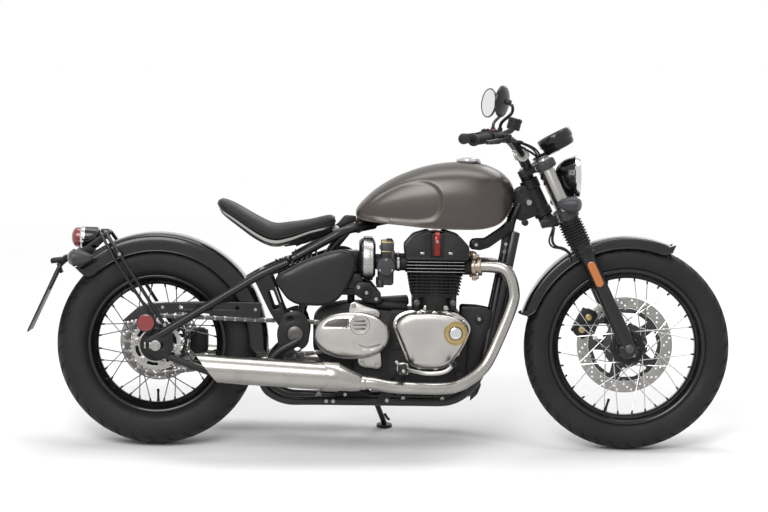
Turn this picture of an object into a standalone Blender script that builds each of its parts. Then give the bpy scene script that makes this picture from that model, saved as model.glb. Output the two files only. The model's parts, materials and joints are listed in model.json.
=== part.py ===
"""A bobber motorcycle parked on its side stand, built as separate solids on real joints.

Lengths are metres. The machine is drawn upright: +X is forward from the rear axle, the right
side faces -Y and the tyres stand on Z = 0. The empty "parked" then leans it on to its stand.
"""
import math

import bmesh
import bpy
from mathutils import Matrix, Vector

# Driving sizes of the machine as a whole
WHEELBASE = 1.510
RAKE = math.radians(25.4)
YOKE_OFFSET = 0.065
LEAN = math.radians(10.0)
RUNNING_GAP = 0.005
SEAT_GAP = 0.0003
PIN_GAP = 0.0008

# Wheels and tyres
WHEEL_STEPS = 32
FRONT_TYRE_RADIUS = 0.331
FRONT_TYRE_WIDTH = 0.100
FRONT_RIM_RADIUS = 0.248
FRONT_RIM_WIDTH = 0.074
REAR_TYRE_RADIUS = 0.323
REAR_TYRE_WIDTH = 0.150
REAR_RIM_RADIUS = 0.218
REAR_RIM_WIDTH = 0.100
RIM_DEPTH = 0.028
SPOKES = 32
SPOKE_RADIUS = 0.0020
SPOKE_STAGGER = 0.0025
AXLE_RADIUS = 0.010
FRONT_HUB_HALF = 0.050
REAR_HUB_HALF = 0.066
FRONT_DISC_RADIUS = 0.155
REAR_DISC_RADIUS = 0.1275
DISC_THICKNESS = 0.005
FRONT_DISC_Y = 0.057
REAR_DISC_Y = 0.094

# Chain drive on the right
CHAIN_Y = -0.098
CHAIN_WIDTH = 0.019
CHAIN_PITCH = 0.015875
CHAIN_HEIGHT = 0.015
REAR_TEETH = 37
FRONT_TEETH = 17
SPROCKET_THICKNESS = 0.007
DRIVE_SHAFT = (0.567, 0.357)

# Fork
FORK_HALF = 0.097
STANCHION_RADIUS = 0.0205
SLIDER_RADIUS = 0.025
GAITER_RADIUS = 0.0345
COLLAR_RADIUS = 0.031
SLIDER_TOP = 0.345
LOWER_YOKE = 0.470
UPPER_YOKE = 0.645
YOKE_THICKNESS = 0.032
HEAD_CLEAR = 0.024

# Frame
TUBE_RADIUS = 0.014
CRADLE_HALF = 0.110
CRADLE_HEIGHT = 0.152
DOWNTUBE_HALF = 0.060
DOWNTUBE_LOW = Vector((1.036, 0.0, 0.225))
DOWNTUBE_HIGH = Vector((1.1345, 0.0, 0.742))
DOWNTUBE_FORWARD = (DOWNTUBE_HIGH - DOWNTUBE_LOW).normalized().cross(Vector((0.0, -1.0, 0.0)))
RADIATOR_STANDOFF = 0.018
RADIATOR_SIZE = Vector((0.028, 0.172, 0.400))
PIVOT = (0.444, 0.367)
PIVOT_RADIUS = 0.020
ARM_CLEAR = 0.0175
ARM_HALF = CHAIN_WIDTH / 2 - CHAIN_Y + ARM_CLEAR
ARM_REAR = Vector((0.012, 0.0, 0.358))
ARM_CORNER = Vector((0.325, 0.0, 0.552))
CRADLE_REAR_HALF = ARM_HALF + 0.0216
HEAD_TUBE_RADIUS = 0.030
STEM_RADIUS = 0.011
SHOCK_TOP = Vector((0.547, 0.0, 0.615))
SHOCK_BAR_RADIUS = 0.011
PANEL_FACE = 0.1285

# Engine
ENGINE_X = 0.891
CASE_HALF = 0.112
CASE_TOP = 0.446
CASE_BOTTOM = 0.180
BARREL_TOP = 0.606
BLOCK_HALF = 0.160
COVER_FACE = 0.200
HEAD_TOP = 0.697
PORT_X = ENGINE_X + 0.112
PORT_Z = 0.584
INLET_X = ENGINE_X - 0.118
INLET_Z = 0.594
INLET_HALF = 0.072
INLET_RADIUS = 0.024

# Exhaust
PIPE_RADIUS = 0.020
MUFFLER_Y = 0.210
MUFFLER_FRONT_RADIUS = 0.044
MUFFLER_REAR_RADIUS = 0.040

# Mudguards
SHEET = 0.0018
FRONT_GUARD_RADIUS = 0.355
FRONT_GUARD_HALF = 0.060
REAR_GUARD_RADIUS = 0.357
REAR_GUARD_HALF = 0.086

# Tank and seat
TUNNEL = Vector((0.900, 0.0, 0.745))
TUNNEL_SIZE = (0.700, 0.060, 0.145)
TUNNEL_PITCH = math.radians(8.5)
CAP_RADIUS = 0.037

# Handlebar
BAR_RADIUS = 0.011
GRIP_RADIUS = 0.0185

REAR_AXLE = Vector((0.0, 0.0, REAR_TYRE_RADIUS))
FRONT_AXLE = Vector((WHEELBASE, 0.0, FRONT_TYRE_RADIUS))
FORK_UP = Vector((-math.sin(RAKE), 0.0, math.cos(RAKE)))
FORK_FORWARD = Vector((math.cos(RAKE), 0.0, math.sin(RAKE)))
ACROSS = Vector((0.0, 1.0, 0.0))
RIGHT = -1
LEFT = 1


def fork_point(up, forward=0.0, across=0.0):
    """A point measured up the fork from the front axle."""
    return FRONT_AXLE + FORK_UP * up + FORK_FORWARD * forward + ACROSS * across


def clear_scene():
    for old in list(bpy.data.objects):
        bpy.data.objects.remove(old)


def baked(thing):
    """Turn a curve or a modified object into a plain welded mesh in the machine's frame."""
    bpy.context.view_layer.update()
    depsgraph = bpy.context.evaluated_depsgraph_get()
    mesh = bpy.data.meshes.new_from_object(thing.evaluated_get(depsgraph))
    mesh.transform(thing.matrix_world)
    if thing.matrix_world.determinant() < 0:
        mesh.flip_normals()
    bm = bmesh.new()
    bm.from_mesh(mesh)
    bmesh.ops.remove_doubles(bm, verts=bm.verts, dist=1e-6)
    bm.to_mesh(mesh)
    bm.free()
    mesh.materials.clear()
    solid = bpy.data.objects.new("Solid", mesh)
    bpy.context.scene.collection.objects.link(solid)
    bpy.data.objects.remove(thing)
    return solid


def from_bmesh(bm):
    bmesh.ops.recalc_face_normals(bm, faces=bm.faces)
    mesh = bpy.data.meshes.new("Solid")
    bm.to_mesh(mesh)
    bm.free()
    solid = bpy.data.objects.new("Solid", mesh)
    bpy.context.scene.collection.objects.link(solid)
    return solid


def turn_to(axis):
    """Rotation that takes local Z to the axis."""
    return Vector(axis).to_track_quat('Z', 'Y').to_matrix().to_4x4()


def block(centre, size, pitch=0.0):
    """A box, turned nose-up about Y by the pitch."""
    bm = bmesh.new()
    bmesh.ops.create_cube(bm, size=1.0)
    bmesh.ops.scale(bm, vec=size, verts=bm.verts)
    place = Matrix.Translation(centre) @ Matrix.Rotation(-pitch, 4, 'Y')
    bmesh.ops.transform(bm, matrix=place, verts=bm.verts)
    return from_bmesh(bm)


def rod(start, end, radius, sides=10, end_radius=None):
    """A cylinder or cone between two points."""
    start, end = Vector(start), Vector(end)
    axis = end - start
    bm = bmesh.new()
    bmesh.ops.create_cone(bm, cap_ends=True, segments=sides, radius1=radius,
                          radius2=radius if end_radius is None else end_radius,
                          depth=axis.length)
    place = Matrix.Translation((start + end) / 2) @ turn_to(axis)
    bmesh.ops.transform(bm, matrix=place, verts=bm.verts)
    return from_bmesh(bm)


def lug_pair(start, end, radius, share, sides=8):
    """Two aligned lugs that meet face to face part of the way between two points."""
    start, end = Vector(start), Vector(end)
    meet = start.lerp(end, share)
    gap = (end - start).normalized() * SEAT_GAP / 2
    return rod(start, meet - gap, radius, sides), rod(meet + gap, end, radius, sides)


def turned(profile, centre, axis, steps=20, phase=0.0, sweep=2 * math.pi, closed=False,
           thickness=0.0):
    """Revolve (radius, height) points, listed down the outer side, about the axis."""
    mesh = bpy.data.meshes.new("Profile")
    points = [(radius, 0.0, height) for radius, height in profile]
    edges = [(i, i + 1) for i in range(len(points) - 1)]
    if closed:
        edges.append((len(points) - 1, 0))
    mesh.from_pydata(points, edges, [])
    thing = bpy.data.objects.new("Profile", mesh)
    bpy.context.scene.collection.objects.link(thing)
    thing.matrix_world = (Matrix.Translation(centre) @ turn_to(axis)
                          @ Matrix.Rotation(phase, 4, 'Z'))
    screw = thing.modifiers.new("Turn", 'SCREW')
    screw.angle = sweep
    screw.steps = steps
    screw.render_steps = steps
    screw.use_merge_vertices = True
    screw.merge_threshold = 1e-5
    if thickness:
        wall = thing.modifiers.new("Wall", 'SOLIDIFY')
        wall.thickness = thickness
        wall.offset = -1.0
    return baked(thing)


def plate(outline, y_from, y_to, holes=()):
    """A flat (x, z) outline with its holes, cut from sheet between two Y values."""
    curve = bpy.data.curves.new("Outline", 'CURVE')
    curve.dimensions = '2D'
    curve.fill_mode = 'BOTH'
    curve.extrude = abs(y_to - y_from) / 2
    for ring in (outline, *holes):
        spline = curve.splines.new('POLY')
        spline.points.add(len(ring) - 1)
        for point, (x, z) in zip(spline.points, ring):
            point.co = (x, z, 0.0, 1.0)
        spline.use_cyclic_u = True
    thing = bpy.data.objects.new("Outline", curve)
    bpy.context.scene.collection.objects.link(thing)
    thing.matrix_world = (Matrix.Translation((0.0, (y_from + y_to) / 2, 0.0))
                          @ Matrix.Rotation(math.pi / 2, 4, 'X'))
    return baked(thing)


def tube(points, radius, resolution=2):
    """A round bar through the points."""
    curve = bpy.data.curves.new("Bar", 'CURVE')
    curve.dimensions = '3D'
    curve.bevel_depth = radius
    curve.bevel_resolution = resolution
    curve.use_fill_caps = True
    spline = curve.splines.new('POLY')
    spline.points.add(len(points) - 1)
    for point, place in zip(spline.points, points):
        point.co = (*place, 1.0)
    thing = bpy.data.objects.new("Bar", curve)
    bpy.context.scene.collection.objects.link(thing)
    return baked(thing)


def bent(corners, radius, steps=4):
    """Points of a bar bent to the radius at each inner corner."""
    corners = [Vector(corner) for corner in corners]
    path = [corners[0]]
    for before, corner, after in zip(corners, corners[1:], corners[2:]):
        back = (before - corner).normalized()
        on = (after - corner).normalized()
        half = back.angle(on) / 2
        reach = min(radius / math.tan(half), (before - corner).length * 0.48,
                    (after - corner).length * 0.48)
        bend = reach * math.tan(half)
        centre = corner + (back + on).normalized() * (bend / math.sin(half))
        first = corner + back * reach - centre
        last = corner + on * reach - centre
        for step in range(steps + 1):
            part = first.lerp(last, step / steps).normalized() * bend
            path.append(centre + part)
    path.append(corners[-1])
    return path


def loft(rings):
    """A closed skin over rings of like counts of points."""
    bm = bmesh.new()
    rows = [[bm.verts.new(point) for point in ring] for ring in rings]
    for row, following in zip(rows, rows[1:]):
        for i in range(len(row)):
            j = (i + 1) % len(row)
            bm.faces.new((row[i], row[j], following[j], following[i]))
    bm.faces.new(rows[0])
    bm.faces.new(rows[-1])
    return from_bmesh(bm)


def combined(body, others, operation):
    for number, other in enumerate(others):
        step = body.modifiers.new(f"Step {number}", 'BOOLEAN')
        step.operation = operation
        step.solver = 'EXACT'
        step.object = other
    result = baked(body)
    for other in others:
        bpy.data.objects.remove(other)
    return result


def joined(body, *others):
    return combined(body, others, 'UNION')


def cut(body, *cutters):
    return combined(body, cutters, 'DIFFERENCE')


def mirrored(solid):
    """A copy on the other side of the machine."""
    mesh = solid.data.copy()
    mesh.transform(Matrix.Scale(-1, 4, ACROSS))
    mesh.flip_normals()
    twin = bpy.data.objects.new("Solid", mesh)
    bpy.context.scene.collection.objects.link(twin)
    return twin


def ellipse(centre, half_x, half_z, steps=24):
    return [(centre[0] + half_x * math.cos(2 * math.pi * i / steps),
             centre[1] + half_z * math.sin(2 * math.pi * i / steps)) for i in range(steps)]


MATERIALS = {
    "matt_tank": ((0.105, 0.088, 0.078), 0.42, 0.55),
    "satin_black": ((0.020, 0.020, 0.021), 0.40, 0.0),
    "black_metal": ((0.030, 0.030, 0.031), 0.35, 0.4),
    "brushed": ((0.62, 0.59, 0.55), 0.28, 1.0),
    "chrome": ((0.80, 0.80, 0.80), 0.08, 1.0),
    "rubber": ((0.018, 0.018, 0.018), 0.75, 0.0),
    "vinyl": ((0.022, 0.022, 0.023), 0.60, 0.0),
    "amber": ((0.85, 0.26, 0.01), 0.20, 0.0),
    "red_lens": ((0.45, 0.01, 0.01), 0.15, 0.0),
    "steel": ((0.42, 0.41, 0.40), 0.35, 1.0),
}


def material(name):
    found = bpy.data.materials.get(name)
    if found:
        return found
    colour, roughness, metallic = MATERIALS[name]
    made = bpy.data.materials.new(name)
    made.use_nodes = True
    shader = made.node_tree.nodes["Principled BSDF"]
    shader.inputs["Base Color"].default_value = (*colour, 1.0)
    shader.inputs["Roughness"].default_value = roughness
    shader.inputs["Metallic"].default_value = metallic
    made.diffuse_color = (*colour, 1.0)
    return made


def keep(name, solid, finish, carrier, smooth=30.0):
    """Name a finished sub-part, give it its material and hang it on its carrier."""
    solid.name = name
    solid.data.name = name
    solid.data.materials.append(material(finish))
    solid.data.shade_smooth()
    solid.data.set_sharp_from_angle(angle=math.radians(smooth))
    bpy.context.scene.collection.objects.unlink(solid)
    bpy.data.collections["bobber_motorcycle"].objects.link(solid)
    solid.parent = carrier
    solid.matrix_parent_inverse = Matrix.Translation(-Vector(carrier["place"]))
    return solid


def carrier(name, place, above=None):
    """An empty on a joint's axis, or at the origin for what does not move."""
    empty = bpy.data.objects.new(name, None)
    empty.empty_display_size = 0.1
    empty["place"] = tuple(place)
    bpy.data.collections["bobber_motorcycle"].objects.link(empty)
    empty.location = place
    if above:
        empty.parent = above
        empty.matrix_parent_inverse = Matrix.Translation(-Vector(above["place"]))
    return empty


def tyre_profile(radius, width, rim_radius, rim_width):
    """Half-round tread, shoulders and side walls down to the bead, as (radius, across)."""
    half, bead = width / 2, rim_width / 2 - 0.002
    seat = rim_radius + SEAT_GAP
    rise = radius - seat
    right = [(1.0, 0.22), (0.93, 0.76), (0.64, 1.0)]
    side = [(seat + rise * up, half * out) for up, out in right]
    side.append((seat, bead))
    return [(r, y) for r, y in reversed(side)] + [(r, -y) for r, y in side]


def wheel_ring(profile, centre):
    """A ring with flats, so that one rests on the floor, turned about the axle."""
    flat = math.cos(math.pi / WHEEL_STEPS)
    return turned([(r / flat, y) for r, y in profile], centre, ACROSS, WHEEL_STEPS,
                  math.pi / WHEEL_STEPS, closed=True)


def tyre(centre, radius, width, rim_radius, rim_width):
    return wheel_ring(tyre_profile(radius, width, rim_radius, rim_width), centre)


def spoke(centre, angle, side, flange_y, flange_radius, rim_radius, lead):
    """One spoke from a hub flange to the rim's well, leaning forward or back."""
    hub = angle + lead
    stagger = math.copysign(SPOKE_STAGGER, lead)
    foot = centre + Vector((math.cos(hub), 0, math.sin(hub))) * flange_radius
    head = centre + Vector((math.cos(angle), 0, math.sin(angle))) * rim_radius
    foot += ACROSS * side * (flange_y + stagger)
    head += ACROSS * side * (2.4 * SPOKE_STAGGER + stagger)
    return rod(foot, head, SPOKE_RADIUS, 3)


def wire_wheel(centre, rim_radius, rim_width, hub_profile, flanges):
    """Rim, laced spokes and hub, bored for the axle; flanges are (side, y, radius)."""
    half = rim_width / 2
    well = rim_radius - RIM_DEPTH
    rim = wheel_ring([(rim_radius, half), (rim_radius, -half), (rim_radius - 0.014, -half),
                      (well, -0.018), (well, 0.018), (rim_radius - 0.014, half)], centre)
    hub = turned(hub_profile, centre, ACROSS, 14, closed=True)
    spokes = []
    for i in range(SPOKES):
        side, flange_y, flange_radius = flanges[i % 2]
        lead = math.radians(58 if i % 4 < 2 else -58)
        angle = 2 * math.pi * (i + 0.5) / SPOKES
        spokes.append(spoke(centre, angle, side, flange_y, flange_radius, well + 0.006, lead))
    return joined(rim, hub, *spokes)


def brake_disc(centre, y, radius, carrier_radius, bore, arms=5):
    """A ring on a spider, with windows between the arms."""
    ring_width = 0.035
    windows = []
    for i in range(arms):
        turn = 2 * math.pi * i / arms
        reach = (carrier_radius + 0.008, radius - ring_width)
        spread = (math.pi / arms) * 0.72
        corners = [(reach[0], -spread * 0.8), (reach[1], -spread), (reach[1], 0.0),
                   (reach[1], spread), (reach[0], spread * 0.8)]
        windows.append([(r * math.cos(turn + a), r * math.sin(turn + a)) for r, a in corners])
    disc = plate(ellipse((0, 0), radius, radius, 30), -DISC_THICKNESS / 2, DISC_THICKNESS / 2,
                 [ellipse((0, 0), bore, bore, 12), *windows])
    disc.data.transform(Matrix.Translation(centre + ACROSS * y))
    return disc


def front_wheel(axle):
    bore = AXLE_RADIUS + PIN_GAP
    disc_face = FRONT_DISC_Y - DISC_THICKNESS / 2 - SEAT_GAP
    hub = [(bore, disc_face), (0.045, disc_face), (0.045, 0.044), (0.072, 0.044),
           (0.072, 0.034), (0.030, 0.026), (0.030, -0.026), (0.056, -0.034),
           (0.056, -0.044), (0.026, -0.048), (0.026, -FRONT_HUB_HALF - 0.012),
           (bore, -FRONT_HUB_HALF - 0.012)]
    keep("front_tyre", tyre(FRONT_AXLE, FRONT_TYRE_RADIUS, FRONT_TYRE_WIDTH,
                            FRONT_RIM_RADIUS, FRONT_RIM_WIDTH), "rubber", axle)
    keep("front_wire_wheel",
         wire_wheel(FRONT_AXLE, FRONT_RIM_RADIUS, FRONT_RIM_WIDTH, hub,
                    [(LEFT, 0.039, 0.066), (RIGHT, 0.039, 0.050)]), "black_metal", axle)
    keep("front_disc", brake_disc(FRONT_AXLE, FRONT_DISC_Y, FRONT_DISC_RADIUS, 0.045, bore),
         "steel", axle)


def rear_wheel(axle):
    bore = AXLE_RADIUS + PIN_GAP
    left_face = REAR_DISC_Y - DISC_THICKNESS / 2 - SEAT_GAP
    right_face = CHAIN_Y + SPROCKET_THICKNESS / 2 + SEAT_GAP
    hub = [(bore, left_face), (0.040, left_face), (0.040, 0.056), (0.068, 0.051),
           (0.068, 0.041), (0.042, 0.030), (0.042, -0.034), (0.072, -0.045),
           (0.072, right_face), (bore, right_face)]
    keep("rear_tyre", tyre(REAR_AXLE, REAR_TYRE_RADIUS, REAR_TYRE_WIDTH,
                           REAR_RIM_RADIUS, REAR_RIM_WIDTH), "rubber", axle)
    keep("rear_wire_wheel",
         wire_wheel(REAR_AXLE, REAR_RIM_RADIUS, REAR_RIM_WIDTH, hub,
                    [(LEFT, 0.046, 0.062), (RIGHT, 0.051, 0.066)]), "black_metal", axle)
    keep("rear_disc", brake_disc(REAR_AXLE, REAR_DISC_Y, REAR_DISC_RADIUS, 0.045, bore),
         "steel", axle)
    keep("rear_sprocket", sprocket(bore), "steel", axle)


def pitch_radius(teeth):
    return CHAIN_PITCH / (2 * math.sin(math.pi / teeth))


def sprocket(bore):
    """The driven sprocket, its teeth cut back to run free inside the fixed chain."""
    tip = pitch_radius(REAR_TEETH) - CHAIN_HEIGHT / 2 - PIN_GAP * 2
    outline = []
    for tooth in range(REAR_TEETH):
        turn = 2 * math.pi * tooth / REAR_TEETH
        for radius, part in ((tip, 0.0), (tip - 0.005, 0.5)):
            a = turn + 2 * math.pi * part / REAR_TEETH
            outline.append((radius * math.cos(a), radius * math.sin(a)))
    slots = []
    for i in range(6):
        turn = 2 * math.pi * i / 6
        corners = [(0.056, -0.26), (0.069, -0.26), (0.069, 0.26), (0.056, 0.26)]
        slots.append([(r * math.cos(turn + a), r * math.sin(turn + a)) for r, a in corners])
    half = SPROCKET_THICKNESS / 2
    disc = plate(outline, -half, half, [ellipse((0, 0), bore, bore, 12), *slots])
    disc.data.transform(Matrix.Translation(REAR_AXLE + ACROSS * CHAIN_Y))
    return disc


def chain_path():
    """Centre points of the chain, one per half pitch, with the outward direction at each."""
    rear, front = pitch_radius(REAR_TEETH), pitch_radius(FRONT_TEETH)
    start = Vector((0.0, REAR_TYRE_RADIUS))
    end = Vector(DRIVE_SHAFT)
    span = end - start
    tilt = math.atan2(span.y, span.x)
    lean = math.asin((rear - front) / span.length)
    upper = tilt + math.pi / 2 - lean
    lower = tilt - math.pi / 2 + lean
    runs = []
    straight = math.sqrt(span.length ** 2 - (rear - front) ** 2)

    def direction(angle):
        return Vector((math.cos(angle), math.sin(angle)))

    lengths = [straight, front * (upper - lower), straight,
               rear * (2 * math.pi - (upper - lower))]
    total = sum(lengths)
    steps = 2 * round(total / CHAIN_PITCH)
    for i in range(steps):
        along = total * i / steps
        if along < lengths[0]:
            out = direction(upper)
            place = (start + out * rear).lerp(end + out * front, along / straight)
        elif along < lengths[0] + lengths[1]:
            out = direction(upper - (along - lengths[0]) / front)
            place = end + out * front
        elif along < sum(lengths[:3]):
            out = direction(lower)
            part = (along - lengths[0] - lengths[1]) / straight
            place = (end + out * front).lerp(start + out * rear, part)
        else:
            out = direction(lower - (along - sum(lengths[:3])) / rear)
            place = start + out * rear
        runs.append((place, out))
    return runs


def chain():
    """The closed chain with the waist between its link plates as the outline."""
    half = CHAIN_HEIGHT / 2
    waist = half * 0.62
    outer, inner = [], []
    for i, (place, out) in enumerate(chain_path()):
        reach = half if i % 2 == 0 else waist
        outer.append(tuple(place + out * reach))
        if i % 2 == 0:
            inner.append(tuple(place - out * half))
    return plate(outer, CHAIN_Y - CHAIN_WIDTH / 2, CHAIN_Y + CHAIN_WIDTH / 2, [inner])


def guard(centre, radius, half, skirt, first, last, steps):
    """A mudguard: an arched section swept about the axle between two angles from +X."""
    arch = [(radius - skirt, half), (radius - skirt * 0.30, half), (radius, half * 0.55)]
    profile = arch + [(r, -y) for r, y in reversed(arch)]
    sweep = math.radians(last - first)
    return turned(profile, centre, ACROSS, steps, math.pi - math.radians(last),
                  sweep=sweep, thickness=SHEET)


def frame():
    """Cradle, spine, head casting, seat rails and the plates that hold engine and arm."""
    pivot = Vector((PIVOT[0], 0.0, PIVOT[1]))
    head_low = fork_point(LOWER_YOKE + HEAD_CLEAR, -YOKE_OFFSET)
    head_high = fork_point(UPPER_YOKE - HEAD_CLEAR, -YOKE_OFFSET)
    body = rod(head_low, head_high, HEAD_TUBE_RADIUS, 12)
    spine_front = head_low.lerp(head_high, 0.62)
    spine = tube([spine_front, (0.90, 0, 0.775), (0.640, 0, 0.716)], 0.022)
    roof = Vector((-math.sin(TUNNEL_PITCH), 0.0, math.cos(TUNNEL_PITCH)))
    tank_rest = rod(TUNNEL + roof * 0.030, TUNNEL + roof * (TUNNEL_SIZE[2] / 2 - SEAT_GAP), 0.012)
    throat = plate([(1.135, 0.742), (1.165, 0.728), (1.225, 0.752), (1.200, 0.850),
                    (1.165, 0.847), (1.140, 0.835)], -0.025, 0.025)
    rear_cross = tube([(0.640, -0.075, 0.700), (0.640, 0.075, 0.700)], 0.013)
    pivot_reach = ACROSS * (ARM_HALF + 0.031)
    pivot_bar = rod(pivot - pivot_reach, pivot + pivot_reach, PIVOT_RADIUS, 12)
    low_cross = tube([(0.52, -0.11, CRADLE_HEIGHT), (0.52, 0.11, CRADLE_HEIGHT)], 0.011)
    front_cross = tube([(1.010, -0.09, 0.181), (1.010, 0.09, 0.181)], 0.011)
    stays = []
    for share in (0.25, 0.80):
        place = (DOWNTUBE_LOW.lerp(DOWNTUBE_HIGH, share)
                 + DOWNTUBE_FORWARD * (RADIATOR_STANDOFF - 0.008))
        reach = ACROSS * (0.092 - 0.050 * share)
        stays.append(rod(place - reach, place + reach, 0.008, 8))
    shock_bar = rod(SHOCK_TOP - ACROSS * 0.082, SHOCK_TOP + ACROSS * 0.082, SHOCK_BAR_RADIUS)
    halves = []
    for side in (RIGHT, LEFT):
        y = side * CRADLE_HALF
        wide = side * CRADLE_REAR_HALF
        near = side * DOWNTUBE_HALF
        cradle = tube(bent([(0.452, wide, 0.345), (0.372, wide, 0.300), (0.335, wide, 0.198),
                            (0.408, wide * 0.92, CRADLE_HEIGHT), (0.500, y, CRADLE_HEIGHT),
                            (0.957, y, CRADLE_HEIGHT), DOWNTUBE_LOW + ACROSS * side * 0.092,
                            DOWNTUBE_HIGH + ACROSS * near * 0.62, (1.162, near * 0.30, 0.792)],
                           0.055, 2), TUBE_RADIUS)
        rail = tube(bent([(0.428, side * 0.112, 0.601), (0.599, side * 0.098, 0.698),
                          (0.655, side * 0.055, 0.706), (0.690, side * 0.012, 0.712)],
                         0.06, 1), TUBE_RADIUS)
        upright = tube(bent([(0.450, side * 0.070, 0.375), (0.470, side * 0.070, 0.470),
                             (0.560, side * 0.080, 0.640), (0.604, side * 0.092, 0.694)],
                            0.05, 1), TUBE_RADIUS)
        casting = plate([(0.395, 0.290), (0.430, 0.292), (0.488, 0.330), (0.494, 0.380),
                         (0.478, 0.430), (0.448, 0.445), (0.402, 0.430), (0.382, 0.372)],
                        side * (ARM_HALF + 0.007), side * (ARM_HALF + 0.027))
        bar = block(((0.470 + 0.700) / 2, side * 0.088, 0.500), (0.235, 0.014, 0.022))
        bosses = [rod((x, side * 0.088, 0.500), (x, side * (PANEL_FACE - SEAT_GAP), 0.500),
                      0.007, 8) for x in (0.480, 0.580)]
        mount = plate([(0.640, 0.520), (0.662, 0.530), (0.715, 0.482), (0.706, 0.4665),
                       (0.680, 0.4665), (0.640, 0.500)], side * 0.083, side * 0.122)
        feet = [block((x, y, (CRADLE_HEIGHT + CASE_BOTTOM - SEAT_GAP) / 2),
                      (0.050, 0.012, CASE_BOTTOM - SEAT_GAP - CRADLE_HEIGHT))
                for x in (0.790, 0.915)]
        peg = plate([(0.700, 0.145), (0.740, 0.145), (0.802, 0.250), (0.802, 0.276),
                     (0.772, 0.282), (0.742, 0.215)], side * (CASE_HALF + 0.001),
                    side * (CASE_HALF + 0.013))
        halves += [cradle, rail, upright, casting, bar, *bosses, mount, *feet, peg]
    body = joined(body, spine, tank_rest, throat, rear_cross, pivot_bar, low_cross, front_cross,
                  shock_bar, *stays, *halves)
    bore = rod(head_low - FORK_UP * 0.05, head_high + FORK_UP * 0.05,
               STEM_RADIUS + PIN_GAP, 12)
    return cut(body, bore)


def swingarm():
    """The cage: upper tubes, slanting plates, eyes on the pivot, lower tubes and the axle."""
    axle_reach = ACROSS * (ARM_HALF + 0.015)
    axle = rod(REAR_AXLE - axle_reach, REAR_AXLE + axle_reach, AXLE_RADIUS, 12)
    corner_bar = tube([(0.335, -ARM_HALF, 0.553), (0.335, ARM_HALF, 0.553)], 0.013)
    corner = Vector((0.335, 0.0, 0.553))
    outward = (corner - REAR_AXLE).normalized()
    hanger = rod(REAR_AXLE + outward * (REAR_GUARD_RADIUS + SEAT_GAP), corner, 0.010, 8)
    pieces = []
    for side in (RIGHT, LEFT):
        y = side * ARM_HALF
        top = tube([ARM_REAR + ACROSS * y, ARM_CORNER + ACROSS * y,
                    (0.420, side * (ARM_HALF - 0.011), 0.593)], TUBE_RADIUS)
        inside = side * (ARM_HALF - 0.005)
        low = tube(bent([(0.010, inside, 0.300), (0.215, inside, 0.222), (0.360, inside, 0.246),
                         (0.440, inside, 0.335)], 0.07, 2), TUBE_RADIUS - 0.003)
        axle_plate = plate([(-0.040, 0.323), (-0.034, 0.342), (0.020, 0.374), (0.052, 0.372),
                            (0.058, 0.330), (0.048, 0.282), (0.010, 0.278), (-0.030, 0.300)],
                           y - 0.006, y + 0.006)
        web = plate([(0.300, 0.556), (0.362, 0.560), (0.412, 0.430), (0.470, 0.392),
                     (0.470, 0.345), (0.430, 0.330), (0.402, 0.372), (0.362, 0.430)],
                    y - 0.005, y + 0.005)
        pieces += [top, low, axle_plate, web]
    body = joined(axle, corner_bar, hanger, *pieces)
    return cut(body, rod((PIVOT[0], -0.2, PIVOT[1]), (PIVOT[0], 0.2, PIVOT[1]),
                         PIVOT_RADIUS + SEAT_GAP * 3, 12))


def engine_cases():
    """Crankcase and gearbox in one casting, with the alternator cover on the left."""
    y = CASE_HALF
    crank = plate([(0.740, 0.200), (0.780, CASE_BOTTOM), (0.940, CASE_BOTTOM), (0.985, 0.215),
                   (0.995, 0.330), (0.985, 0.400), (0.965, CASE_TOP), (0.740, CASE_TOP)],
                  -y, y)
    box = plate([(0.500, 0.315), (0.535, 0.262), (0.640, 0.225), (0.760, CASE_BOTTOM + 0.010),
                 (0.760, 0.464), (0.600, 0.464), (0.530, 0.448), (0.500, 0.420)],
                CHAIN_Y + CHAIN_WIDTH / 2 + RUNNING_GAP, y - 0.002)
    wall = plate([(0.632, 0.232), (0.765, 0.206), (0.765, 0.440), (0.632, 0.452)],
                 0.0004 - y, -0.050)
    shaft = rod((DRIVE_SHAFT[0], CHAIN_Y - 0.006, DRIVE_SHAFT[1]),
                (DRIVE_SHAFT[0], -0.050, DRIVE_SHAFT[1]),
                pitch_radius(FRONT_TEETH) - CHAIN_HEIGHT / 2 - PIN_GAP * 2, 17)
    cover = turned([(0.0, 0.070), (0.055, 0.066), (0.078, 0.040), (0.082, -0.006),
                    (0.0, -0.006)], (0.880, y, 0.335), ACROSS, 20)
    return joined(crank, box, wall, shaft, cover)


def inlet(side, radius, root=0.050):
    """Stub that takes a throttle body, from inside the head outwards."""
    return rod((ENGINE_X - root, side * INLET_HALF, INLET_Z),
               (INLET_X, side * INLET_HALF, INLET_Z), radius, 10)


def finned_block():
    """Two barrels and their head as one finned block, on a narrower base."""
    seat = CASE_TOP + SEAT_GAP
    base = block((ENGINE_X - 0.008, 0, (seat + 0.485) / 2), (0.130, 0.240, 0.485 - seat))
    core = block((ENGINE_X - 0.005, 0, (0.480 + BARREL_TOP) / 2),
                 (0.146, 0.276, BARREL_TOP - 0.480))
    fins = []
    for i in range(11):
        z = 0.497 + 0.0107 * i
        grow = min(1.0, 0.72 + 0.05 * i)
        fins.append(block((ENGINE_X - 0.004, 0, z), (0.192 * grow ** 0.5,
                                                     2 * BLOCK_HALF * grow ** 0.25, 0.0035)))
    ports = []
    for side in (RIGHT, LEFT):
        ports.append(rod((ENGINE_X + 0.05, side * 0.100, PORT_Z),
                         (PORT_X, side * 0.100, PORT_Z), 0.0215, 12))
        ports.append(inlet(side, INLET_RADIUS))
    return joined(base, core, *fins, *ports)


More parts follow.
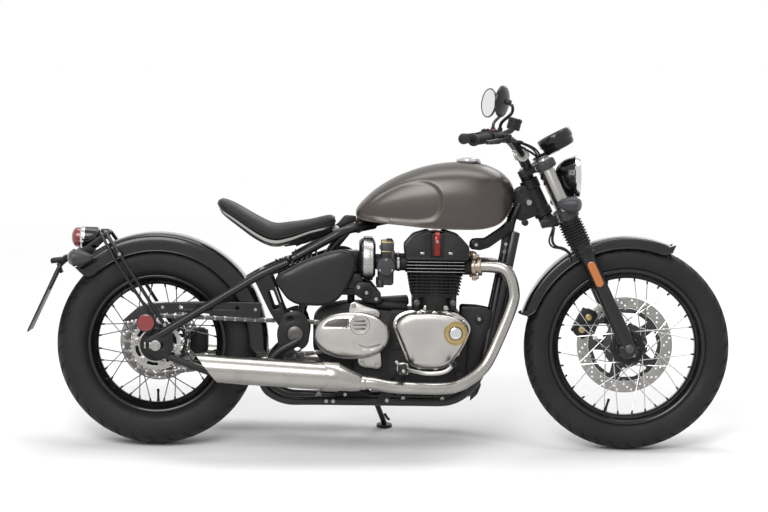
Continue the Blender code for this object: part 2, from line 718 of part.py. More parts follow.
def rocker_cover():
    low = BARREL_TOP + SEAT_GAP
    outline = [(ENGINE_X - 0.098, low), (ENGINE_X + 0.100, low), (ENGINE_X + 0.104, 0.650),
               (ENGINE_X + 0.080, 0.682), (ENGINE_X + 0.030, HEAD_TOP),
               (ENGINE_X - 0.030, HEAD_TOP), (ENGINE_X - 0.080, 0.682),
               (ENGINE_X - 0.102, 0.650)]
    lid = plate(outline, -BLOCK_HALF + 0.004, BLOCK_HALF - 0.004)
    grooves = [block((ENGINE_X, side * BLOCK_HALF, 0.655), (0.026, 0.024, 0.120))
               for side in (RIGHT, LEFT)]
    notches = [inlet(side, INLET_RADIUS + 5 * SEAT_GAP, 0.046) for side in (RIGHT, LEFT)]
    return cut(lid, *grooves, *notches)


def clutch_cover():
    """Rounded triangular cover with its raised ring."""
    outline = [(0.757, 0.398), (0.768, 0.424), (0.800, 0.441), (0.880, 0.445), (0.950, 0.437),
               (0.985, 0.414), (1.000, 0.388), (0.976, 0.328), (0.932, 0.272), (0.900, 0.262),
               (0.840, 0.262), (0.808, 0.276)]
    middle = Vector((0.880, 0.352))

    def ring(y, share):
        return [(middle.x + (x - middle.x) * share, y, middle.y + (z - middle.y) * share)
                for x, z in outline]

    face = CASE_HALF + SEAT_GAP
    body = loft([ring(-face, 1.0), ring(-face - 0.052, 1.0), ring(-face - 0.072, 0.94),
                 ring(-COVER_FACE + 0.004, 0.82)])
    boss = rod((0.952, -face - 0.020, 0.378), (0.952, -COVER_FACE, 0.378), 0.038, 20)
    return joined(body, boss)


def sprocket_cover():
    """Oval cover over the front sprocket, domed, with a recess and a round cap."""
    face = CASE_HALF + SEAT_GAP
    centre = (0.624, 0.366)
    rings = []
    for depth, share in ((0.0, 1.0), (0.040, 1.0), (0.062, 0.90), (0.076, 0.62)):
        rings.append([(x, -face - depth, z) for x, z in
                      ellipse(centre, 0.120 * share, 0.076 * share, 24)])
    body = loft(rings)
    cap = rod((0.649, -face - 0.050, 0.401), (0.649, -face - 0.080, 0.401), 0.032, 16)
    ears = plate([(0.625, 0.425), (0.632, 0.458), (0.655, 0.462), (0.690, 0.440),
                  (0.690, 0.415), (0.640, 0.400)], -face - 0.012, -face)
    return joined(body, cap, ears)


def throttle_bodies():
    bodies = []
    for side in (RIGHT, LEFT):
        y = side * INLET_HALF
        bodies.append(rod((0.697, y, INLET_Z), (INLET_X - SEAT_GAP, y, INLET_Z),
                          0.022, 10))
        bodies.append(block((0.735, y, 0.628), (0.040, 0.046, 0.070)))
        bodies.append(block((0.730, y, 0.550), (0.050, 0.040, 0.060)))
        bodies.append(rod((0.729, y, 0.583), (0.729, side * 0.130, 0.583), 0.031, 14))
    bridge = rod((0.735, -0.072, 0.640), (0.735, 0.072, 0.640), 0.008, 8)
    return joined(bridge, *bodies)


def airbox():
    """A box between the side panels with a banded drum facing each throttle body."""
    body = block((0.6115, 0, 0.590), (0.074, 0.150, 0.080))
    drums = []
    for side in (RIGHT, LEFT):
        profile = [(0.0, 0.048), (0.056, 0.048), (0.068, 0.042), (0.068, 0.008),
                   (0.052, -0.004), (0.0, -0.004)]
        drums.append(turned(profile, (0.6485, side * 0.072, 0.605), (1, 0, 0), 16))
    return joined(body, *drums)


def side_panel(side):
    """Rounded triangular panel under the seat."""
    outline = [(0.379, 0.536), (0.388, 0.554), (0.477, 0.603), (0.554, 0.630), (0.592, 0.637),
               (0.620, 0.629), (0.630, 0.610), (0.628, 0.571), (0.598, 0.503), (0.570, 0.470),
               (0.530, 0.458), (0.455, 0.459), (0.420, 0.475), (0.390, 0.516)]
    middle = Vector((0.515, 0.545))

    def ring(y, share):
        return [(middle.x + (x - middle.x) * share, side * y, middle.y + (z - middle.y) * share)
                for x, z in outline]

    return loft([ring(PANEL_FACE, 1.0), ring(0.144, 1.0), ring(0.152, 0.92)])


MUFFLER_FRONT = Vector((0.585, MUFFLER_Y, 0.236))
MUFFLER_REAR = Vector((0.115, MUFFLER_Y, 0.262))
MUFFLER_AXIS = (MUFFLER_FRONT - MUFFLER_REAR).normalized()
MUFFLER_CAP = 0.072
MUFFLER_MOUTH = MUFFLER_FRONT + MUFFLER_AXIS * MUFFLER_CAP
PIPE_ROUTE = [Vector(point) for point in (
    (PORT_X + 0.004, 0.100, PORT_Z), (1.060, 0.106, 0.588), (1.112, 0.116, 0.575),
    (1.136, 0.122, 0.515), (1.128, 0.128, 0.455), (1.068, 0.142, 0.310),
    (1.030, 0.158, 0.255), (0.965, 0.182, 0.213), (0.900, 0.192, 0.203),
    (0.800, 0.202, 0.208), MUFFLER_MOUTH + MUFFLER_AXIS * 0.060,
    MUFFLER_MOUTH + MUFFLER_AXIS * RUNNING_GAP / 4)]


def header(side):
    path = smooth_path([(x, side * y, z) for x, y, z in PIPE_ROUTE], 19)
    pipe = tube(path, PIPE_RADIUS, 2)
    port = Vector((PORT_X + SEAT_GAP, side * 0.100, PORT_Z))
    flange = rod(port, port + Vector((0.014, 0, 0)), 0.029, 12)
    return joined(pipe, flange)


def smooth_path(route, count):
    """Even points on a smooth curve through the route's own points."""
    route = [Vector(point) for point in route]
    padded = [2 * route[0] - route[1], *route, 2 * route[-1] - route[-2]]
    fine = []
    for a, b, c, d in zip(padded, padded[1:], padded[2:], padded[3:]):
        for step in range(12):
            t = step / 12
            fine.append(0.5 * ((2 * b) + (c - a) * t + (2 * a - 5 * b + 4 * c - d) * t ** 2
                               + (3 * b - a - 3 * c + d) * t ** 3))
    fine.append(route[-1])
    lengths = [0.0]
    for a, b in zip(fine, fine[1:]):
        lengths.append(lengths[-1] + (b - a).length)
    path, k = [], 0
    for i in range(count + 1):
        target = lengths[-1] * i / count
        while k < len(fine) - 2 and lengths[k + 1] < target:
            k += 1
        part = (target - lengths[k]) / max(lengths[k + 1] - lengths[k], 1e-9)
        path.append(fine[k].lerp(fine[k + 1], min(part, 1.0)))
    return path


def muffler(side):
    """Straight silencer with a coned front cap and a slash-cut, open tail."""
    y = side * MUFFLER_Y
    rear = Vector((MUFFLER_REAR.x, y, MUFFLER_REAR.z))
    length = (MUFFLER_FRONT - MUFFLER_REAR).length
    profile = [(0.0, length + MUFFLER_CAP), (PIPE_RADIUS + 0.003, length + MUFFLER_CAP),
               (0.030, length + 0.060), (MUFFLER_FRONT_RADIUS, length),
               (MUFFLER_FRONT_RADIUS, length - 0.004), (MUFFLER_REAR_RADIUS, 0.0),
               (MUFFLER_REAR_RADIUS - 0.003, 0.0), (MUFFLER_REAR_RADIUS - 0.003, 0.150),
               (0.0, 0.150)]
    body = turned(profile, rear, MUFFLER_AXIS, 16)
    wedge = block((0.118, y, 0.262), (0.200, 0.300, 0.300))
    turn = (Matrix.Translation((0.168, y, 0.258)) @ Matrix.Rotation(math.radians(38), 4, 'Y')
            @ Matrix.Rotation(-side * math.radians(10), 4, 'Z')
            @ Matrix.Translation((-0.118 - 0.100, -y, -0.262)))
    wedge.data.transform(turn)
    return cut(body, wedge)


TANK_SECTIONS = [
    # x, bottom, top, half width, share of the height at which it is widest
    (0.632, 0.742, 0.760, 0.050, 0.5), (0.655, 0.728, 0.790, 0.080, 0.45),
    (0.700, 0.722, 0.833, 0.100, 0.42), (0.770, 0.717, 0.874, 0.116, 0.42),
    (0.860, 0.708, 0.904, 0.130, 0.42), (0.950, 0.7045, 0.918, 0.135, 0.42),
    (1.030, 0.706, 0.915, 0.133, 0.44), (1.090, 0.728, 0.893, 0.116, 0.48),
    (1.125, 0.765, 0.862, 0.084, 0.5), (1.138, 0.795, 0.842, 0.050, 0.5)]


def tank_ring(x, bottom, top, half, waist):
    """A rounded section: flat floor with a seam, full sides and an arched top."""
    height = top - bottom
    right = [(0.0, 0.0), (0.86, 0.0), (1.0, 0.05), (1.03, waist), (0.93, 0.70), (0.66, 0.90),
             (0.30, 0.985), (0.0, 1.0)]
    points = [(x, half * y, bottom + height * z) for y, z in right]
    return points + [(x, -y, z) for x, y, z in reversed(points[1:-1])]


def fuel_tank():
    body = loft([tank_ring(x, low, high, half / 1.03, waist)
                 for x, low, high, half, waist in TANK_SECTIONS])
    tunnel = block(TUNNEL, TUNNEL_SIZE, TUNNEL_PITCH)
    rear = block((0.640, 0, 0.700), (0.190, 0.200, 0.090))
    return cut(body, tunnel, rear)


def fuel_cap():
    base = 0.9165
    profile = [(0.0, 0.016), (CAP_RADIUS - 0.008, 0.014), (CAP_RADIUS, 0.006),
               (CAP_RADIUS, 0.001), (0.0, 0.001)]
    return turned(profile, (0.992, 0, base + 0.0012), (0, 0, 1), 24)


SEAT_SECTIONS = [
    # x, underside, top, half width
    (0.192, 0.772, 0.786, 0.085), (0.206, 0.750, 0.790, 0.112), (0.245, 0.722, 0.776, 0.128),
    (0.318, 0.672, 0.736, 0.130), (0.370, 0.652, 0.714, 0.128), (0.420, 0.660, 0.718, 0.116),
    (0.485, 0.684, 0.728, 0.090), (0.545, 0.700, 0.742, 0.068), (0.566, 0.716, 0.736, 0.050)]


def seat_ring(x, low, high, half):
    height = high - low
    right = [(0.0, 0.0), (0.90, 0.10), (1.0, 0.45), (0.88, 0.90), (0.45, 0.98), (0.0, 0.93)]
    points = [(x, half * y, low + height * z) for y, z in right]
    return points + [(x, -y, z) for x, y, z in reversed(points[1:-1])]


def seat_pad():
    return loft([seat_ring(*section) for section in SEAT_SECTIONS])


def seat_pan():
    """Dished metal pan under the pad, on one arm to the frame."""
    rings = []
    for x, low, high, half in SEAT_SECTIONS[:-1]:
        top = low - SEAT_GAP
        points = [(x, 0.0, top - 0.012), (x, half * 0.86, top - 0.008 + 0.1 * (high - low)),
                  (x, half * 0.90, top + 0.1 * (high - low) - 0.001), (x, 0.0, top - 0.001)]
        rings.append(points + [(x, -y, z) for x, y, z in (points[2], points[1])])
    pan = loft(rings)
    arm = plate([(0.400, 0.640), (0.470, 0.650), (0.560, 0.686), (0.600, 0.712),
                 (0.6347, 0.722), (0.6347, 0.741), (0.596, 0.742), (0.5725, 0.713),
                 (0.545, 0.6985), (0.485, 0.6825), (0.420, 0.6585)], -0.022, 0.022)
    bolt = rod((0.570, -0.030, 0.697), (0.570, 0.030, 0.697), 0.009, 12)
    return joined(pan, arm, bolt)


def mudguard_loop():
    """Hoop from the axle lugs over the rear mudguard, with the lamp bracket at its crown."""
    crown = 0.676
    hoop = tube(bent([(0.030, -0.122, 0.3885), (-0.118, -0.118, 0.612), (-0.163, -0.104, crown),
                      (-0.163, 0.104, crown), (-0.118, 0.118, 0.612), (0.030, 0.122, 0.3885)],
                     0.05, 2), 0.006, 1)
    lamp_plate = block((-0.174, 0, 0.6775), (0.028, 0.036, 0.022))
    strips = [plate([(-0.160, 0.664), (-0.156, 0.676), (-0.166, 0.683), (-0.235, 0.632),
                     (-0.292, 0.602), (-0.290, 0.593), (-0.262, 0.6055), (-0.222, 0.6055)],
                    side * 0.037, side * 0.043) for side in (RIGHT, LEFT)]
    over = (ARM_CORNER - ARM_REAR).normalized().cross(ACROSS)
    seat = ARM_REAR.lerp(ARM_CORNER, 0.085) + over * (TUBE_RADIUS + SEAT_GAP)
    feet = [rod(seat + ACROSS * side * ARM_HALF, seat + over * 0.009 + ACROSS * side * ARM_HALF,
                0.005, 8) for side in (RIGHT, LEFT)]
    return joined(hoop, lamp_plate, *strips, *feet)


def tail_lamp():
    profile = [(0.0, 0.091), (0.026, 0.089), (0.0335, 0.080), (0.0345, 0.050), (0.0345, 0.010),
               (0.026, 0.0), (0.0, 0.0)]
    return turned(profile, (-0.1890, 0, 0.660), (-1, 0, 0), 16)


def indicator(place, forward):
    """A bullet lamp: cone, rim and lens."""
    profile = [(0.0, 0.042), (0.024, 0.040), (0.028, 0.034), (0.028, 0.010), (0.017, -0.024),
               (0.007, -0.038), (0.0, -0.038)]
    return turned(profile, place, (forward, 0, 0), 12)


def indicator_pair(x, lamp_x, z, spread, forward):
    bar = tube([(x, -spread, z), (x, spread, z)], 0.006, 1)
    return joined(bar, *[indicator(Vector((lamp_x, side * spread, z)), forward)
                         for side in (RIGHT, LEFT)])


def plate_holder():
    """Blank number plate on a short arm."""
    top, low = Vector((-0.312, 0, 0.577)), Vector((-0.412, 0, 0.358))
    slope = (top - low).normalized()
    back = Vector((-slope.z, 0, slope.x))
    panel = plate([tuple((point + back * off).xz) for point, off in
                   ((top, 0), (top, 0.004), (low, 0.004), (low, 0))], -0.090, 0.090)
    arm = plate([(-0.2865, 0.586), (-0.298, 0.596), (-0.322, 0.574), (-0.352, 0.492),
                 (-0.346, 0.488), (-0.310, 0.566)], -0.020, 0.020)
    lamp = block((-0.322, 0, 0.585), (0.050, 0.060, 0.020))
    foot = block((-0.2984, 0, 0.596), (0.012, 0.090, 0.014))
    return joined(panel, arm, lamp, foot)


def chain_guard():
    """Flat guard over the chain's top run."""
    y = CHAIN_Y - CHAIN_WIDTH / 2 - 0.0010
    return plate([(-0.109, 0.396), (-0.055, 0.447), (0.012, 0.459), (0.136, 0.464),
                  (0.337, 0.462), (0.331, 0.411), (0.200, 0.420), (0.136, 0.428),
                  (0.020, 0.428), (-0.040, 0.410)], y - 0.0018, y,
                 [ellipse((x, 0.4445), 0.0065, 0.0065, 10) for x in (0.078, 0.168, 0.258)])


def shock_absorber():
    """Damper and coil under the seat, from the cage's corner bar to the frame."""
    low = Vector((0.351, 0, 0.5535))
    axis = (SHOCK_TOP - low).normalized()
    high = SHOCK_TOP - axis * (SHOCK_BAR_RADIUS + SEAT_GAP)
    side, up = ACROSS, axis.cross(ACROSS)
    body = rod(low, high, 0.014, 12)
    seats = [rod(low + axis * 0.016, low + axis * 0.026, 0.036, 12),
             rod(high - axis * 0.030, high - axis * 0.018, 0.036, 12)]
    turns, start, reach = 7, 0.022, (high - low).length - 0.047
    per_turn = 6
    coil = []
    for i in range(turns * per_turn + 1):
        turn = 2 * math.pi * i / per_turn
        coil.append(low + axis * (start + reach * i / (turns * per_turn))
                    + (side * math.cos(turn) + up * math.sin(turn)) * 0.029)
    return joined(body, *seats, tube(coil, 0.0055, 0))


def radiator():
    """Slim core between the downtubes, leaning with them."""
    place = (DOWNTUBE_LOW.lerp(DOWNTUBE_HIGH, 0.54)
             + DOWNTUBE_FORWARD * (RADIATOR_STANDOFF + SEAT_GAP + RADIATOR_SIZE.x / 2))
    return block(place, RADIATOR_SIZE, math.atan2(DOWNTUBE_FORWARD.z, DOWNTUBE_FORWARD.x))


def foot_control(side):
    """Peg on its bracket with the pedal or gear lever ahead of it."""
    inner = side * (CASE_HALF + 0.0133)
    bracket = rod((0.787, inner, 0.263), (0.787, side * 0.190, 0.263), 0.016, 12)
    peg = rod((0.787, side * 0.180, 0.263), (0.787, side * 0.285, 0.263), 0.013, 12)
    lever = tube([(0.787, side * 0.178, 0.263), (0.860, side * 0.222, 0.252),
                  (0.925, side * 0.228, 0.262), (0.945, side * 0.228, 0.285)], 0.007)
    toe = rod((0.945, side * 0.205, 0.285), (0.945, side * 0.262, 0.285), 0.010, 10)
    return joined(bracket, peg, lever, toe)


def caliper(centre, toward, disc_y, arm_to, size):
    """A slotted block over the disc's edge with a lug to what carries it."""
    body = block(centre, size, toward)
    gap = DISC_THICKNESS + 2 * RUNNING_GAP
    inward = Vector((-math.cos(toward), 0, -math.sin(toward)))
    slot = block(centre + inward * size[0] * 0.35, (size[0] * 1.3, gap, size[2] * 1.4), toward)
    slot.data.transform(Matrix.Translation((0, disc_y - centre.y, 0)))
    body = cut(body, slot)
    return joined(body, arm_to)


def lamp_stalk():
    return lug_pair(fork_point(LOWER_YOKE + 0.004, 0.020), (1.3215, 0, 0.825), 0.008, 0.52)


def fork_yokes():
    """Both yokes, the stem that turns in the head, and the two stanchions."""
    stem_low, stem_high = fork_point(LOWER_YOKE, -YOKE_OFFSET), fork_point(UPPER_YOKE,
                                                                           -YOKE_OFFSET)
    pieces = []
    for side in (RIGHT, LEFT):
        pieces.append(rod(fork_point(SLIDER_TOP + SEAT_GAP, 0, side * FORK_HALF),
                          fork_point(UPPER_YOKE + 0.022, 0, side * FORK_HALF),
                          STANCHION_RADIUS, 12))
    for up in (LOWER_YOKE, UPPER_YOKE):
        for side in (RIGHT, LEFT):
            pieces.append(rod(fork_point(up - YOKE_THICKNESS / 2, 0, side * FORK_HALF),
                              fork_point(up + YOKE_THICKNESS / 2, 0, side * FORK_HALF),
                              0.032, 10))
        bridge = block((0, 0, 0), (0.050, 2 * FORK_HALF - 0.012, YOKE_THICKNESS - 0.004))
        nose = block((-YOKE_OFFSET / 2, 0, 0), (YOKE_OFFSET, 0.076, YOKE_THICKNESS - 0.008))
        for piece in (bridge, nose):
            piece.data.transform(Matrix.Translation(fork_point(up, -0.010))
                                 @ Matrix.Rotation(-RAKE, 4, 'Y'))
            pieces.append(piece)
    bearing = HEAD_CLEAR - PIN_GAP
    pieces.append(rod(stem_low - FORK_UP * 0.0125, stem_low + FORK_UP * bearing, 0.024, 12))
    pieces.append(rod(stem_high - FORK_UP * bearing, stem_high + FORK_UP * 0.0125, 0.022, 12))
    risers = [rod(fork_point(UPPER_YOKE, -0.052, side * 0.045),
                  fork_point(UPPER_YOKE + 0.044, -0.052, side * 0.045), 0.015, 8)
              for side in (RIGHT, LEFT)]
    stalk, foot = lamp_stalk()
    bpy.data.objects.remove(foot)
    core = rod(stem_low, stem_high, STEM_RADIUS, 12)
    return joined(core, *pieces, *risers, stalk)


def fork_gaiter(side):
    """Ribbed rubber sleeve around the bare stanchion."""
    low = SLIDER_TOP + 0.010
    high = LOWER_YOKE - YOKE_THICKNESS / 2 - SEAT_GAP
    ribs = 6
    outer = []
    for i in range(ribs):
        for part, radius in ((0.5, GAITER_RADIUS), (1.0, GAITER_RADIUS - 0.007)):
            outer.append((radius, low + (high - low) * (i + part) / ribs))
    outer = [(GAITER_RADIUS - 0.007, low)] + outer
    profile = list(reversed(outer)) + [(STANCHION_RADIUS + 0.001, low),
                                       (STANCHION_RADIUS + 0.001, high)]
    return turned(profile, fork_point(0, 0, side * FORK_HALF), FORK_UP, 12, closed=True)


def front_caliper_place():
    reach = math.radians(152)
    return FRONT_AXLE + Vector((math.cos(reach), 0, math.sin(reach))) * 0.150, reach


def front_caliper_lugs():
    place, _ = front_caliper_place()
    start = place + Vector((0.012, FRONT_DISC_Y + 0.016, 0.004))
    return lug_pair(start, fork_point(0.086, 0, FORK_HALF), 0.008, 0.45)


def fork_sliders():
    """Both lower legs with their collars, joined by the front axle."""
    axle = rod(FRONT_AXLE - ACROSS * (FORK_HALF + 0.034), FRONT_AXLE
               + ACROSS * (FORK_HALF + 0.034), AXLE_RADIUS, 12)
    pieces = []
    for side in (RIGHT, LEFT):
        y = side * FORK_HALF
        pieces.append(rod(fork_point(-0.030, 0, y), fork_point(SLIDER_TOP, 0, y),
                          SLIDER_RADIUS, 12))
        pieces.append(rod(fork_point(SLIDER_TOP - 0.020, 0, y),
                          fork_point(SLIDER_TOP + 0.0095, 0, y), COLLAR_RADIUS, 12))
        inner = FRONT_GUARD_HALF + SEAT_GAP
        lug = rod((0, side * inner, 0), (0, side * (FORK_HALF - 0.010), 0), 0.010, 8)
        lug.data.transform(Matrix.Translation(fork_point(0.322, 0)))
        pieces.append(lug)
    caliper_lug, slider_lug = front_caliper_lugs()
    bpy.data.objects.remove(caliper_lug)
    pieces.append(slider_lug)
    body = joined(axle, *pieces)
    bores = [rod(fork_point(SLIDER_TOP - 0.010, 0, side * FORK_HALF),
                 fork_point(SLIDER_TOP + 0.02, 0, side * FORK_HALF),
                 STANCHION_RADIUS + 0.001, 12) for side in (RIGHT, LEFT)]
    return cut(body, *bores)


def headlamp():
    """Round lamp with a deep bowl and a proud rim."""
    profile = [(0.0, 0.020), (0.050, 0.016), (0.062, 0.010), (0.070, 0.008), (0.072, 0.0),
               (0.070, -0.010), (0.064, -0.014), (0.058, -0.034), (0.040, -0.056),
               (0.018, -0.066), (0.0, -0.068)]
    stalk, foot = lamp_stalk()
    bpy.data.objects.remove(stalk)
    return joined(turned(profile, (1.338, 0, 0.873), (1, 0, 0), 20), foot)


def instrument():
    """Round clock in a cup on a bracket behind the lamp."""
    axis = Vector((-math.sin(math.radians(28)), 0, math.cos(math.radians(28))))
    face = Vector((1.262, 0, 1.012))
    profile = [(0.0, 0.0), (0.050, 0.0), (0.0575, -0.004), (0.0575, -0.030), (0.048, -0.052),
               (0.0, -0.056)]
    cup = turned(profile, face, axis, 18)
    foot = fork_point(UPPER_YOKE + YOKE_THICKNESS / 2 - 0.002 + SEAT_GAP, 0.003)
    post = rod(foot, foot + FORK_UP * 0.020, 0.009, 8)
    stay = rod(foot + FORK_UP * 0.012, face - axis * 0.050, 0.008, 8)
    return joined(cup, post, stay)


BAR_RISE = Vector((1.120, 0.175, 1.002))
GRIP_INNER = Vector((1.040, 0.275, 0.997))
GRIP_OUTER = Vector((0.989, 0.400, 0.990))


def bar_centre():
    return fork_point(UPPER_YOKE + 0.044 + BAR_RADIUS + SEAT_GAP, -0.052)


def bar_corners(side):
    """The bar's corners from its clamp out to the grip's end."""
    half = [bar_centre() + ACROSS * 0.075, BAR_RISE, GRIP_INNER, GRIP_OUTER]
    return [Vector((point.x, side * point.y, point.z)) for point in half]


def bar_path():
    return bent([*reversed(bar_corners(RIGHT)), *bar_corners(LEFT)], 0.06, 2)


def handlebar():
    """Low bar with its grips."""
    bar = tube(bar_path(), BAR_RADIUS)
    grips = []
    for ring in (bar_corners(RIGHT), bar_corners(LEFT)):
        along = (ring[3] - ring[2]).normalized()
        grips.append(rod(ring[2], ring[3], GRIP_RADIUS - 0.002, 12))
        grips.append(rod(ring[3] - along * 0.012, ring[3], GRIP_RADIUS, 12))
    return joined(bar, *grips)


def hand_control(side, with_reservoir):
    """Switch housing clamped round the bar with its lever."""
    def here(point):
        return Vector((point.x, side * point.y, point.z))

    along = (here(GRIP_INNER) - here(BAR_RISE)).normalized()
    start = here(GRIP_INNER) - along * 0.010
    housing = rod(start - along * 0.046, start, 0.021, 12)
    clamp = rod(start - along * 0.084, start - along * 0.044, 0.017, 12)
    lever = tube(bent([start - along * 0.055, start - along * 0.050 + Vector((0.045, 0, -0.004)),
                       here(Vector((1.068, 0.300, 0.990))), here(Vector((1.030, 0.405, 0.984)))],
                      0.03, 2), 0.0065, 1)
    pieces = [clamp, lever]
    if with_reservoir:
        pot = rod((1.125, side * 0.150, 0.998 + 0.026), (1.134, side * 0.150, 1.046 + 0.016),
                  0.023, 12)
        pieces += [pot, tube([start - along * 0.076 + Vector((0, 0, 0.010)),
                              (1.118, side * 0.176, 1.022), (1.128, side * 0.152, 1.034)],
                             0.009)]
    body = joined(housing, *pieces)
    bore = tube(bar_path(), BAR_RADIUS + SEAT_GAP * 2)
    return cut(body, bore)


def mirror(side):
    """Round glass in a shell on a curved stem that rises from the hand control."""
    centre = Vector((1.072, side * 0.415, 1.112))
    toe = math.radians(26)
    normal = Vector((-math.cos(toe), -side * math.sin(toe), 0.10)).normalized()
    profile = [(0.0, 0.0), (0.046, 0.0), (0.050, -0.003), (0.049, -0.008), (0.030, -0.018),
               (0.010, -0.022), (0.0, -0.022)]
    shell = turned(profile, centre, normal, 16)
    stem = tube(smooth_path([(1.0807, side * 0.2243, 1.0182), (1.0807, side * 0.2243, 1.030),
                             (1.086, side * 0.240, 1.048),
                             (1.112, side * 0.290, 1.075), (1.112, side * 0.345, 1.097),
                             (1.100, side * 0.372, 1.104), centre - normal * 0.016], 9),
                0.0055, 1)
    return joined(shell, stem)


def brake_hose():
    """Hose from the head down to the front mudguard's stay."""
    top = fork_point(LOWER_YOKE - YOKE_THICKNESS / 2 + 0.0028, -0.058, -0.031)
    side = -(FRONT_GUARD_HALF + 0.0045 + SEAT_GAP)
    route = [top, top - FORK_UP * 0.014, top + Vector((0.0023, -0.0070, -0.0488)),
             top + Vector((0.0133, -0.0190, -0.0668)), top + Vector((0.0363, -0.0310, -0.0728)),
             (1.316, side, 0.632), (1.322, side, 0.604)]
    return tube(smooth_path(route, 14), 0.0045, 1)


STAND_PIVOT = Vector((0.700, 0.150, 0.148))
STAND_DOWN = Vector((0.26, 0.56, -0.79)).normalized()
STAND_UP = Vector((-0.995, 0.05, 0.08)).normalized()
STAND_AXIS = STAND_DOWN.cross(STAND_UP).normalized()
STAND_RADIUS = 0.010


def side_stand(length):
    """Leg with its eye on the pivot pin and a flat foot for the floor."""
    eye = rod(STAND_PIVOT - STAND_AXIS * 0.011, STAND_PIVOT + STAND_AXIS * 0.011, 0.017, 12)
    foot = STAND_PIVOT + STAND_DOWN * length
    down = Matrix.Rotation(LEAN, 3, 'X') @ Vector((0, 0, -1))
    leg = tube([STAND_PIVOT + STAND_DOWN * 0.010, foot - down * 0.007], STAND_RADIUS, 3)
    pad = rod(foot - down * 0.010, foot, 0.026, 16)
    body = joined(leg, eye, pad)
    bore = rod(STAND_PIVOT - STAND_AXIS * 0.02, STAND_PIVOT + STAND_AXIS * 0.02,
               0.006 + PIN_GAP, 12)
    return cut(body, bore)


def stand_bracket():
    """Tongue and pin on the left cradle tube that carry the stand."""
    root = Vector((STAND_PIVOT.x, CRADLE_HALF, CRADLE_HEIGHT))
    near = STAND_PIVOT - STAND_AXIS * 0.0185
    cheek = rod(near - STAND_AXIS * 0.006, near + STAND_AXIS * 0.0055, 0.017, 12)
    web = rod(root, near - STAND_AXIS * 0.003, 0.010, 12)
    pin = rod(near, STAND_PIVOT + STAND_AXIS * 0.016, 0.006, 12)
    head = rod(STAND_PIVOT + STAND_AXIS * 0.0125, STAND_PIVOT + STAND_AXIS * 0.018, 0.010, 12)
    return cheek, web, pin, head


def floor_drop(radius, width, rim_radius, rim_width, lean):
    """How far a tyre's round tread would sink when the wheel leans about its contact line."""
    profile = tyre_profile(radius, width, rim_radius, rim_width)
    return -min((lean @ Vector((0.0, y, radius - r))).z for r, y in profile)


def parked_matrix():
    """Leaned to the left and lifted until both tyres touch the floor."""
    lean = Matrix.Rotation(-LEAN, 4, 'X')
    rear = floor_drop(REAR_TYRE_RADIUS, REAR_TYRE_WIDTH, REAR_RIM_RADIUS, REAR_RIM_WIDTH, lean)
    front = floor_drop(FRONT_TYRE_RADIUS, FRONT_TYRE_WIDTH, FRONT_RIM_RADIUS,
                       FRONT_RIM_WIDTH, lean)
    pitch = math.atan2(rear - front, WHEELBASE)
    return (Matrix.Translation((0.0, 0.0, rear)) @ Matrix.Rotation(pitch, 4, 'Y') @ lean)


def centre_on_floor(parked):
    """Slide the machine so that the origin is at the bottom centre of its box."""
    bpy.context.view_layer.update()
    corners = [thing.matrix_world @ vertex.co
               for thing in bpy.data.collections["bobber_motorcycle"].objects
               if thing.type == 'MESH' for vertex in thing.data.vertices]
    for axis in (0, 1):
        values = [corner[axis] for corner in corners]
        parked.location[axis] -= (min(values) + max(values)) / 2


def build_chassis(body):
    cheek, web, pin, head = stand_bracket()
    keep("main_frame", joined(frame(), web, cheek, pin, head), "black_metal", body)
    keep("swingarm", swingarm(), "black_metal", body)
    keep("engine_cases", engine_cases(), "black_metal", body)
    keep("cylinder_block", finned_block(), "black_metal", body)
    keep("rocker_cover", rocker_cover(), "black_metal", body)
    keep("clutch_cover", clutch_cover(), "brushed", body)
    keep("sprocket_cover", sprocket_cover(), "brushed", body)
    keep("throttle_bodies", throttle_bodies(), "steel", body)
    keep("airbox", airbox(), "satin_black", body)
    for side, word in ((RIGHT, "right"), (LEFT, "left")):
        keep(f"side_panel_{word}", side_panel(side), "satin_black", body)
        keep(f"exhaust_header_{word}", header(side), "brushed", body)
        keep(f"muffler_{word}", muffler(side), "brushed", body)
        keep(f"foot_control_{word}", foot_control(side), "steel", body)
    keep("fuel_tank", fuel_tank(), "matt_tank", body)
    keep("fuel_cap", fuel_cap(), "chrome", body)
    keep("seat_pan", seat_pan(), "brushed", body)
    keep("seat_pad", seat_pad(), "vinyl", body)
    keep("rear_mudguard", guard(REAR_AXLE, REAR_GUARD_RADIUS, REAR_GUARD_HALF, 0.059,
                                -5, 137.5, 18), "satin_black", body)
    keep("mudguard_loop", mudguard_loop(), "satin_black", body)
    keep("tail_lamp", tail_lamp(), "red_lens", body)
    keep("rear_indicators", indicator_pair(-0.238, -0.238, 0.6, 0.150, -1), "amber", body)
    keep("plate_holder", plate_holder(), "satin_black", body)
    keep("chain_guard", chain_guard(), "satin_black", body)
    keep("drive_chain", chain(), "steel", body)
    keep("shock_absorber", shock_absorber(), "satin_black", body)
    keep("radiator", radiator(), "satin_black", body)
    lug = rod((0.0596, ARM_HALF - 0.003, 0.340), (0.110, 0.1105, 0.331), 0.006, 8)
    keep("rear_caliper", caliper(Vector((0.129, REAR_DISC_Y, 0.323)), 0.0, REAR_DISC_Y, lug,
                                 (0.060, 0.046, 0.090)), "black_metal", body)


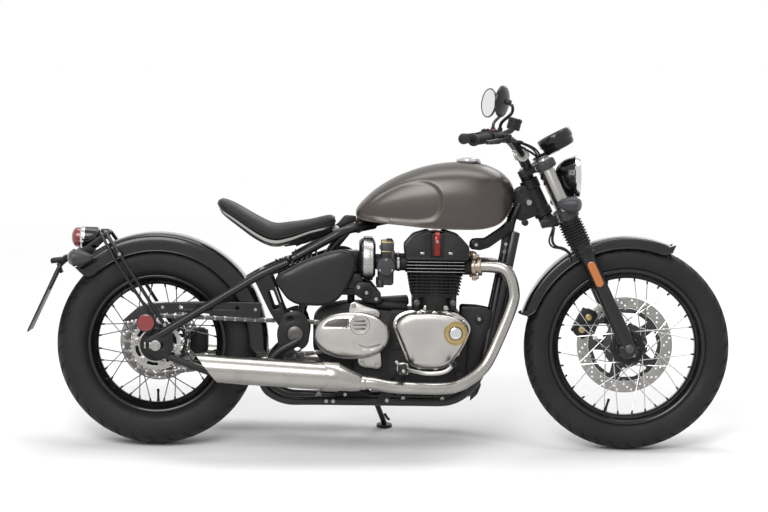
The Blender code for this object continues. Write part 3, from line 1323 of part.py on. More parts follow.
def build_steering(body):
    keep("fork_yokes", fork_yokes(), "black_metal", body)
    for side, word in ((RIGHT, "right"), (LEFT, "left")):
        keep(f"fork_gaiter_{word}", fork_gaiter(side), "rubber", body)
        keep(f"mirror_{word}", mirror(side), "satin_black", body)
    keep("fork_sliders", fork_sliders(), "satin_black", body)
    keep("front_mudguard", guard(FRONT_AXLE, FRONT_GUARD_RADIUS, FRONT_GUARD_HALF, 0.038,
                                 65, 164, 12), "satin_black", body)
    keep("headlamp", headlamp(), "satin_black", body)
    keep("front_indicators", indicator_pair(1.3378, 1.306, 0.790, 0.162, 1), "amber", body)
    keep("instrument", instrument(), "satin_black", body)
    keep("handlebar", handlebar(), "satin_black", body)
    keep("brake_control", hand_control(RIGHT, True), "satin_black", body)
    keep("clutch_control", hand_control(LEFT, False), "satin_black", body)
    place, reach = front_caliper_place()
    caliper_lug, slider_lug = front_caliper_lugs()
    bpy.data.objects.remove(slider_lug)
    keep("front_caliper", caliper(place + ACROSS * FRONT_DISC_Y, reach, FRONT_DISC_Y,
                                  caliper_lug, (0.056, 0.044, 0.100)), "black_metal", body)
    keep("brake_hose", brake_hose(), "rubber", body)


def main():
    clear_scene()
    parts = bpy.data.collections.new("bobber_motorcycle")
    bpy.context.scene.collection.children.link(parts)
    parked = carrier("parked", (0.0, 0.0, 0.0))
    chassis = carrier("chassis", (0.0, 0.0, 0.0), parked)
    steering = carrier("steering", fork_point(LOWER_YOKE, -YOKE_OFFSET), parked)
    front_axle = carrier("front_axle", FRONT_AXLE, steering)
    rear_axle = carrier("rear_axle", REAR_AXLE, chassis)
    stand_pivot = carrier("stand_pivot", STAND_PIVOT, chassis)
    build_chassis(chassis)
    build_steering(steering)
    front_wheel(front_axle)
    rear_wheel(rear_axle)
    parked_at = parked_matrix()
    drop = (parked_at.to_3x3() @ STAND_DOWN).z
    length = -(parked_at @ STAND_PIVOT).z / drop
    keep("side_stand", side_stand(length), "black_metal", stand_pivot)
    parked.matrix_world = parked_at
    centre_on_floor(parked)


if __name__ == "__main__":
    main()
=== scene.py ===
"""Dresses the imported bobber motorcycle: finishes, fine forms, floor, lamps and camera."""

import json
import math

import bmesh
import bpy
from bpy.props import FloatProperty, FloatVectorProperty, PointerProperty
from mathutils import Matrix, Vector


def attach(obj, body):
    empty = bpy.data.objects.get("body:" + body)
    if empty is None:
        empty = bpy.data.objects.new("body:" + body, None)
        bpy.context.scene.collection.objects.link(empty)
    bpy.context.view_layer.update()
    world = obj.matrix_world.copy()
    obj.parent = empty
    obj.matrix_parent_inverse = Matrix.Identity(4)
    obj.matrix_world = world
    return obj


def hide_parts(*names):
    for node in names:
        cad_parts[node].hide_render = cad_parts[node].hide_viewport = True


bl_info = {
    "name": "Bobber motorcycle",
    "version": (1, 0, 0),
    "blender": (4, 5, 0),
    "location": "3D View > Sidebar > Bobber",
    "description": "Builds the visible pieces, finishes and stage of a bobber motorcycle",
    "category": "Object",
}

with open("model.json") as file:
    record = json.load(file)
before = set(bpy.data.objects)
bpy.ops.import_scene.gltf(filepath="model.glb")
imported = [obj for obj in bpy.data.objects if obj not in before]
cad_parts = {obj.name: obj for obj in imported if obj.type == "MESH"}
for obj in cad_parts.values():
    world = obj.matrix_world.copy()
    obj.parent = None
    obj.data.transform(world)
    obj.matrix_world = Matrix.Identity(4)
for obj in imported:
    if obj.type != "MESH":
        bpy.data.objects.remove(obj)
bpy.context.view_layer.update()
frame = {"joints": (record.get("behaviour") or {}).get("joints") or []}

# The upright machine that every piece is drawn in: metres, +X ahead, +Y left, rear axle at x 0
WHEELBASE = 1.510
RAKE = math.radians(25.4)
YOKE_OFFSET = 0.065
FRONT_TYRE = {"radius": 0.331, "half": 0.050, "rim": 0.248, "rim_half": 0.037}
REAR_TYRE = {"radius": 0.323, "half": 0.075, "rim": 0.218, "rim_half": 0.050}
REAR_AXLE = Vector((0.0, 0.0, REAR_TYRE["radius"]))
FRONT_AXLE = Vector((WHEELBASE, 0.0, FRONT_TYRE["radius"]))
FORK_UP = Vector((-math.sin(RAKE), 0.0, math.cos(RAKE)))
FORK_AHEAD = Vector((math.cos(RAKE), 0.0, math.sin(RAKE)))
ACROSS = Vector((0.0, 1.0, 0.0))
AHEAD = Vector((1.0, 0.0, 0.0))
UP = Vector((0.0, 0.0, 1.0))
RIGHT, LEFT = -1, 1
ON_AXIS = 1e-6
WELD = 1e-6
SIDES = ((RIGHT, "right"), (LEFT, "left"))


def joint_place(name):
    """A joint's point and axis, as the frame gives them."""
    joint = next(entry for entry in frame["joints"] if entry["name"] == name)
    return Vector(joint["pos_m"]), Vector(joint["axis"]).normalized()


def basis(first, second):
    """A turn whose columns are two unit axes and their cross product."""
    return Matrix((first, second, first.cross(second))).transposed()


def parked_place():
    """The turn and shift from the upright machine to the one leaning on its stand."""
    rear, across = joint_place("rear_wheel_spin")
    front = joint_place("front_wheel_spin")[0]
    turn = basis((front - rear).normalized(), across)
    turn = turn @ basis((FRONT_AXLE - REAR_AXLE).normalized(), ACROSS).transposed()
    return Matrix.Translation(rear - turn @ REAR_AXLE) @ turn.to_4x4()


PARKED = parked_place()


def fork_point(up, ahead=0.0, across=0.0):
    """A point in the fork's own tilted axes, from the front axle."""
    return FRONT_AXLE + FORK_UP * up + FORK_AHEAD * ahead + ACROSS * across


def mirrored(point, side):
    """A point given for the left side, put on the side that is asked for."""
    return Vector((point[0], side * point[1], point[2]))


def circle(radius, steps):
    """Even points on a circle about the origin."""
    return [(radius * math.cos(2 * math.pi * i / steps),
             radius * math.sin(2 * math.pi * i / steps)) for i in range(steps)]


def filleted(corners, radius, steps=5, closed=True):
    """Corners in two or three dimensions, each one rounded by an arc-like curve."""
    corners = [Vector(corner) for corner in corners]
    count = len(corners)
    rounded = []
    for i, corner in enumerate(corners):
        if not closed and i in (0, count - 1):
            rounded.append(corner)
            continue
        before, after = corners[i - 1] - corner, corners[(i + 1) % count] - corner
        reach = min(radius, before.length * 0.48, after.length * 0.48)
        start, end = corner + before.normalized() * reach, corner + after.normalized() * reach
        for step in range(steps + 1):
            t = step / steps
            rounded.append(start * (1 - t) ** 2 + corner * 2 * t * (1 - t) + end * t ** 2)
    return rounded


def soft_outline(corners, radius=0.008, steps=4):
    """A flat outline with its corners rounded."""
    return [tuple(point) for point in filleted(corners, radius, steps)]


def around(centre, radius, angle, y=0.0):
    """A point on a circle about an axle line; the angle runs up from straight ahead."""
    return Vector(centre) + Vector((radius * math.cos(angle), y, radius * math.sin(angle)))


def smooth_path(route, count):
    """Even points on a smooth curve through the route's own points."""
    route = [Vector(point) for point in route]
    ends = [2 * route[0] - route[1], *route, 2 * route[-1] - route[-2]]
    fine = []
    for a, b, c, d in zip(ends, ends[1:], ends[2:], ends[3:]):
        for step in range(16):
            t = step / 16
            fine.append(0.5 * (2 * b + (c - a) * t + (2 * a - 5 * b + 4 * c - d) * t ** 2
                               + (3 * b - a - 3 * c + d) * t ** 3))
    fine.append(route[-1])
    lengths = [0.0]
    for a, b in zip(fine, fine[1:]):
        lengths.append(lengths[-1] + (b - a).length)
    path, k = [], 0
    for i in range(count + 1):
        target = lengths[-1] * i / count
        while k < len(fine) - 2 and lengths[k + 1] < target:
            k += 1
        part = (target - lengths[k]) / max(lengths[k + 1] - lengths[k], 1e-9)
        path.append(fine[k].lerp(fine[k + 1], min(part, 1.0)))
    return path


def aligned(axis, side=None):
    """A turn that takes +Z to the axis and +X as near to side as it can."""
    axis = Vector(axis).normalized()
    guess = Vector(side) if side is not None else (ACROSS if abs(axis.y) < 0.9 else AHEAD)
    first = (guess - axis * guess.dot(axis)).normalized()
    return Matrix((first, axis.cross(first), axis)).transposed()


def bridge_rings(bm, rings, caps=True):
    """Quads between rings of equal count, with flat end caps."""
    rows = [[bm.verts.new(point) for point in ring] for ring in rings]
    count = len(rows[0])
    for low, high in zip(rows, rows[1:]):
        for i in range(count):
            j = (i + 1) % count
            bm.faces.new((low[i], low[j], high[j], high[i]))
    if caps:
        bm.faces.new(list(reversed(rows[0])))
        bm.faces.new(rows[-1])
    return rows


def loft(bm, rings):
    """A closed skin through sections, facing outwards."""
    part = bmesh.new()
    bridge_rings(part, rings)
    bmesh.ops.recalc_face_normals(part, faces=part.faces)
    pour(bm, part)


def pour(bm, part):
    """Adds one form to another and frees it."""
    mesh = bpy.data.meshes.new("poured")
    part.to_mesh(mesh)
    part.free()
    bm.from_mesh(mesh)
    bpy.data.meshes.remove(mesh)


def lathe(bm, profile, centre, axis, steps=48, side=None):
    """Turns a profile of (radius, height) about an axis; an end at radius 0 closes it."""
    turn, centre = aligned(axis, side), Vector(centre)
    part = bmesh.new()
    rows = []
    for radius, height in profile:
        if radius < ON_AXIS:
            rows.append([part.verts.new(centre + turn @ Vector((0, 0, height)))])
            continue
        rows.append([part.verts.new(centre + turn @ Vector((x, y, height)))
                     for x, y in circle(radius, steps)])
    for low, high in zip(rows, rows[1:]):
        if len(low) == 1 and len(high) == 1:
            continue
        for i in range(steps):
            j = (i + 1) % steps
            corners = [low[i % len(low)], low[j % len(low)], high[j % len(high)],
                       high[i % len(high)]]
            corners = [c for k, c in enumerate(corners) if c not in corners[:k]]
            part.faces.new(corners)
    bmesh.ops.recalc_face_normals(part, faces=part.faces)
    pour(bm, part)


def ring(bm, profile, centre, axis, steps=96):
    """Turns a closed profile about an axis into a ring."""
    lathe(bm, [*profile, profile[0]], centre, axis, steps)


def tube(bm, points, radius, sides=20, flat=1.0, up=None):
    """Sweeps a round or flattened section along points; the radius may be a list."""
    points = [Vector(point) for point in points]
    radii = radius if isinstance(radius, (list, tuple)) else [radius] * len(points)
    tangents = [(points[min(i + 1, len(points) - 1)] - points[max(i - 1, 0)]).normalized()
                for i in range(len(points))]
    normal = aligned(tangents[0], up).col[0]
    rings = []
    for point, tangent, size in zip(points, tangents, radii):
        normal = (normal - tangent * normal.dot(tangent)).normalized()
        other = tangent.cross(normal)
        rings.append([point + normal * size * c + other * size * flat * s
                      for c, s in circle(1.0, sides)])
    part = bmesh.new()
    bridge_rings(part, rings)
    bmesh.ops.recalc_face_normals(part, faces=part.faces)
    pour(bm, part)


def rod(bm, start, end, radius, steps=32, bevel=0.0015, end_radius=None):
    """A round bar with softened ends."""
    start, end = Vector(start), Vector(end)
    length = (end - start).length
    far = radius if end_radius is None else end_radius
    profile = [(0, 0), (radius - bevel, 0), (radius - bevel * 0.3, bevel * 0.3), (radius, bevel),
               (far, length - bevel), (far - bevel * 0.3, length - bevel * 0.3),
               (far - bevel, length), (0, length)]
    lathe(bm, profile, start, end - start, steps)


def plate(bm, outline, y_from, y_to, bevel=0.0015, holes=(), turn=None):
    """A flat part cut from its outline in the XZ plane, with softened edges."""
    curve = bpy.data.curves.new("outline", 'CURVE')
    curve.dimensions, curve.fill_mode = '2D', 'BOTH'
    low, high = min(y_from, y_to), max(y_from, y_to)
    curve.extrude = max((high - low) / 2 - bevel, 1e-5)
    curve.bevel_depth, curve.bevel_resolution, curve.offset = bevel, 1, -bevel
    for loop in (outline, *holes):
        spline = curve.splines.new('POLY')
        spline.points.add(len(loop) - 1)
        for point, corner in zip(spline.points, loop):
            point.co = (corner[0], corner[1], 0.0, 1.0)
        spline.use_cyclic_u = True
    lay = Matrix.Translation((0, (low + high) / 2, 0)) @ Matrix.Rotation(math.pi / 2, 4, 'X')
    carrier = bpy.data.objects.new("outline", curve)
    bpy.context.scene.collection.objects.link(carrier)
    depsgraph = bpy.context.evaluated_depsgraph_get()
    mesh = bpy.data.meshes.new_from_object(carrier.evaluated_get(depsgraph))
    bpy.data.objects.remove(carrier)
    bpy.data.curves.remove(curve)
    mesh.transform(lay if turn is None else turn @ lay)
    part = bmesh.new()
    part.from_mesh(mesh)
    bpy.data.meshes.remove(mesh)
    bmesh.ops.remove_doubles(part, verts=part.verts, dist=WELD)
    bmesh.ops.recalc_face_normals(part, faces=part.faces)
    pour(bm, part)


def block(bm, centre, size, pitch=0.0, bevel=0.002, turn=None):
    """A box with rounded edges, pitched about +Y or turned by a matrix."""
    part = bmesh.new()
    bmesh.ops.create_cube(part, size=1.0)
    bmesh.ops.scale(part, vec=size, verts=part.verts)
    if bevel:
        bmesh.ops.bevel(part, geom=part.edges[:], offset=min(bevel, min(size) * 0.45),
                        segments=2, profile=0.5, affect='EDGES')
    spin = Matrix.Rotation(-pitch, 4, 'Y') if turn is None else turn.to_4x4()
    part.transform(Matrix.Translation(centre) @ spin)
    pour(bm, part)


def keep(name, bm, finish, body, replaces=(), angle=35.0):
    """Turns a form into a finished piece in the parked place that rides on its body."""
    mesh = bpy.data.meshes.new(name)
    bm.transform(PARKED)
    bm.to_mesh(mesh)
    bm.free()
    piece = bpy.data.objects.new(name, mesh)
    bpy.context.scene.collection.objects.link(piece)
    mesh.shade_smooth()
    mesh.set_sharp_from_angle(angle=math.radians(angle))
    mesh.materials.append(finish_material(finish))
    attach(piece, body)
    if replaces:
        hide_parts(*([replaces] if isinstance(replaces, str) else replaces))
    return piece


# Shader groups that several finishes share

def shader_group(name, inputs, outputs, build):
    """A shader node group with named sockets, built once."""
    if name in bpy.data.node_groups:
        return bpy.data.node_groups[name]
    group = bpy.data.node_groups.new(name, 'ShaderNodeTree')
    for label, kind, default in inputs:
        socket = group.interface.new_socket(label, in_out='INPUT', socket_type=kind)
        if default is not None:
            socket.default_value = default
    for label, kind in outputs:
        group.interface.new_socket(label, in_out='OUTPUT', socket_type=kind)
    start, end = group.nodes.new('NodeGroupInput'), group.nodes.new('NodeGroupOutput')
    build(group, start, end)
    return group


def noise_node(tree, vector, scale, detail=3.0, roughness=0.5):
    """Noise on a vector; the scale is a number or a socket."""
    node = tree.nodes.new('ShaderNodeTexNoise')
    node.inputs['Detail'].default_value = detail
    node.inputs['Roughness'].default_value = roughness
    tree.links.new(vector, node.inputs['Vector'])
    if isinstance(scale, (int, float)):
        node.inputs['Scale'].default_value = scale
    else:
        tree.links.new(scale, node.inputs['Scale'])
    return node.outputs['Fac']


def remap(tree, value, low, high, to_low=0.0, to_high=1.0):
    """A value moved from one range to another."""
    node = tree.nodes.new('ShaderNodeMapRange')
    for name, number in zip(('From Min', 'From Max', 'To Min', 'To Max'),
                            (low, high, to_low, to_high)):
        if isinstance(number, (int, float)):
            node.inputs[name].default_value = number
        else:
            tree.links.new(number, node.inputs[name])
    tree.links.new(value, node.inputs['Value'])
    return node.outputs['Result']


def maths(tree, operation, first, second):
    """One step of arithmetic on numbers or sockets."""
    node = tree.nodes.new('ShaderNodeMath')
    node.operation = operation
    for socket, value in zip(node.inputs, (first, second)):
        if isinstance(value, (int, float)):
            socket.default_value = value
        else:
            tree.links.new(value, socket)
    return node.outputs['Value']


def grain_group():
    """Fine moulding or powder-coat grain with slow patches of gloss over it."""
    def build(group, start, end):
        fine = noise_node(group, start.outputs['Vector'], start.outputs['Scale'], 4.0)
        slow = noise_node(group, start.outputs['Vector'], 9.0, 2.0)
        group.links.new(fine, end.inputs['Height'])
        group.links.new(remap(group, slow, 0.3, 0.7), end.inputs['Patches'])
    return shader_group("surface_grain",
                        [("Vector", 'NodeSocketVector', None), ("Scale", 'NodeSocketFloat', 900.0)],
                        [("Height", 'NodeSocketFloat'), ("Patches", 'NodeSocketFloat')], build)


def brushing_group():
    """Fine lines left by a brush that runs along the vector's stretched direction."""
    def build(group, start, end):
        scaled = group.nodes.new('ShaderNodeVectorMath')
        scaled.operation = 'MULTIPLY'
        group.links.new(start.outputs['Vector'], scaled.inputs[0])
        group.links.new(start.outputs['Stretch'], scaled.inputs[1])
        lines = noise_node(group, scaled.outputs['Vector'], 1.0, 4.0, 0.7)
        cloud = noise_node(group, start.outputs['Vector'], 14.0, 3.0)
        group.links.new(lines, end.inputs['Lines'])
        group.links.new(remap(group, cloud, 0.3, 0.7), end.inputs['Patches'])
    return shader_group("brush_lines",
                        [("Vector", 'NodeSocketVector', None),
                         ("Stretch", 'NodeSocketVector', (900.0, 900.0, 30.0))],
                        [("Lines", 'NodeSocketFloat'), ("Patches", 'NodeSocketFloat')], build)


def dust_group():
    """A mask of faint dust that settles in broken patches."""
    def build(group, start, end):
        broad = noise_node(group, start.outputs['Vector'], 5.0, 5.0, 0.65)
        fine = noise_node(group, start.outputs['Vector'], 160.0, 3.0)
        mixed = maths(group, 'MULTIPLY', broad, fine)
        group.links.new(remap(group, mixed, 0.22, 0.42, 0.0, start.outputs['Amount']),
                        end.inputs['Mask'])
    return shader_group("settled_dust",
                        [("Vector", 'NodeSocketVector', None), ("Amount", 'NodeSocketFloat', 0.2)],
                        [("Mask", 'NodeSocketFloat')], build)


class Finish:
    """A material under construction, with its Principled shader and object coordinates."""

    def __init__(self, name, colour, roughness, metallic=0.0, **sockets):
        self.material = bpy.data.materials.new(name)
        self.material.use_nodes = True
        self.tree = self.material.node_tree
        self.shader = next(n for n in self.tree.nodes if n.type == 'BSDF_PRINCIPLED')
        self.shader.inputs['Base Color'].default_value = (*colour, 1.0)
        self.shader.inputs['Roughness'].default_value = roughness
        self.shader.inputs['Metallic'].default_value = metallic
        for socket, value in sockets.items():
            self.shader.inputs[socket.replace("_", " ")].default_value = value
        self.material.diffuse_color = (*colour, 1.0)
        self.colour, self.roughness = colour, roughness
        self.place = self.tree.nodes.new('ShaderNodeTexCoord').outputs['Object']

    def group(self, tree, **values):
        node = self.tree.nodes.new('ShaderNodeGroup')
        node.node_tree = tree
        self.tree.links.new(values.pop("Vector", self.place), node.inputs['Vector'])
        for socket, value in values.items():
            node.inputs[socket].default_value = value
        return node

    def bump(self, height, depth, strength=1.0):
        node = self.tree.nodes.new('ShaderNodeBump')
        node.inputs['Distance'].default_value = depth
        node.inputs['Strength'].default_value = strength
        self.tree.links.new(height, node.inputs['Height'])
        if self.shader.inputs['Normal'].links:
            self.tree.links.new(self.shader.inputs['Normal'].links[0].from_socket,
                                node.inputs['Normal'])
        self.tree.links.new(node.outputs['Normal'], self.shader.inputs['Normal'])
        return self

    def vary_roughness(self, mask, change):
        value = remap(self.tree, mask, 0.0, 1.0, self.roughness - change,
                      self.roughness + change)
        self.tree.links.new(value, self.shader.inputs['Roughness'])
        return self

    def tint(self, mask, colour):
        node = self.tree.nodes.new('ShaderNodeMix')
        node.data_type = 'RGBA'
        self.tree.links.new(mask, node.inputs['Factor'])
        base = self.shader.inputs['Base Color']
        if base.links:
            self.tree.links.new(base.links[0].from_socket, node.inputs['A'])
        else:
            node.inputs['A'].default_value = base.default_value
        node.inputs['B'].default_value = (*colour, 1.0)
        self.tree.links.new(node.outputs['Result'], base)
        return self


DARK_SPECULAR = 0.25
BRUSH_SPREAD = 0.09
MOULD_DUST = 0.25
TYRE_DUST = 0.35


def painted(name, colour, roughness, grain=1200.0, depth=0.00004, coat=0.0, metallic=0.0,
            dust=0.12, coat_roughness=0.12):
    """Paint or powder coat with its grain, a little uneven gloss and faint dust."""
    finish = Finish(name, colour, roughness, metallic, Coat_Weight=coat,
                    Coat_Roughness=coat_roughness, Specular_IOR_Level=DARK_SPECULAR)
    grains = finish.group(grain_group(), Scale=grain)
    finish.bump(grains.outputs['Height'], depth)
    finish.vary_roughness(grains.outputs['Patches'], 0.05)
    if dust:
        settled = finish.group(dust_group(), Amount=dust)
        finish.tint(settled.outputs['Mask'], tuple(0.06 + 0.9 * c for c in colour))
    return finish.material


def brushed(name, colour, roughness, stretch, depth=0.00005, dark=0.82):
    """Metal with brush lines along one direction and slow changes of tone."""
    finish = Finish(name, colour, roughness, 1.0)
    lines = finish.group(brushing_group(), Stretch=stretch)
    finish.bump(lines.outputs['Lines'], depth)
    finish.vary_roughness(lines.outputs['Lines'], BRUSH_SPREAD)
    finish.tint(lines.outputs['Patches'], tuple(dark * c for c in colour))
    return finish.material


def polished(name, colour, roughness):
    """Bright metal with only a haze of fine marks."""
    finish = Finish(name, colour, roughness, 1.0)
    grains = finish.group(grain_group(), Scale=300.0)
    finish.vary_roughness(grains.outputs['Patches'], min(0.03, roughness * 0.5))
    return finish.material


def moulded(name, colour, roughness, scale=700.0, depth=0.00012):
    """Rubber or plastic with a fine moulded skin and dust in its hollows."""
    finish = Finish(name, colour, roughness, Specular_IOR_Level=DARK_SPECULAR)
    grains = finish.group(grain_group(), Scale=scale)
    finish.bump(grains.outputs['Height'], depth)
    finish.vary_roughness(grains.outputs['Patches'], 0.07)
    settled = finish.group(dust_group(), Amount=MOULD_DUST)
    finish.tint(settled.outputs['Mask'], (0.075, 0.07, 0.065))
    return finish.material


def tank_paint():
    """Matt metallic paint: fine flakes under a soft clear coat."""
    look = bpy.context.scene.bobber_finish
    finish = Finish("tank_paint", tuple(look.tank_colour), look.tank_roughness, 0.72,
                    Coat_Weight=0.12, Coat_Roughness=0.35)
    flakes = finish.tree.nodes.new('ShaderNodeTexVoronoi')
    flakes.inputs['Scale'].default_value = 1700.0
    finish.tree.links.new(finish.place, flakes.inputs['Vector'])
    speck = remap(finish.tree, flakes.outputs['Distance'], 0.0, 0.5)
    finish.bump(speck, 0.00002, 0.5)
    grains = finish.group(grain_group(), Scale=60.0)
    finish.vary_roughness(grains.outputs['Patches'], 0.03)
    finish.tint(remap(finish.tree, grains.outputs['Patches'], 0.0, 1.0, 0.0, 0.25),
                tuple(0.8 * c for c in look.tank_colour))
    return finish.material


def tyre_rubber():
    """Matt black rubber, greyer where it has been handled."""
    finish = Finish("tyre_rubber", (0.012, 0.012, 0.0125), 0.62,
                    Specular_IOR_Level=DARK_SPECULAR)
    grains = finish.group(grain_group(), Scale=500.0)
    finish.bump(grains.outputs['Height'], 0.00015)
    finish.vary_roughness(grains.outputs['Patches'], 0.08)
    settled = finish.group(dust_group(), Amount=TYRE_DUST)
    finish.tint(settled.outputs['Mask'], (0.032, 0.031, 0.029))
    return finish.material


def seat_vinyl():
    """Grained black seat cover."""
    finish = Finish("seat_vinyl", (0.012, 0.0118, 0.0115), 0.47,
                    Specular_IOR_Level=DARK_SPECULAR)
    cells = finish.tree.nodes.new('ShaderNodeTexVoronoi')
    cells.feature = 'DISTANCE_TO_EDGE'
    cells.inputs['Scale'].default_value = 520.0
    finish.tree.links.new(finish.place, cells.inputs['Vector'])
    finish.bump(remap(finish.tree, cells.outputs['Distance'], 0.0, 0.12), 0.00014)
    grains = finish.group(grain_group(), Scale=1500.0)
    finish.bump(grains.outputs['Height'], 0.00005)
    finish.vary_roughness(grains.outputs['Patches'], 0.06)
    return finish.material


def lens(name, colour):
    """Coloured lamp lens with prism ribs moulded inside it."""
    finish = Finish(name, colour, 0.08, Coat_Weight=0.8, Coat_Roughness=0.03)
    ribs = finish.tree.nodes.new('ShaderNodeTexWave')
    ribs.inputs['Scale'].default_value = 90.0
    finish.tree.links.new(finish.place, ribs.inputs['Vector'])
    finish.bump(ribs.outputs['Fac'], 0.0004, 0.6)
    finish.tint(remap(finish.tree, ribs.outputs['Fac'], 0.0, 1.0, 0.0, 0.5),
                tuple(0.45 * c for c in colour))
    return finish.material


def clear_glass():
    """Plain clear glass over the headlamp and the instrument."""
    return Finish("clear_glass", (1.0, 1.0, 1.0), 0.02, Transmission_Weight=1.0,
                  IOR=1.45).material


def heat_tinted():
    """Stainless clamp browned by the head's heat."""
    finish = Finish("heat_tinted", (0.42, 0.36, 0.29), 0.34, 1.0)
    grains = finish.group(grain_group(), Scale=40.0)
    finish.tint(grains.outputs['Height'], (0.22, 0.16, 0.11))
    finish.vary_roughness(grains.outputs['Patches'], 0.08)
    return finish.material


STEEL_TONE = (0.37, 0.355, 0.335)
ALLOY_TONE = (0.46, 0.445, 0.425)

RECIPES = {
    "tank": tank_paint,
    "tyre": tyre_rubber,
    "vinyl": seat_vinyl,
    "satin": lambda: painted("satin_black", (0.007, 0.007, 0.0074), 0.34, 1400, 0.00003, 0.25),
    "gloss": lambda: painted("gloss_black", (0.005, 0.005, 0.0053), 0.20, 1400, 0.00002, 0.35,
                             coat_roughness=0.08),
    "powder": lambda: painted("powder_black", (0.007, 0.007, 0.0075), 0.42, 800, 0.00008, 0.05),
    "panel": lambda: painted("panel_black", (0.010, 0.010, 0.0104), 0.36, 1300, 0.00003, 0.12),
    "crackle": lambda: painted("engine_black", (0.009, 0.009, 0.0096), 0.50, 420, 0.0002),
    "graphite": lambda: painted("graphite_body", (0.050, 0.050, 0.054), 0.42, 500, 0.0001,
                                metallic=0.4),
    "plastic": lambda: moulded("black_plastic", (0.010, 0.010, 0.0105), 0.46),
    "rubber": lambda: moulded("black_rubber", (0.010, 0.010, 0.0102), 0.6, 400, 0.0002),
    "exhaust": lambda: brushed("brushed_exhaust", STEEL_TONE, 0.27, (24.0, 700.0, 700.0)),
    "cover": lambda: brushed("brushed_cover", ALLOY_TONE, 0.30, (700.0, 700.0, 26.0), 0.00004,
                             0.86),
    "alloy": lambda: brushed("machined_alloy", (0.44, 0.43, 0.41), 0.33, (300.0, 300.0, 300.0)),
    "pan": lambda: brushed("seat_pan_alloy", (0.40, 0.39, 0.375), 0.36, (30.0, 500.0, 500.0)),
    "steel": lambda: brushed("turned_steel", (0.38, 0.37, 0.355), 0.30, (260.0, 260.0, 260.0)),
    "disc": lambda: brushed("disc_steel", (0.33, 0.32, 0.305), 0.31, (500.0, 20.0, 500.0)),
    "dark_steel": lambda: brushed("dark_steel", (0.11, 0.107, 0.103), 0.38,
                                  (200.0, 200.0, 200.0)),
    "chrome": lambda: polished("chrome", (0.60, 0.60, 0.61), 0.07),
    "spoke": lambda: polished("bright_spoke", (0.50, 0.50, 0.50), 0.2),
    "dark_spoke": lambda: polished("dark_spoke", (0.10, 0.10, 0.10), 0.3),
    "bronze": lambda: brushed("gold_anodised", (0.42, 0.32, 0.15), 0.32, (300.0, 300.0, 300.0)),
    "heat": heat_tinted,
    "mirror": lambda: polished("mirror_glass", (0.78, 0.79, 0.8), 0.02),
    "glass": clear_glass,
    "red_lens": lambda: lens("red_lens", (0.24, 0.008, 0.008)),
    "red_paint": lambda: painted("red_anodised", (0.20, 0.010, 0.006), 0.3, metallic=0.5,
                                 coat=0.3),
    "amber_lens": lambda: lens("amber_lens", (0.55, 0.15, 0.01)),
    "smoke_lens": lambda: lens("smoked_lens", (0.05, 0.035, 0.025)),
    "dial": lambda: painted("dial_face", (0.02, 0.021, 0.023), 0.5, dust=0),
    "white_mark": lambda: painted("dial_marks", (0.7, 0.7, 0.7), 0.5, dust=0),
}
made_finishes = {}


def finish_material(name):
    """The named finish, made once."""
    if name not in made_finishes:
        made_finishes[name] = RECIPES[name]()
    return made_finishes[name]


# Repeats made by Geometry Nodes

def copies_tree():
    """Copies an object to each point, along its axis, turned and stretched as it says."""
    name = "copies_on_points"
    if name in bpy.data.node_groups:
        return bpy.data.node_groups[name]
    tree = bpy.data.node_groups.new(name, 'GeometryNodeTree')
    for label, kind in (("Points", 'NodeSocketGeometry'), ("Copy", 'NodeSocketObject'),
                        ("Size", 'NodeSocketFloat'), ("Finish", 'NodeSocketMaterial')):
        tree.interface.new_socket(label, in_out='INPUT', socket_type=kind)
    tree.interface.new_socket("Copies", in_out='OUTPUT', socket_type='NodeSocketGeometry')
    start, end = tree.nodes.new('NodeGroupInput'), tree.nodes.new('NodeGroupOutput')
    fetch = tree.nodes.new('GeometryNodeObjectInfo')
    tree.links.new(start.outputs['Copy'], fetch.inputs['Object'])

    def attribute(label):
        node = tree.nodes.new('GeometryNodeInputNamedAttribute')
        node.data_type = 'FLOAT_VECTOR'
        node.inputs['Name'].default_value = label
        return node.outputs['Attribute']

    upright = tree.nodes.new('FunctionNodeAlignRotationToVector')
    upright.axis = 'Z'
    tree.links.new(attribute("axis"), upright.inputs['Vector'])
    facing = tree.nodes.new('FunctionNodeAlignRotationToVector')
    facing.axis, facing.pivot_axis = 'X', 'Z'
    tree.links.new(upright.outputs['Rotation'], facing.inputs['Rotation'])
    tree.links.new(attribute("side"), facing.inputs['Vector'])
    stretch = tree.nodes.new('ShaderNodeVectorMath')
    stretch.operation = 'SCALE'
    tree.links.new(attribute("stretch"), stretch.inputs[0])
    tree.links.new(start.outputs['Size'], stretch.inputs['Scale'])
    copies = tree.nodes.new('GeometryNodeInstanceOnPoints')
    tree.links.new(start.outputs['Points'], copies.inputs['Points'])
    tree.links.new(fetch.outputs['Geometry'], copies.inputs['Instance'])
    tree.links.new(facing.outputs['Rotation'], copies.inputs['Rotation'])
    tree.links.new(stretch.outputs['Vector'], copies.inputs['Scale'])
    real = tree.nodes.new('GeometryNodeRealizeInstances')
    tree.links.new(copies.outputs['Instances'], real.inputs['Geometry'])
    paint = tree.nodes.new('GeometryNodeSetMaterial')
    tree.links.new(real.outputs['Geometry'], paint.inputs['Geometry'])
    tree.links.new(start.outputs['Finish'], paint.inputs['Material'])
    tree.links.new(paint.outputs['Geometry'], end.inputs['Copies'])
    return tree


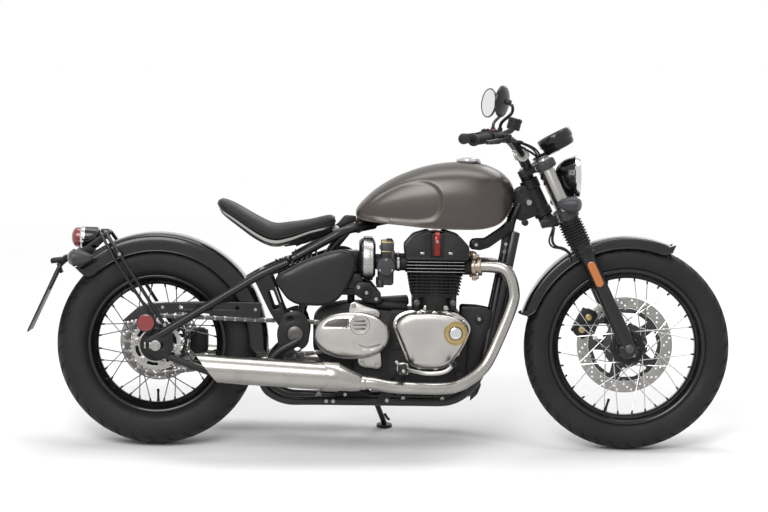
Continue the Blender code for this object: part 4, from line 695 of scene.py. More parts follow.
def copies_of(model, spots):
    """Every copy of a small form as one mesh; a spot is (place, axis, side, stretch)."""
    tree = copies_tree()
    mesh = bpy.data.meshes.new("spots")
    mesh.from_pydata([spot[0] for spot in spots], [], [])
    for index, label in enumerate(("axis", "side", "stretch"), 1):
        layer = mesh.attributes.new(label, 'FLOAT_VECTOR', 'POINT')
        for entry, spot in zip(layer.data, spots):
            entry.vector = spot[index]
    pattern_mesh = bpy.data.meshes.new("pattern")
    model.to_mesh(pattern_mesh)
    model.free()
    pattern = bpy.data.objects.new("pattern", pattern_mesh)
    carrier = bpy.data.objects.new("spots", mesh)
    for thing in (pattern, carrier):
        bpy.context.scene.collection.objects.link(thing)
    modifier = carrier.modifiers.new("copies", 'NODES')
    modifier.node_group = tree
    values = {"Copy": pattern, "Size": 1.0}
    for socket in tree.interface.items_tree:
        if socket.in_out == 'INPUT' and socket.name in values:
            modifier[socket.identifier] = values[socket.name]
    depsgraph = bpy.context.evaluated_depsgraph_get()
    made = bpy.data.meshes.new_from_object(carrier.evaluated_get(depsgraph))
    form = bmesh.new()
    form.from_mesh(made)
    for thing in (pattern, carrier):
        bpy.data.objects.remove(thing)
    for spare in (mesh, pattern_mesh, made):
        bpy.data.meshes.remove(spare)
    for layer in list(form.verts.layers.float_vector.values()):
        form.verts.layers.float_vector.remove(layer)
    return form


def spot(place, axis, side=None, stretch=(1.0, 1.0, 1.0)):
    """A copy's place, axis, side and stretch."""
    axis = Vector(axis).normalized()
    return (Vector(place), axis, aligned(axis, side).col[0], Vector(stretch))


def socket_bolt(radius=0.006, height=0.006):
    """A socket-head bolt that stands on z 0."""
    bm = bmesh.new()
    inner = radius * 0.55
    lathe(bm, [(0, height * 0.35), (inner, height * 0.35), (inner, height),
               (radius * 0.86, height), (radius, height * 0.84), (radius, 0), (0, 0)],
          (0, 0, 0), UP, 12)
    return bm


def hex_bolt(radius=0.008, height=0.005):
    """A flanged hexagon head that stands on z 0."""
    bm = bmesh.new()
    lathe(bm, [(0, 0.0), (radius * 1.35, 0.0), (radius * 1.35, 0.0012), (radius, 0.002),
               (0, 0.002)], (0, 0, 0), UP, 16)
    lathe(bm, [(0, height + 0.001), (radius * 0.86, height + 0.001), (radius, height),
               (radius, 0.001), (0, 0.001)], (0, 0, 0), UP, 6)
    return bm


def bolts(name, spots, finish, body, radius=0.006, height=0.006, hexagon=False):
    """A set of like bolts; a spot is (place, axis)."""
    model = hex_bolt(radius, height) if hexagon else socket_bolt(radius, height)
    keep(name, copies_of(model, [spot(*entry) for entry in spots]), finish, body, angle=30)


# Wheels, discs, sprocket and chain

SPOKES = 32
SPOKE_STAGGER = 0.0025
RIM_DEPTH = 0.028
CHAIN_Y = -0.098
CHAIN_PITCH = 0.015875
DRIVE_SHAFT = Vector((0.567, 0.0, 0.357))
REAR_TEETH, FRONT_TEETH = 37, 17


def tyre_form(axle, spec, tread_pitch, sweep_back):
    """Tyre with a rounded crown, ribbed sidewalls and slanted grooves cut in its shoulders."""
    seat, rise, half = spec["rim"], spec["radius"] - spec["rim"], spec["half"]
    bead = (spec["rim_half"] - 0.002) / half
    control = [(0.0, bead), (0.05, bead + 0.05), (0.18, 0.91), (0.40, 0.995), (0.60, 0.985),
               (0.78, 0.87), (0.90, 0.66), (0.975, 0.36), (1.0, 0.0)]
    side = smooth_path([(up, 0.0, out) for up, out in control], 40)
    profile = [(seat + rise * p.x, half * p.z) for p in side]
    profile = profile + [(r, -y) for r, y in reversed(profile[:-1])]
    steps = 540
    blocks = round(2 * math.pi * spec["radius"] / tread_pitch)
    bm = bmesh.new()
    rings = []
    for i in range(steps):
        angle = 2 * math.pi * i / steps
        ring_points = []
        for r, y in profile:
            up, out = (r - seat) / rise, abs(y) / half
            depth = 0.0
            turn = angle / (2 * math.pi) * blocks + (0.5 if y > 0 else 0.0)
            slant = (turn + sweep_back * out) % 1.0
            if 0.30 < out < 0.93 and up > 0.66 and slant < 0.17:
                depth = 0.0042 * min(1.0, (0.93 - out) * 14, (out - 0.30) * 14)
            elif out < 0.22 and abs(y - 0.004 * math.sin(turn * 2 * math.pi)) < 0.0028:
                depth = 0.0035
            for line, height in ((0.10, 0.0010), (0.30, 0.0006), (0.655, 0.0009)):
                if abs(up - line) < 0.018:
                    depth = -height
            outward = Vector((r - seat - rise * 0.45, y * 0.9))
            outward = outward.normalized() if up > 0.3 else Vector((0.0, math.copysign(1, y)))
            ring_points.append(around(axle, r - outward.x * depth, angle, y - outward.y * depth))
        inner = [around(axle, seat + 0.001, angle, y) for y in (-half * bead + 0.003,
                                                               half * bead - 0.003)]
        rings.append(ring_points + inner)
    rows = bridge_rings(bm, rings, False)
    for a, b in zip(rows[-1], rows[-1][1:] + rows[-1][:1]):
        k = rows[-1].index(a)
        bm.faces.new((a, b, rows[0][(k + 1) % len(rows[0])], rows[0][k]))
    bmesh.ops.recalc_face_normals(bm, faces=bm.faces)
    return bm


def rim_form(axle, radius, half):
    """Rolled rim with safety beads and a drop centre."""
    well = radius - RIM_DEPTH
    outside = [(radius + 0.0025, half + 0.0005), (radius + 0.0035, half + 0.0028),
               (radius + 0.001, half + 0.0045), (radius - 0.005, half + 0.003),
               (radius - 0.010, half - 0.001), (radius - 0.0145, half - 0.006),
               (radius - 0.017, half - 0.011), (well + 0.004, 0.022), (well, 0.0145)]
    inside = [(well + 0.0045, 0.012), (radius - 0.011, half - 0.012),
              (radius - 0.003, half - 0.005)]
    bead = filleted(outside, 0.002, 2, False)
    bead = [(p[0], p[1]) for p in bead]
    profile = bead + [(r, -y) for r, y in reversed(bead)]
    profile += [(r, -y) for r, y in reversed(inside)] + inside
    bm = bmesh.new()
    ring(bm, profile, axle, ACROSS, 160)
    return bm


def spoke_ends(axle, flanges, well):
    """Foot and head of each laced spoke, as the hub and rim carry them."""
    for i in range(SPOKES):
        side, flange_y, flange_radius = flanges[i % 2]
        lead = math.radians(58 if i % 4 < 2 else -58)
        angle = 2 * math.pi * (i + 0.5) / SPOKES
        stagger = math.copysign(SPOKE_STAGGER, lead)
        yield (around(axle, flange_radius, angle + lead, side * (flange_y + stagger)),
               around(axle, well + 0.006, angle, side * (2.4 * SPOKE_STAGGER + stagger)),
               angle, side)


def wire_wheel(name, axle, spec, flanges, finishes, body):
    """Rim, spokes, nipples and valve of one wheel."""
    well = spec["rim"] - RIM_DEPTH
    rim = keep(f"{name}_rim", rim_form(axle, spec["rim"], spec["rim_half"]), "gloss", body,
               f"{name}_wire_wheel", angle=40)
    ends = list(spoke_ends(axle, flanges, well))
    wire = bmesh.new()
    lathe(wire, [(0, 0), (0.0019, 0), (0.0017, 0.1), (0.0017, 0.9), (0.0019, 1), (0, 1)],
          (0, 0, 0), UP, 8)
    keep(f"{name}_spokes", copies_of(wire, [spot(foot, head - foot, None,
                                                 (1, 1, (head - foot).length))
                                            for foot, head, _, _ in ends]),
         finishes[0], body)
    elbow = bmesh.new()
    lathe(elbow, [(0, -0.0022), (0.0034, -0.0022), (0.0036, 0.0), (0.002, 0.0022), (0, 0.0024)],
          (0, 0, 0), UP, 10)
    keep(f"{name}_spoke_heads", copies_of(elbow, [spot(foot, ACROSS * side)
                                                  for foot, _, _, side in ends]),
         finishes[0], body)
    nipple = bmesh.new()
    lathe(nipple, [(0, -0.016), (0.0026, -0.016), (0.0031, -0.0145), (0.0031, -0.004),
                   (0.0046, -0.002), (0.0058, 0.001), (0, 0.001)], (0, 0, 0), UP, 10)
    keep(f"{name}_nipples", copies_of(nipple, [spot(head, head - foot)
                                               for foot, head, _, _ in ends]),
         finishes[1], body)
    valve = bmesh.new()
    turn = math.radians(-107 if name == "front" else -89)
    inward = around((0, 0, 0), -1, turn)
    base = around(axle, well - 0.001, turn)
    lathe(valve, [(0.0, 0.0), (0.0055, 0.0), (0.0045, 0.008), (0.0038, 0.012), (0.0038, 0.030),
                  (0.0045, 0.031), (0.0045, 0.038), (0.003, 0.040), (0.0, 0.040)],
          base, inward, 16)
    keep(f"{name}_valve", valve, "rubber", body)
    return rim


def turned_hub(name, axle, profiles, finish, body):
    """A hub's turned pieces; each profile is a list of (radius, y)."""
    bm = bmesh.new()
    for profile in profiles:
        soft = [(p[0], p[1]) for p in filleted(profile, 0.0022, 3, True)]
        ring(bm, soft, axle, ACROSS, 72)
    keep(name, bm, finish, body, angle=32)


LOBE_FULLNESS = 0.5


def lobed_ring(radius, depth, lobes, steps):
    """An outline with round lobes between narrow hollows."""
    points = []
    for i in range(steps):
        a = 2 * math.pi * i / steps
        wave = abs(math.cos(a * lobes / 2)) ** LOBE_FULLNESS
        points.append(((radius - depth * (1 - wave)) * math.cos(a),
                       (radius - depth * (1 - wave)) * math.sin(a)))
    return points


def shifted(outline, centre):
    """A flat outline moved to a centre in the XZ plane."""
    return [(x + centre[0], z + centre[2]) for x, z in outline]


def drilled_disc(name, axle, y, outer, inner, holes_per_row, body, node):
    """A brake ring with slanting rows of holes, on a carrier with open arms."""
    bm = bmesh.new()
    holes = [shifted(circle(inner, 96), axle)]
    for row in range(holes_per_row):
        for k in range(3):
            a = 2 * math.pi * (row + k * 0.26) / holes_per_row
            r = inner + 0.008 + k * (outer - inner - 0.016) / 2
            place = (r * math.cos(a), 0.0, r * math.sin(a))
            holes.append(shifted(shifted(circle(0.0033, 10), place), axle))
    plate(bm, shifted(circle(outer, 128), axle), y - 0.0024, y + 0.0024, 0.0006, holes)
    keep(f"{name}_ring", bm, "disc", body, node, angle=30)
    arms = bmesh.new()
    count = 5
    windows = []
    for i in range(count):
        turn = 2 * math.pi * i / count
        spread = math.pi / count * 0.76
        corners = [(0.052, -spread * 0.5), (inner - 0.014, -spread), (inner - 0.012, 0),
                   (inner - 0.014, spread), (0.052, spread * 0.5)]
        corners = [(r * math.cos(turn + a), r * math.sin(turn + a)) for r, a in corners]
        windows.append(shifted(soft_outline(corners, 0.008), axle))
    plate(arms, shifted(circle(inner - 0.0015, 96), axle), y - 0.0038, y + 0.0038, 0.0012,
          [shifted(circle(0.020, 32), axle), *windows])
    keep(f"{name}_carrier", arms, "graphite", body, angle=30)
    buttons = []
    for i in range(10):
        a = 2 * math.pi * (i + 0.5) / 10
        for out in (-1, 1):
            buttons.append((around(axle, inner - 0.001, a, y + out * 0.0036), ACROSS * out))
    bolts(f"{name}_buttons", buttons, "steel", body, 0.0065, 0.0016)


def front_wheel_pieces():
    """Tyre, wire wheel, hub with its lobed cover, and drilled disc of the front wheel."""
    body = "front_wheel"
    pitch = bpy.context.scene.bobber_form.front_tread_pitch
    keep("front_tyre_rubber", tyre_form(FRONT_AXLE, FRONT_TYRE, pitch, 1.15), "tyre", body,
         "front_tyre", angle=50)
    wire_wheel("front", FRONT_AXLE, FRONT_TYRE,
               [(LEFT, 0.039, 0.066), (RIGHT, 0.039, 0.050)], ("spoke", "gloss"), body)
    turned_hub("front_hub", FRONT_AXLE, [
        [(0.011, -0.0625), (0.026, -0.0625), (0.026, -0.047), (0.056, -0.044), (0.0565, -0.034),
         (0.031, -0.026), (0.029, 0.0), (0.031, 0.026), (0.073, 0.034), (0.073, 0.044),
         (0.046, 0.046), (0.046, 0.0537), (0.011, 0.0537)]], "graphite", body)
    cover = bmesh.new()
    plate(cover, shifted(lobed_ring(0.0575, 0.010, 8, 96), FRONT_AXLE), -0.052, -0.0445, 0.002,
          [shifted(circle(0.0275, 40), FRONT_AXLE)])
    plate(cover, shifted(circle(0.040, 48), FRONT_AXLE), -0.058, -0.051, 0.002,
          [shifted(circle(0.027, 40), FRONT_AXLE)])
    for i in range(8):
        a = math.pi / 8 + 2 * math.pi * i / 8
        rod(cover, around(FRONT_AXLE, 0.030, a, -0.0545), around(FRONT_AXLE, 0.050, a, -0.0535),
            0.0030, 10)
    keep("front_hub_cover", cover, "crackle", body, angle=30)
    bolts("front_hub_bolts", [(around(FRONT_AXLE, 0.034, math.pi * i / 4, -0.058), -ACROSS)
                              for i in range(8)], "dark_steel", body, 0.0035, 0.003)
    drilled_disc("front_brake", FRONT_AXLE, 0.057, 0.155, 0.120, 20, body, "front_disc")


def rear_wheel_pieces():
    """Tyre, wire wheel, hub, drilled disc and the sprocket on its carrier."""
    body = "rear_wheel"
    pitch = bpy.context.scene.bobber_form.rear_tread_pitch
    keep("rear_tyre_rubber", tyre_form(REAR_AXLE, REAR_TYRE, pitch, 1.0), "tyre", body,
         "rear_tyre", angle=50)
    wire_wheel("rear", REAR_AXLE, REAR_TYRE,
               [(LEFT, 0.046, 0.062), (RIGHT, 0.051, 0.066)], ("dark_spoke", "gloss"), body)
    turned_hub("rear_hub", REAR_AXLE, [
        [(0.011, -0.0940), (0.050, -0.0940), (0.060, -0.080), (0.073, -0.062), (0.073, -0.046),
         (0.043, -0.034), (0.041, 0.0), (0.043, 0.030), (0.069, 0.041), (0.069, 0.051),
         (0.041, 0.058), (0.041, 0.0905), (0.011, 0.0905)]], "crackle", body)
    drilled_disc("rear_brake", REAR_AXLE, 0.094, 0.1275, 0.093, 18, body, "rear_disc")
    tip = CHAIN_PITCH / (2 * math.sin(math.pi / REAR_TEETH)) - 0.0091
    outline = []
    for i in range(REAR_TEETH):
        for part, r in ((0.0, tip), (0.16, tip - 0.0006), (0.34, tip - 0.0050),
                        (0.5, tip - 0.0058), (0.66, tip - 0.0050), (0.84, tip - 0.0006)):
            a = 2 * math.pi * (i + part) / REAR_TEETH
            outline.append((r * math.cos(a), r * math.sin(a)))
    slots = [shifted(circle(0.012, 24), REAR_AXLE)]
    for i in range(6):
        turn = math.radians(20) + 2 * math.pi * i / 6
        arc = [(0.0565, -0.27), (0.0615, -0.30), (0.0665, -0.27), (0.0675, 0.0), (0.0665, 0.27),
               (0.0615, 0.30), (0.0565, 0.27), (0.0565, 0.0)]
        slots.append(shifted([(r * math.cos(turn + a), r * math.sin(turn + a))
                              for r, a in arc], REAR_AXLE))
    bm = bmesh.new()
    plate(bm, shifted(outline, REAR_AXLE), CHAIN_Y - 0.0033, CHAIN_Y + 0.0033, 0.0008, slots)
    keep("driven_sprocket", bm, "steel", body, "rear_sprocket", angle=30)
    boss = bmesh.new()
    lathe(boss, [(0.016, 0.0), (0.049, 0.0), (0.051, 0.003), (0.047, 0.008), (0.030, 0.011),
                 (0.016, 0.011), (0.016, 0.0)], REAR_AXLE + ACROSS * (CHAIN_Y - 0.0035),
          -ACROSS, 48)
    keep("sprocket_boss", boss, "crackle", body)
    bolts("sprocket_bolts", [(around(REAR_AXLE, 0.0615, math.radians(50 + 60 * i),
                                     CHAIN_Y - 0.0033), -ACROSS) for i in range(6)],
          "steel", body, 0.0070, 0.0055, True)


def chain_loop(count):
    """Pin places round both sprockets with the outward direction at each."""
    rear = CHAIN_PITCH / (2 * math.sin(math.pi / REAR_TEETH))
    front = CHAIN_PITCH / (2 * math.sin(math.pi / FRONT_TEETH))
    start, end = REAR_AXLE, DRIVE_SHAFT
    span = end - start
    tilt, lean = math.atan2(span.z, span.x), math.asin((rear - front) / span.length)
    upper, lower = tilt + math.pi / 2 - lean, tilt - math.pi / 2 + lean
    straight = math.sqrt(span.length ** 2 - (rear - front) ** 2)
    runs = [straight, front * (upper - lower), straight,
            rear * (2 * math.pi - (upper - lower))]

    def at(along):
        along %= sum(runs)
        if along < runs[0]:
            out = around((0, 0, 0), 1, upper)
            return (start + out * rear).lerp(end + out * front, along / straight), out
        if along < runs[0] + runs[1]:
            out = around((0, 0, 0), 1, upper - (along - runs[0]) / front)
            return end + out * front, out
        if along < sum(runs[:3]):
            out = around((0, 0, 0), 1, lower)
            part = (along - runs[0] - runs[1]) / straight
            return (end + out * front).lerp(start + out * rear, part), out
        out = around((0, 0, 0), 1, lower - (along - sum(runs[:3])) / rear)
        return start + out * rear, out

    total = sum(runs)
    if count is None:
        count = 2 * round(total / CHAIN_PITCH / 2)
    return [at(total * i / count) for i in range(count)]


def link_form(gap, thickness):
    """One link: two waisted plates and its pins, along X about the middle."""
    bm = bmesh.new()
    half, radius = CHAIN_PITCH / 2, 0.0070
    outline = []
    for sign in (1, -1):
        for i in range(9):
            a = math.radians(-110 + 220 * i / 8)
            outline.append((sign * (half + radius * math.cos(a)) * 1.0,
                            sign * radius * math.sin(a)))
    for side in (-1, 1):
        plate(bm, outline, side * gap, side * (gap + thickness), 0.0004)
    for end in (-half, half):
        rod(bm, (end, -gap - thickness - 0.0006, 0), (end, gap + thickness + 0.0006, 0), 0.0026,
            8, 0.0004)
        rod(bm, (end, -gap + 0.0002, 0), (end, gap - 0.0002, 0), 0.0050, 10, 0.0003)
    return bm


def chain_pieces():
    """The links that follow the chain's closed line, plates and rollers apart."""
    pins = chain_loop(None)
    for parity, name, gap in ((0, "chain_outer_links", 0.0072), (1, "chain_inner_links", 0.0050)):
        spots = []
        for i in range(parity, len(pins), 2):
            (a, out_a), (b, out_b) = pins[i], pins[(i + 1) % len(pins)]
            middle = (a + b) / 2 + ACROSS * CHAIN_Y
            along, out = (b - a).normalized(), (out_a + out_b).normalized()
            spots.append(spot(middle, out, along))
        keep(name, copies_of(link_form(gap, 0.0019), spots), "steel" if parity else "dark_steel",
             "chassis", "drive_chain", angle=30)


# Fuel tank and seat

TANK_SECTIONS = [
    # x, bottom, top, half width, height share at which it is widest
    (0.6325, 0.7455, 0.757, 0.040, 0.50), (0.636, 0.7385, 0.767, 0.060, 0.48),
    (0.655, 0.728, 0.791, 0.081, 0.45), (0.700, 0.722, 0.832, 0.102, 0.42),
    (0.770, 0.716, 0.873, 0.119, 0.42), (0.860, 0.7075, 0.905, 0.132, 0.42),
    (0.950, 0.7045, 0.918, 0.137, 0.42), (1.030, 0.7065, 0.914, 0.135, 0.44),
    (1.085, 0.722, 0.895, 0.119, 0.47), (1.116, 0.752, 0.872, 0.095, 0.49),
    (1.132, 0.781, 0.851, 0.066, 0.5), (1.1375, 0.802, 0.836, 0.036, 0.5)]
TANK_SIDE = [(0.0, 0.0), (0.50, 0.0), (0.84, 0.0), (0.955, 0.012), (0.975, 0.050), (0.984, 0.16),
             (1.0, 0.40), (0.975, 0.60), (0.86, 0.795), (0.64, 0.912), (0.34, 0.98), (0.0, 1.0)]
KNEE_RECESS = [(0.630, 0.746), (0.662, 0.774), (0.710, 0.816), (0.774, 0.849), (0.842, 0.861),
               (0.885, 0.846), (0.908, 0.812), (0.906, 0.765), (0.880, 0.732), (0.830, 0.722),
               (0.740, 0.728), (0.660, 0.738)]
KNEE_DEPTH = 0.0055
SEAM_HEIGHT = 0.0085
CAP_CENTRE = Vector((0.992, 0.0, 0.9177))
SEAT_SECTIONS = [
    # x, underside, top, half width
    (0.192, 0.772, 0.786, 0.085), (0.206, 0.750, 0.790, 0.112), (0.245, 0.722, 0.776, 0.128),
    (0.318, 0.672, 0.736, 0.130), (0.370, 0.652, 0.714, 0.128), (0.420, 0.660, 0.718, 0.116),
    (0.485, 0.684, 0.728, 0.090), (0.545, 0.700, 0.742, 0.068), (0.566, 0.716, 0.736, 0.050)]
SEAT_SIDE = [(0.0, 0.02), (0.45, 0.02), (0.80, 0.06), (0.955, 0.20), (1.0, 0.48), (0.955, 0.76),
             (0.80, 0.94), (0.45, 0.99), (0.0, 0.94)]


def stations(sections, count):
    """Even stations interpolated smoothly between a few given sections."""
    tracks = [smooth_path([(s[0], 0.0, s[k]) for s in sections], count * 4)
              for k in range(1, len(sections[0]))]
    first, last = sections[0][0], sections[-1][0]
    made = []
    for i in range(count + 1):
        share = (1 - math.cos(math.pi * i / count)) / 2
        x = first + (last - first) * (0.6 * i / count + 0.4 * share)
        values = []
        for track in tracks:
            k = next((j for j, p in enumerate(track) if p.x >= x - 1e-9), len(track) - 1)
            a, b = track[max(k - 1, 0)], track[k]
            part = (x - a.x) / max(b.x - a.x, 1e-9) if k else 0.0
            values.append(a.z + (b.z - a.z) * min(max(part, 0.0), 1.0))
        made.append((x, *values))
    return made


def depth_inside(outline, x, z):
    """Distance from a point to the outline's edge, negative outside it."""
    inside, nearest = False, 1e9
    for (ax, az), (bx, bz) in zip(outline, outline[1:] + outline[:1]):
        if (az > z) != (bz > z) and x < (bx - ax) * (z - az) / (bz - az) + ax:
            inside = not inside
        dx, dz = bx - ax, bz - az
        part = max(0.0, min(1.0, ((x - ax) * dx + (z - az) * dz) / (dx * dx + dz * dz)))
        nearest = min(nearest, math.hypot(x - ax - dx * part, z - az - dz * part))
    return nearest if inside else -nearest


def eased(value):
    """A share from 0 to 1 that starts and ends gently."""
    value = max(0.0, min(1.0, value))
    return value * value * (3 - 2 * value)


def side_points(shares, count):
    """A smooth half section as (across, up) shares."""
    return [(p.x, p.z) for p in smooth_path([(a, 0.0, b) for a, b in shares], count)]


def tank_pieces():
    """Tank shell with a recess for each knee, its lower seam and the post under it."""
    outline = soft_outline(KNEE_RECESS, 0.03)
    half_section = side_points(TANK_SIDE, 78)
    rings = []
    for x, low, high, half, waist in stations(TANK_SECTIONS, 170):
        points = []
        for across, up in half_section:
            up = up + (waist - 0.42) * 0.8 * math.sin(math.pi * min(up, 1.0)) ** 2
            y, z = half * across, low + (high - low) * up
            if across > 0.9 and abs(z - low - SEAM_HEIGHT) < 0.0024:
                y -= 0.0022
            if across > 0.5:
                inside = depth_inside(outline, x, z)
                if inside > -0.004:
                    y -= KNEE_DEPTH * eased((inside + 0.004) / 0.013)
            points.append((x, y, z))
        rings.append(points + [(x, -y, z) for x, y, z in reversed(points[1:-1])])
    bm = bmesh.new()
    loft(bm, rings)
    keep("tank_shell", bm, "tank", "chassis", "fuel_tank", angle=60)
    lip = bmesh.new()
    edge = [(x, half * 0.972, low + 0.0015) for x, low, _, half, _ in
            stations(TANK_SECTIONS[1:-1], 90)]
    loop = edge + [(x, -y, z) for x, y, z in reversed(edge)]
    tube(lip, loop + loop[:1], 0.0032, 8, 0.6)
    keep("tank_seam", lip, "tank", "chassis")
    rest = bmesh.new()
    block(rest, (0.655, 0.0, 0.726), (0.050, 0.060, 0.014), 0.1, 0.003)
    for side, _ in SIDES:
        rod(rest, (0.648, side * 0.040, 0.712), (0.648, side * 0.060, 0.712), 0.012, 20)
    keep("tank_rest", rest, "powder", "chassis")


def cap_pieces():
    """Screw cap with its knurled rim on the tank's crown."""
    bm = bmesh.new()
    lathe(bm, [(0, 0.0150), (0.018, 0.0146), (0.0265, 0.0128), (0.029, 0.0108), (0.0315, 0.0112),
               (0.0350, 0.0102), (0.0368, 0.0070), (0.0368, 0.0040), (0.0345, 0.0022),
               (0.0345, -0.002), (0, -0.002)], CAP_CENTRE, UP, 72)
    keep("screw_cap", bm, "chrome", "chassis", "fuel_cap")
    grips = bmesh.new()
    rod(grips, (0, 0, -0.0035), (0, 0, 0.0035), 0.0016, 8, 0.0006)
    keep("cap_knurls", copies_of(grips, [
        spot(CAP_CENTRE + Vector((0.0368 * math.cos(a), 0.0368 * math.sin(a), 0.0055)), UP)
        for a in (2 * math.pi * i / 40 for i in range(40))]), "chrome", "chassis")
    base = bmesh.new()
    ring(base, [(0.034, -0.004), (0.0395, -0.004), (0.0405, -0.001), (0.0385, 0.0015),
                (0.034, 0.0015)], CAP_CENTRE, UP, 72)
    keep("cap_seat", base, "satin", "chassis")


SEAT_STEPS = 80


def seat_form():
    """Rings of the crowned seat, each mirrored from its own right half."""
    half_section = side_points(SEAT_SIDE, 22)
    rings = []
    for x, low, high, half in stations(SEAT_SECTIONS, SEAT_STEPS):
        points = [(x, half * a, low + (high - low) * b) for a, b in half_section]
        rings.append(points + [(x, -y, z) for x, y, z in reversed(points[1:-1])])
    return rings


def seat_pieces():
    """Crowned cover, welt, metal pan and the arm that carries the seat."""
    bm = bmesh.new()
    loft(bm, seat_form())
    pad = keep("seat_cover", bm, "vinyl", "chassis", "seat_pad", angle=60)
    welt = bmesh.new()
    edge = [(x, half * 0.985, low + (high - low) * 0.30) for x, low, high, half in
            stations(SEAT_SECTIONS, SEAT_STEPS)]
    loop = edge + [(x, -y, z) for x, y, z in reversed(edge)]
    tube(welt, loop + loop[:1], 0.0026, 10)
    keep("seat_welt", welt, "vinyl", "chassis")
    pan = bmesh.new()
    pan_side = [(0.0, -0.20), (0.55, -0.20), (0.90, -0.14), (0.985, 0.02), (0.99, 0.17),
                (0.965, 0.17), (0.95, 0.05), (0.85, -0.08), (0.0, -0.14)]
    rings = []
    for x, low, high, half in stations(SEAT_SECTIONS, 64):
        depth = min(high - low, 0.062)
        points = [(x, half * a, low + depth * b) for a, b in pan_side]
        rings.append(points + [(x, -y, z) for x, y, z in reversed(points[1:-1])])
    loft(pan, rings)
    keep("seat_pan_shell", pan, "pan", "chassis", "seat_pan")
    arm = bmesh.new()
    outline = [(0.400, 0.637), (0.470, 0.649), (0.556, 0.683), (0.604, 0.712), (0.634, 0.722),
               (0.634, 0.740), (0.596, 0.742), (0.5725, 0.713), (0.545, 0.6985),
               (0.485, 0.680), (0.420, 0.656)]
    for side, _ in SIDES:
        plate(arm, soft_outline(outline, 0.008, 3), side * 0.014, side * 0.022,
              0.0012)
    block(arm, (0.500, 0.0, 0.668), (0.130, 0.030, 0.006), 0.42, 0.002)
    keep("seat_arm", arm, "powder", "chassis")
    pin = bmesh.new()
    rod(pin, (0.570, -0.029, 0.697), (0.570, 0.029, 0.697), 0.0075, 20)
    keep("seat_pivot", pin, "steel", "chassis")
    bolts("seat_bolts", [(Vector((0.570, side * 0.029, 0.697)), ACROSS * side)
                         for side, _ in SIDES], "steel", "chassis", 0.009, 0.006, True)


# Engine

ENGINE_X = 0.891
CASE_HALF = 0.112
CASE_TOP = 0.446
BLOCK_HALF = 0.160
COVER_FACE = 0.200
PORT = Vector((1.003, 0.100, 0.584))
INLET = Vector((0.773, 0.072, 0.594))
CLUTCH_OUTLINE = [(0.757, 0.398), (0.768, 0.424), (0.800, 0.441), (0.880, 0.445),
                  (0.950, 0.437), (0.985, 0.414), (1.000, 0.388), (0.976, 0.328),
                  (0.932, 0.272), (0.900, 0.262), (0.840, 0.262), (0.808, 0.276)]
RING_CENTRE = Vector((0.952, 0.0, 0.378))
OVAL_CENTRE = (0.624, 0.366)
ALTERNATOR = Vector((0.880, CASE_HALF, 0.335))
ALTERNATOR_BOLTS = 0.0885


def scaled(outline, middle, share):
    """An outline drawn in towards its middle."""
    return [(middle[0] + (x - middle[0]) * share, middle[1] + (z - middle[1]) * share)
            for x, z in outline]


def domed(bm, outline, middle, levels, side=RIGHT):
    """A closed cover through copies of an outline; a level is (distance from the middle, share)."""
    rings = [[(x, side * y, z) for x, z in scaled(outline, middle, share)] for y, share in levels]
    loft(bm, rings)


def resampled(outline, radius, count):
    """An outline with rounded corners as evenly spaced points."""
    soft = filleted(outline, radius, 6)
    loop = [Vector((p[0], 0.0, p[1])) for p in soft]
    loop.append(loop[0])
    lengths = [0.0]
    for a, b in zip(loop, loop[1:]):
        lengths.append(lengths[-1] + (b - a).length)
    points, k = [], 0
    for i in range(count):
        target = lengths[-1] * i / count
        while lengths[k + 1] < target:
            k += 1
        part = (target - lengths[k]) / max(lengths[k + 1] - lengths[k], 1e-9)
        point = loop[k].lerp(loop[k + 1], part)
        points.append((point.x, point.z))
    return points


def rim_spots(outline, inset, angles, middle):
    """Places just inside an outline, one for each angle seen from its middle."""
    spots = []
    for degrees in angles:
        a = math.radians(degrees)
        best = max(outline, key=lambda p: math.cos(math.atan2(p[1] - middle[1], p[0] - middle[0])
                                                   - a))
        reach = math.hypot(best[0] - middle[0], best[1] - middle[1]) - inset
        spots.append((middle[0] + reach * math.cos(a), middle[1] + reach * math.sin(a)))
    return spots


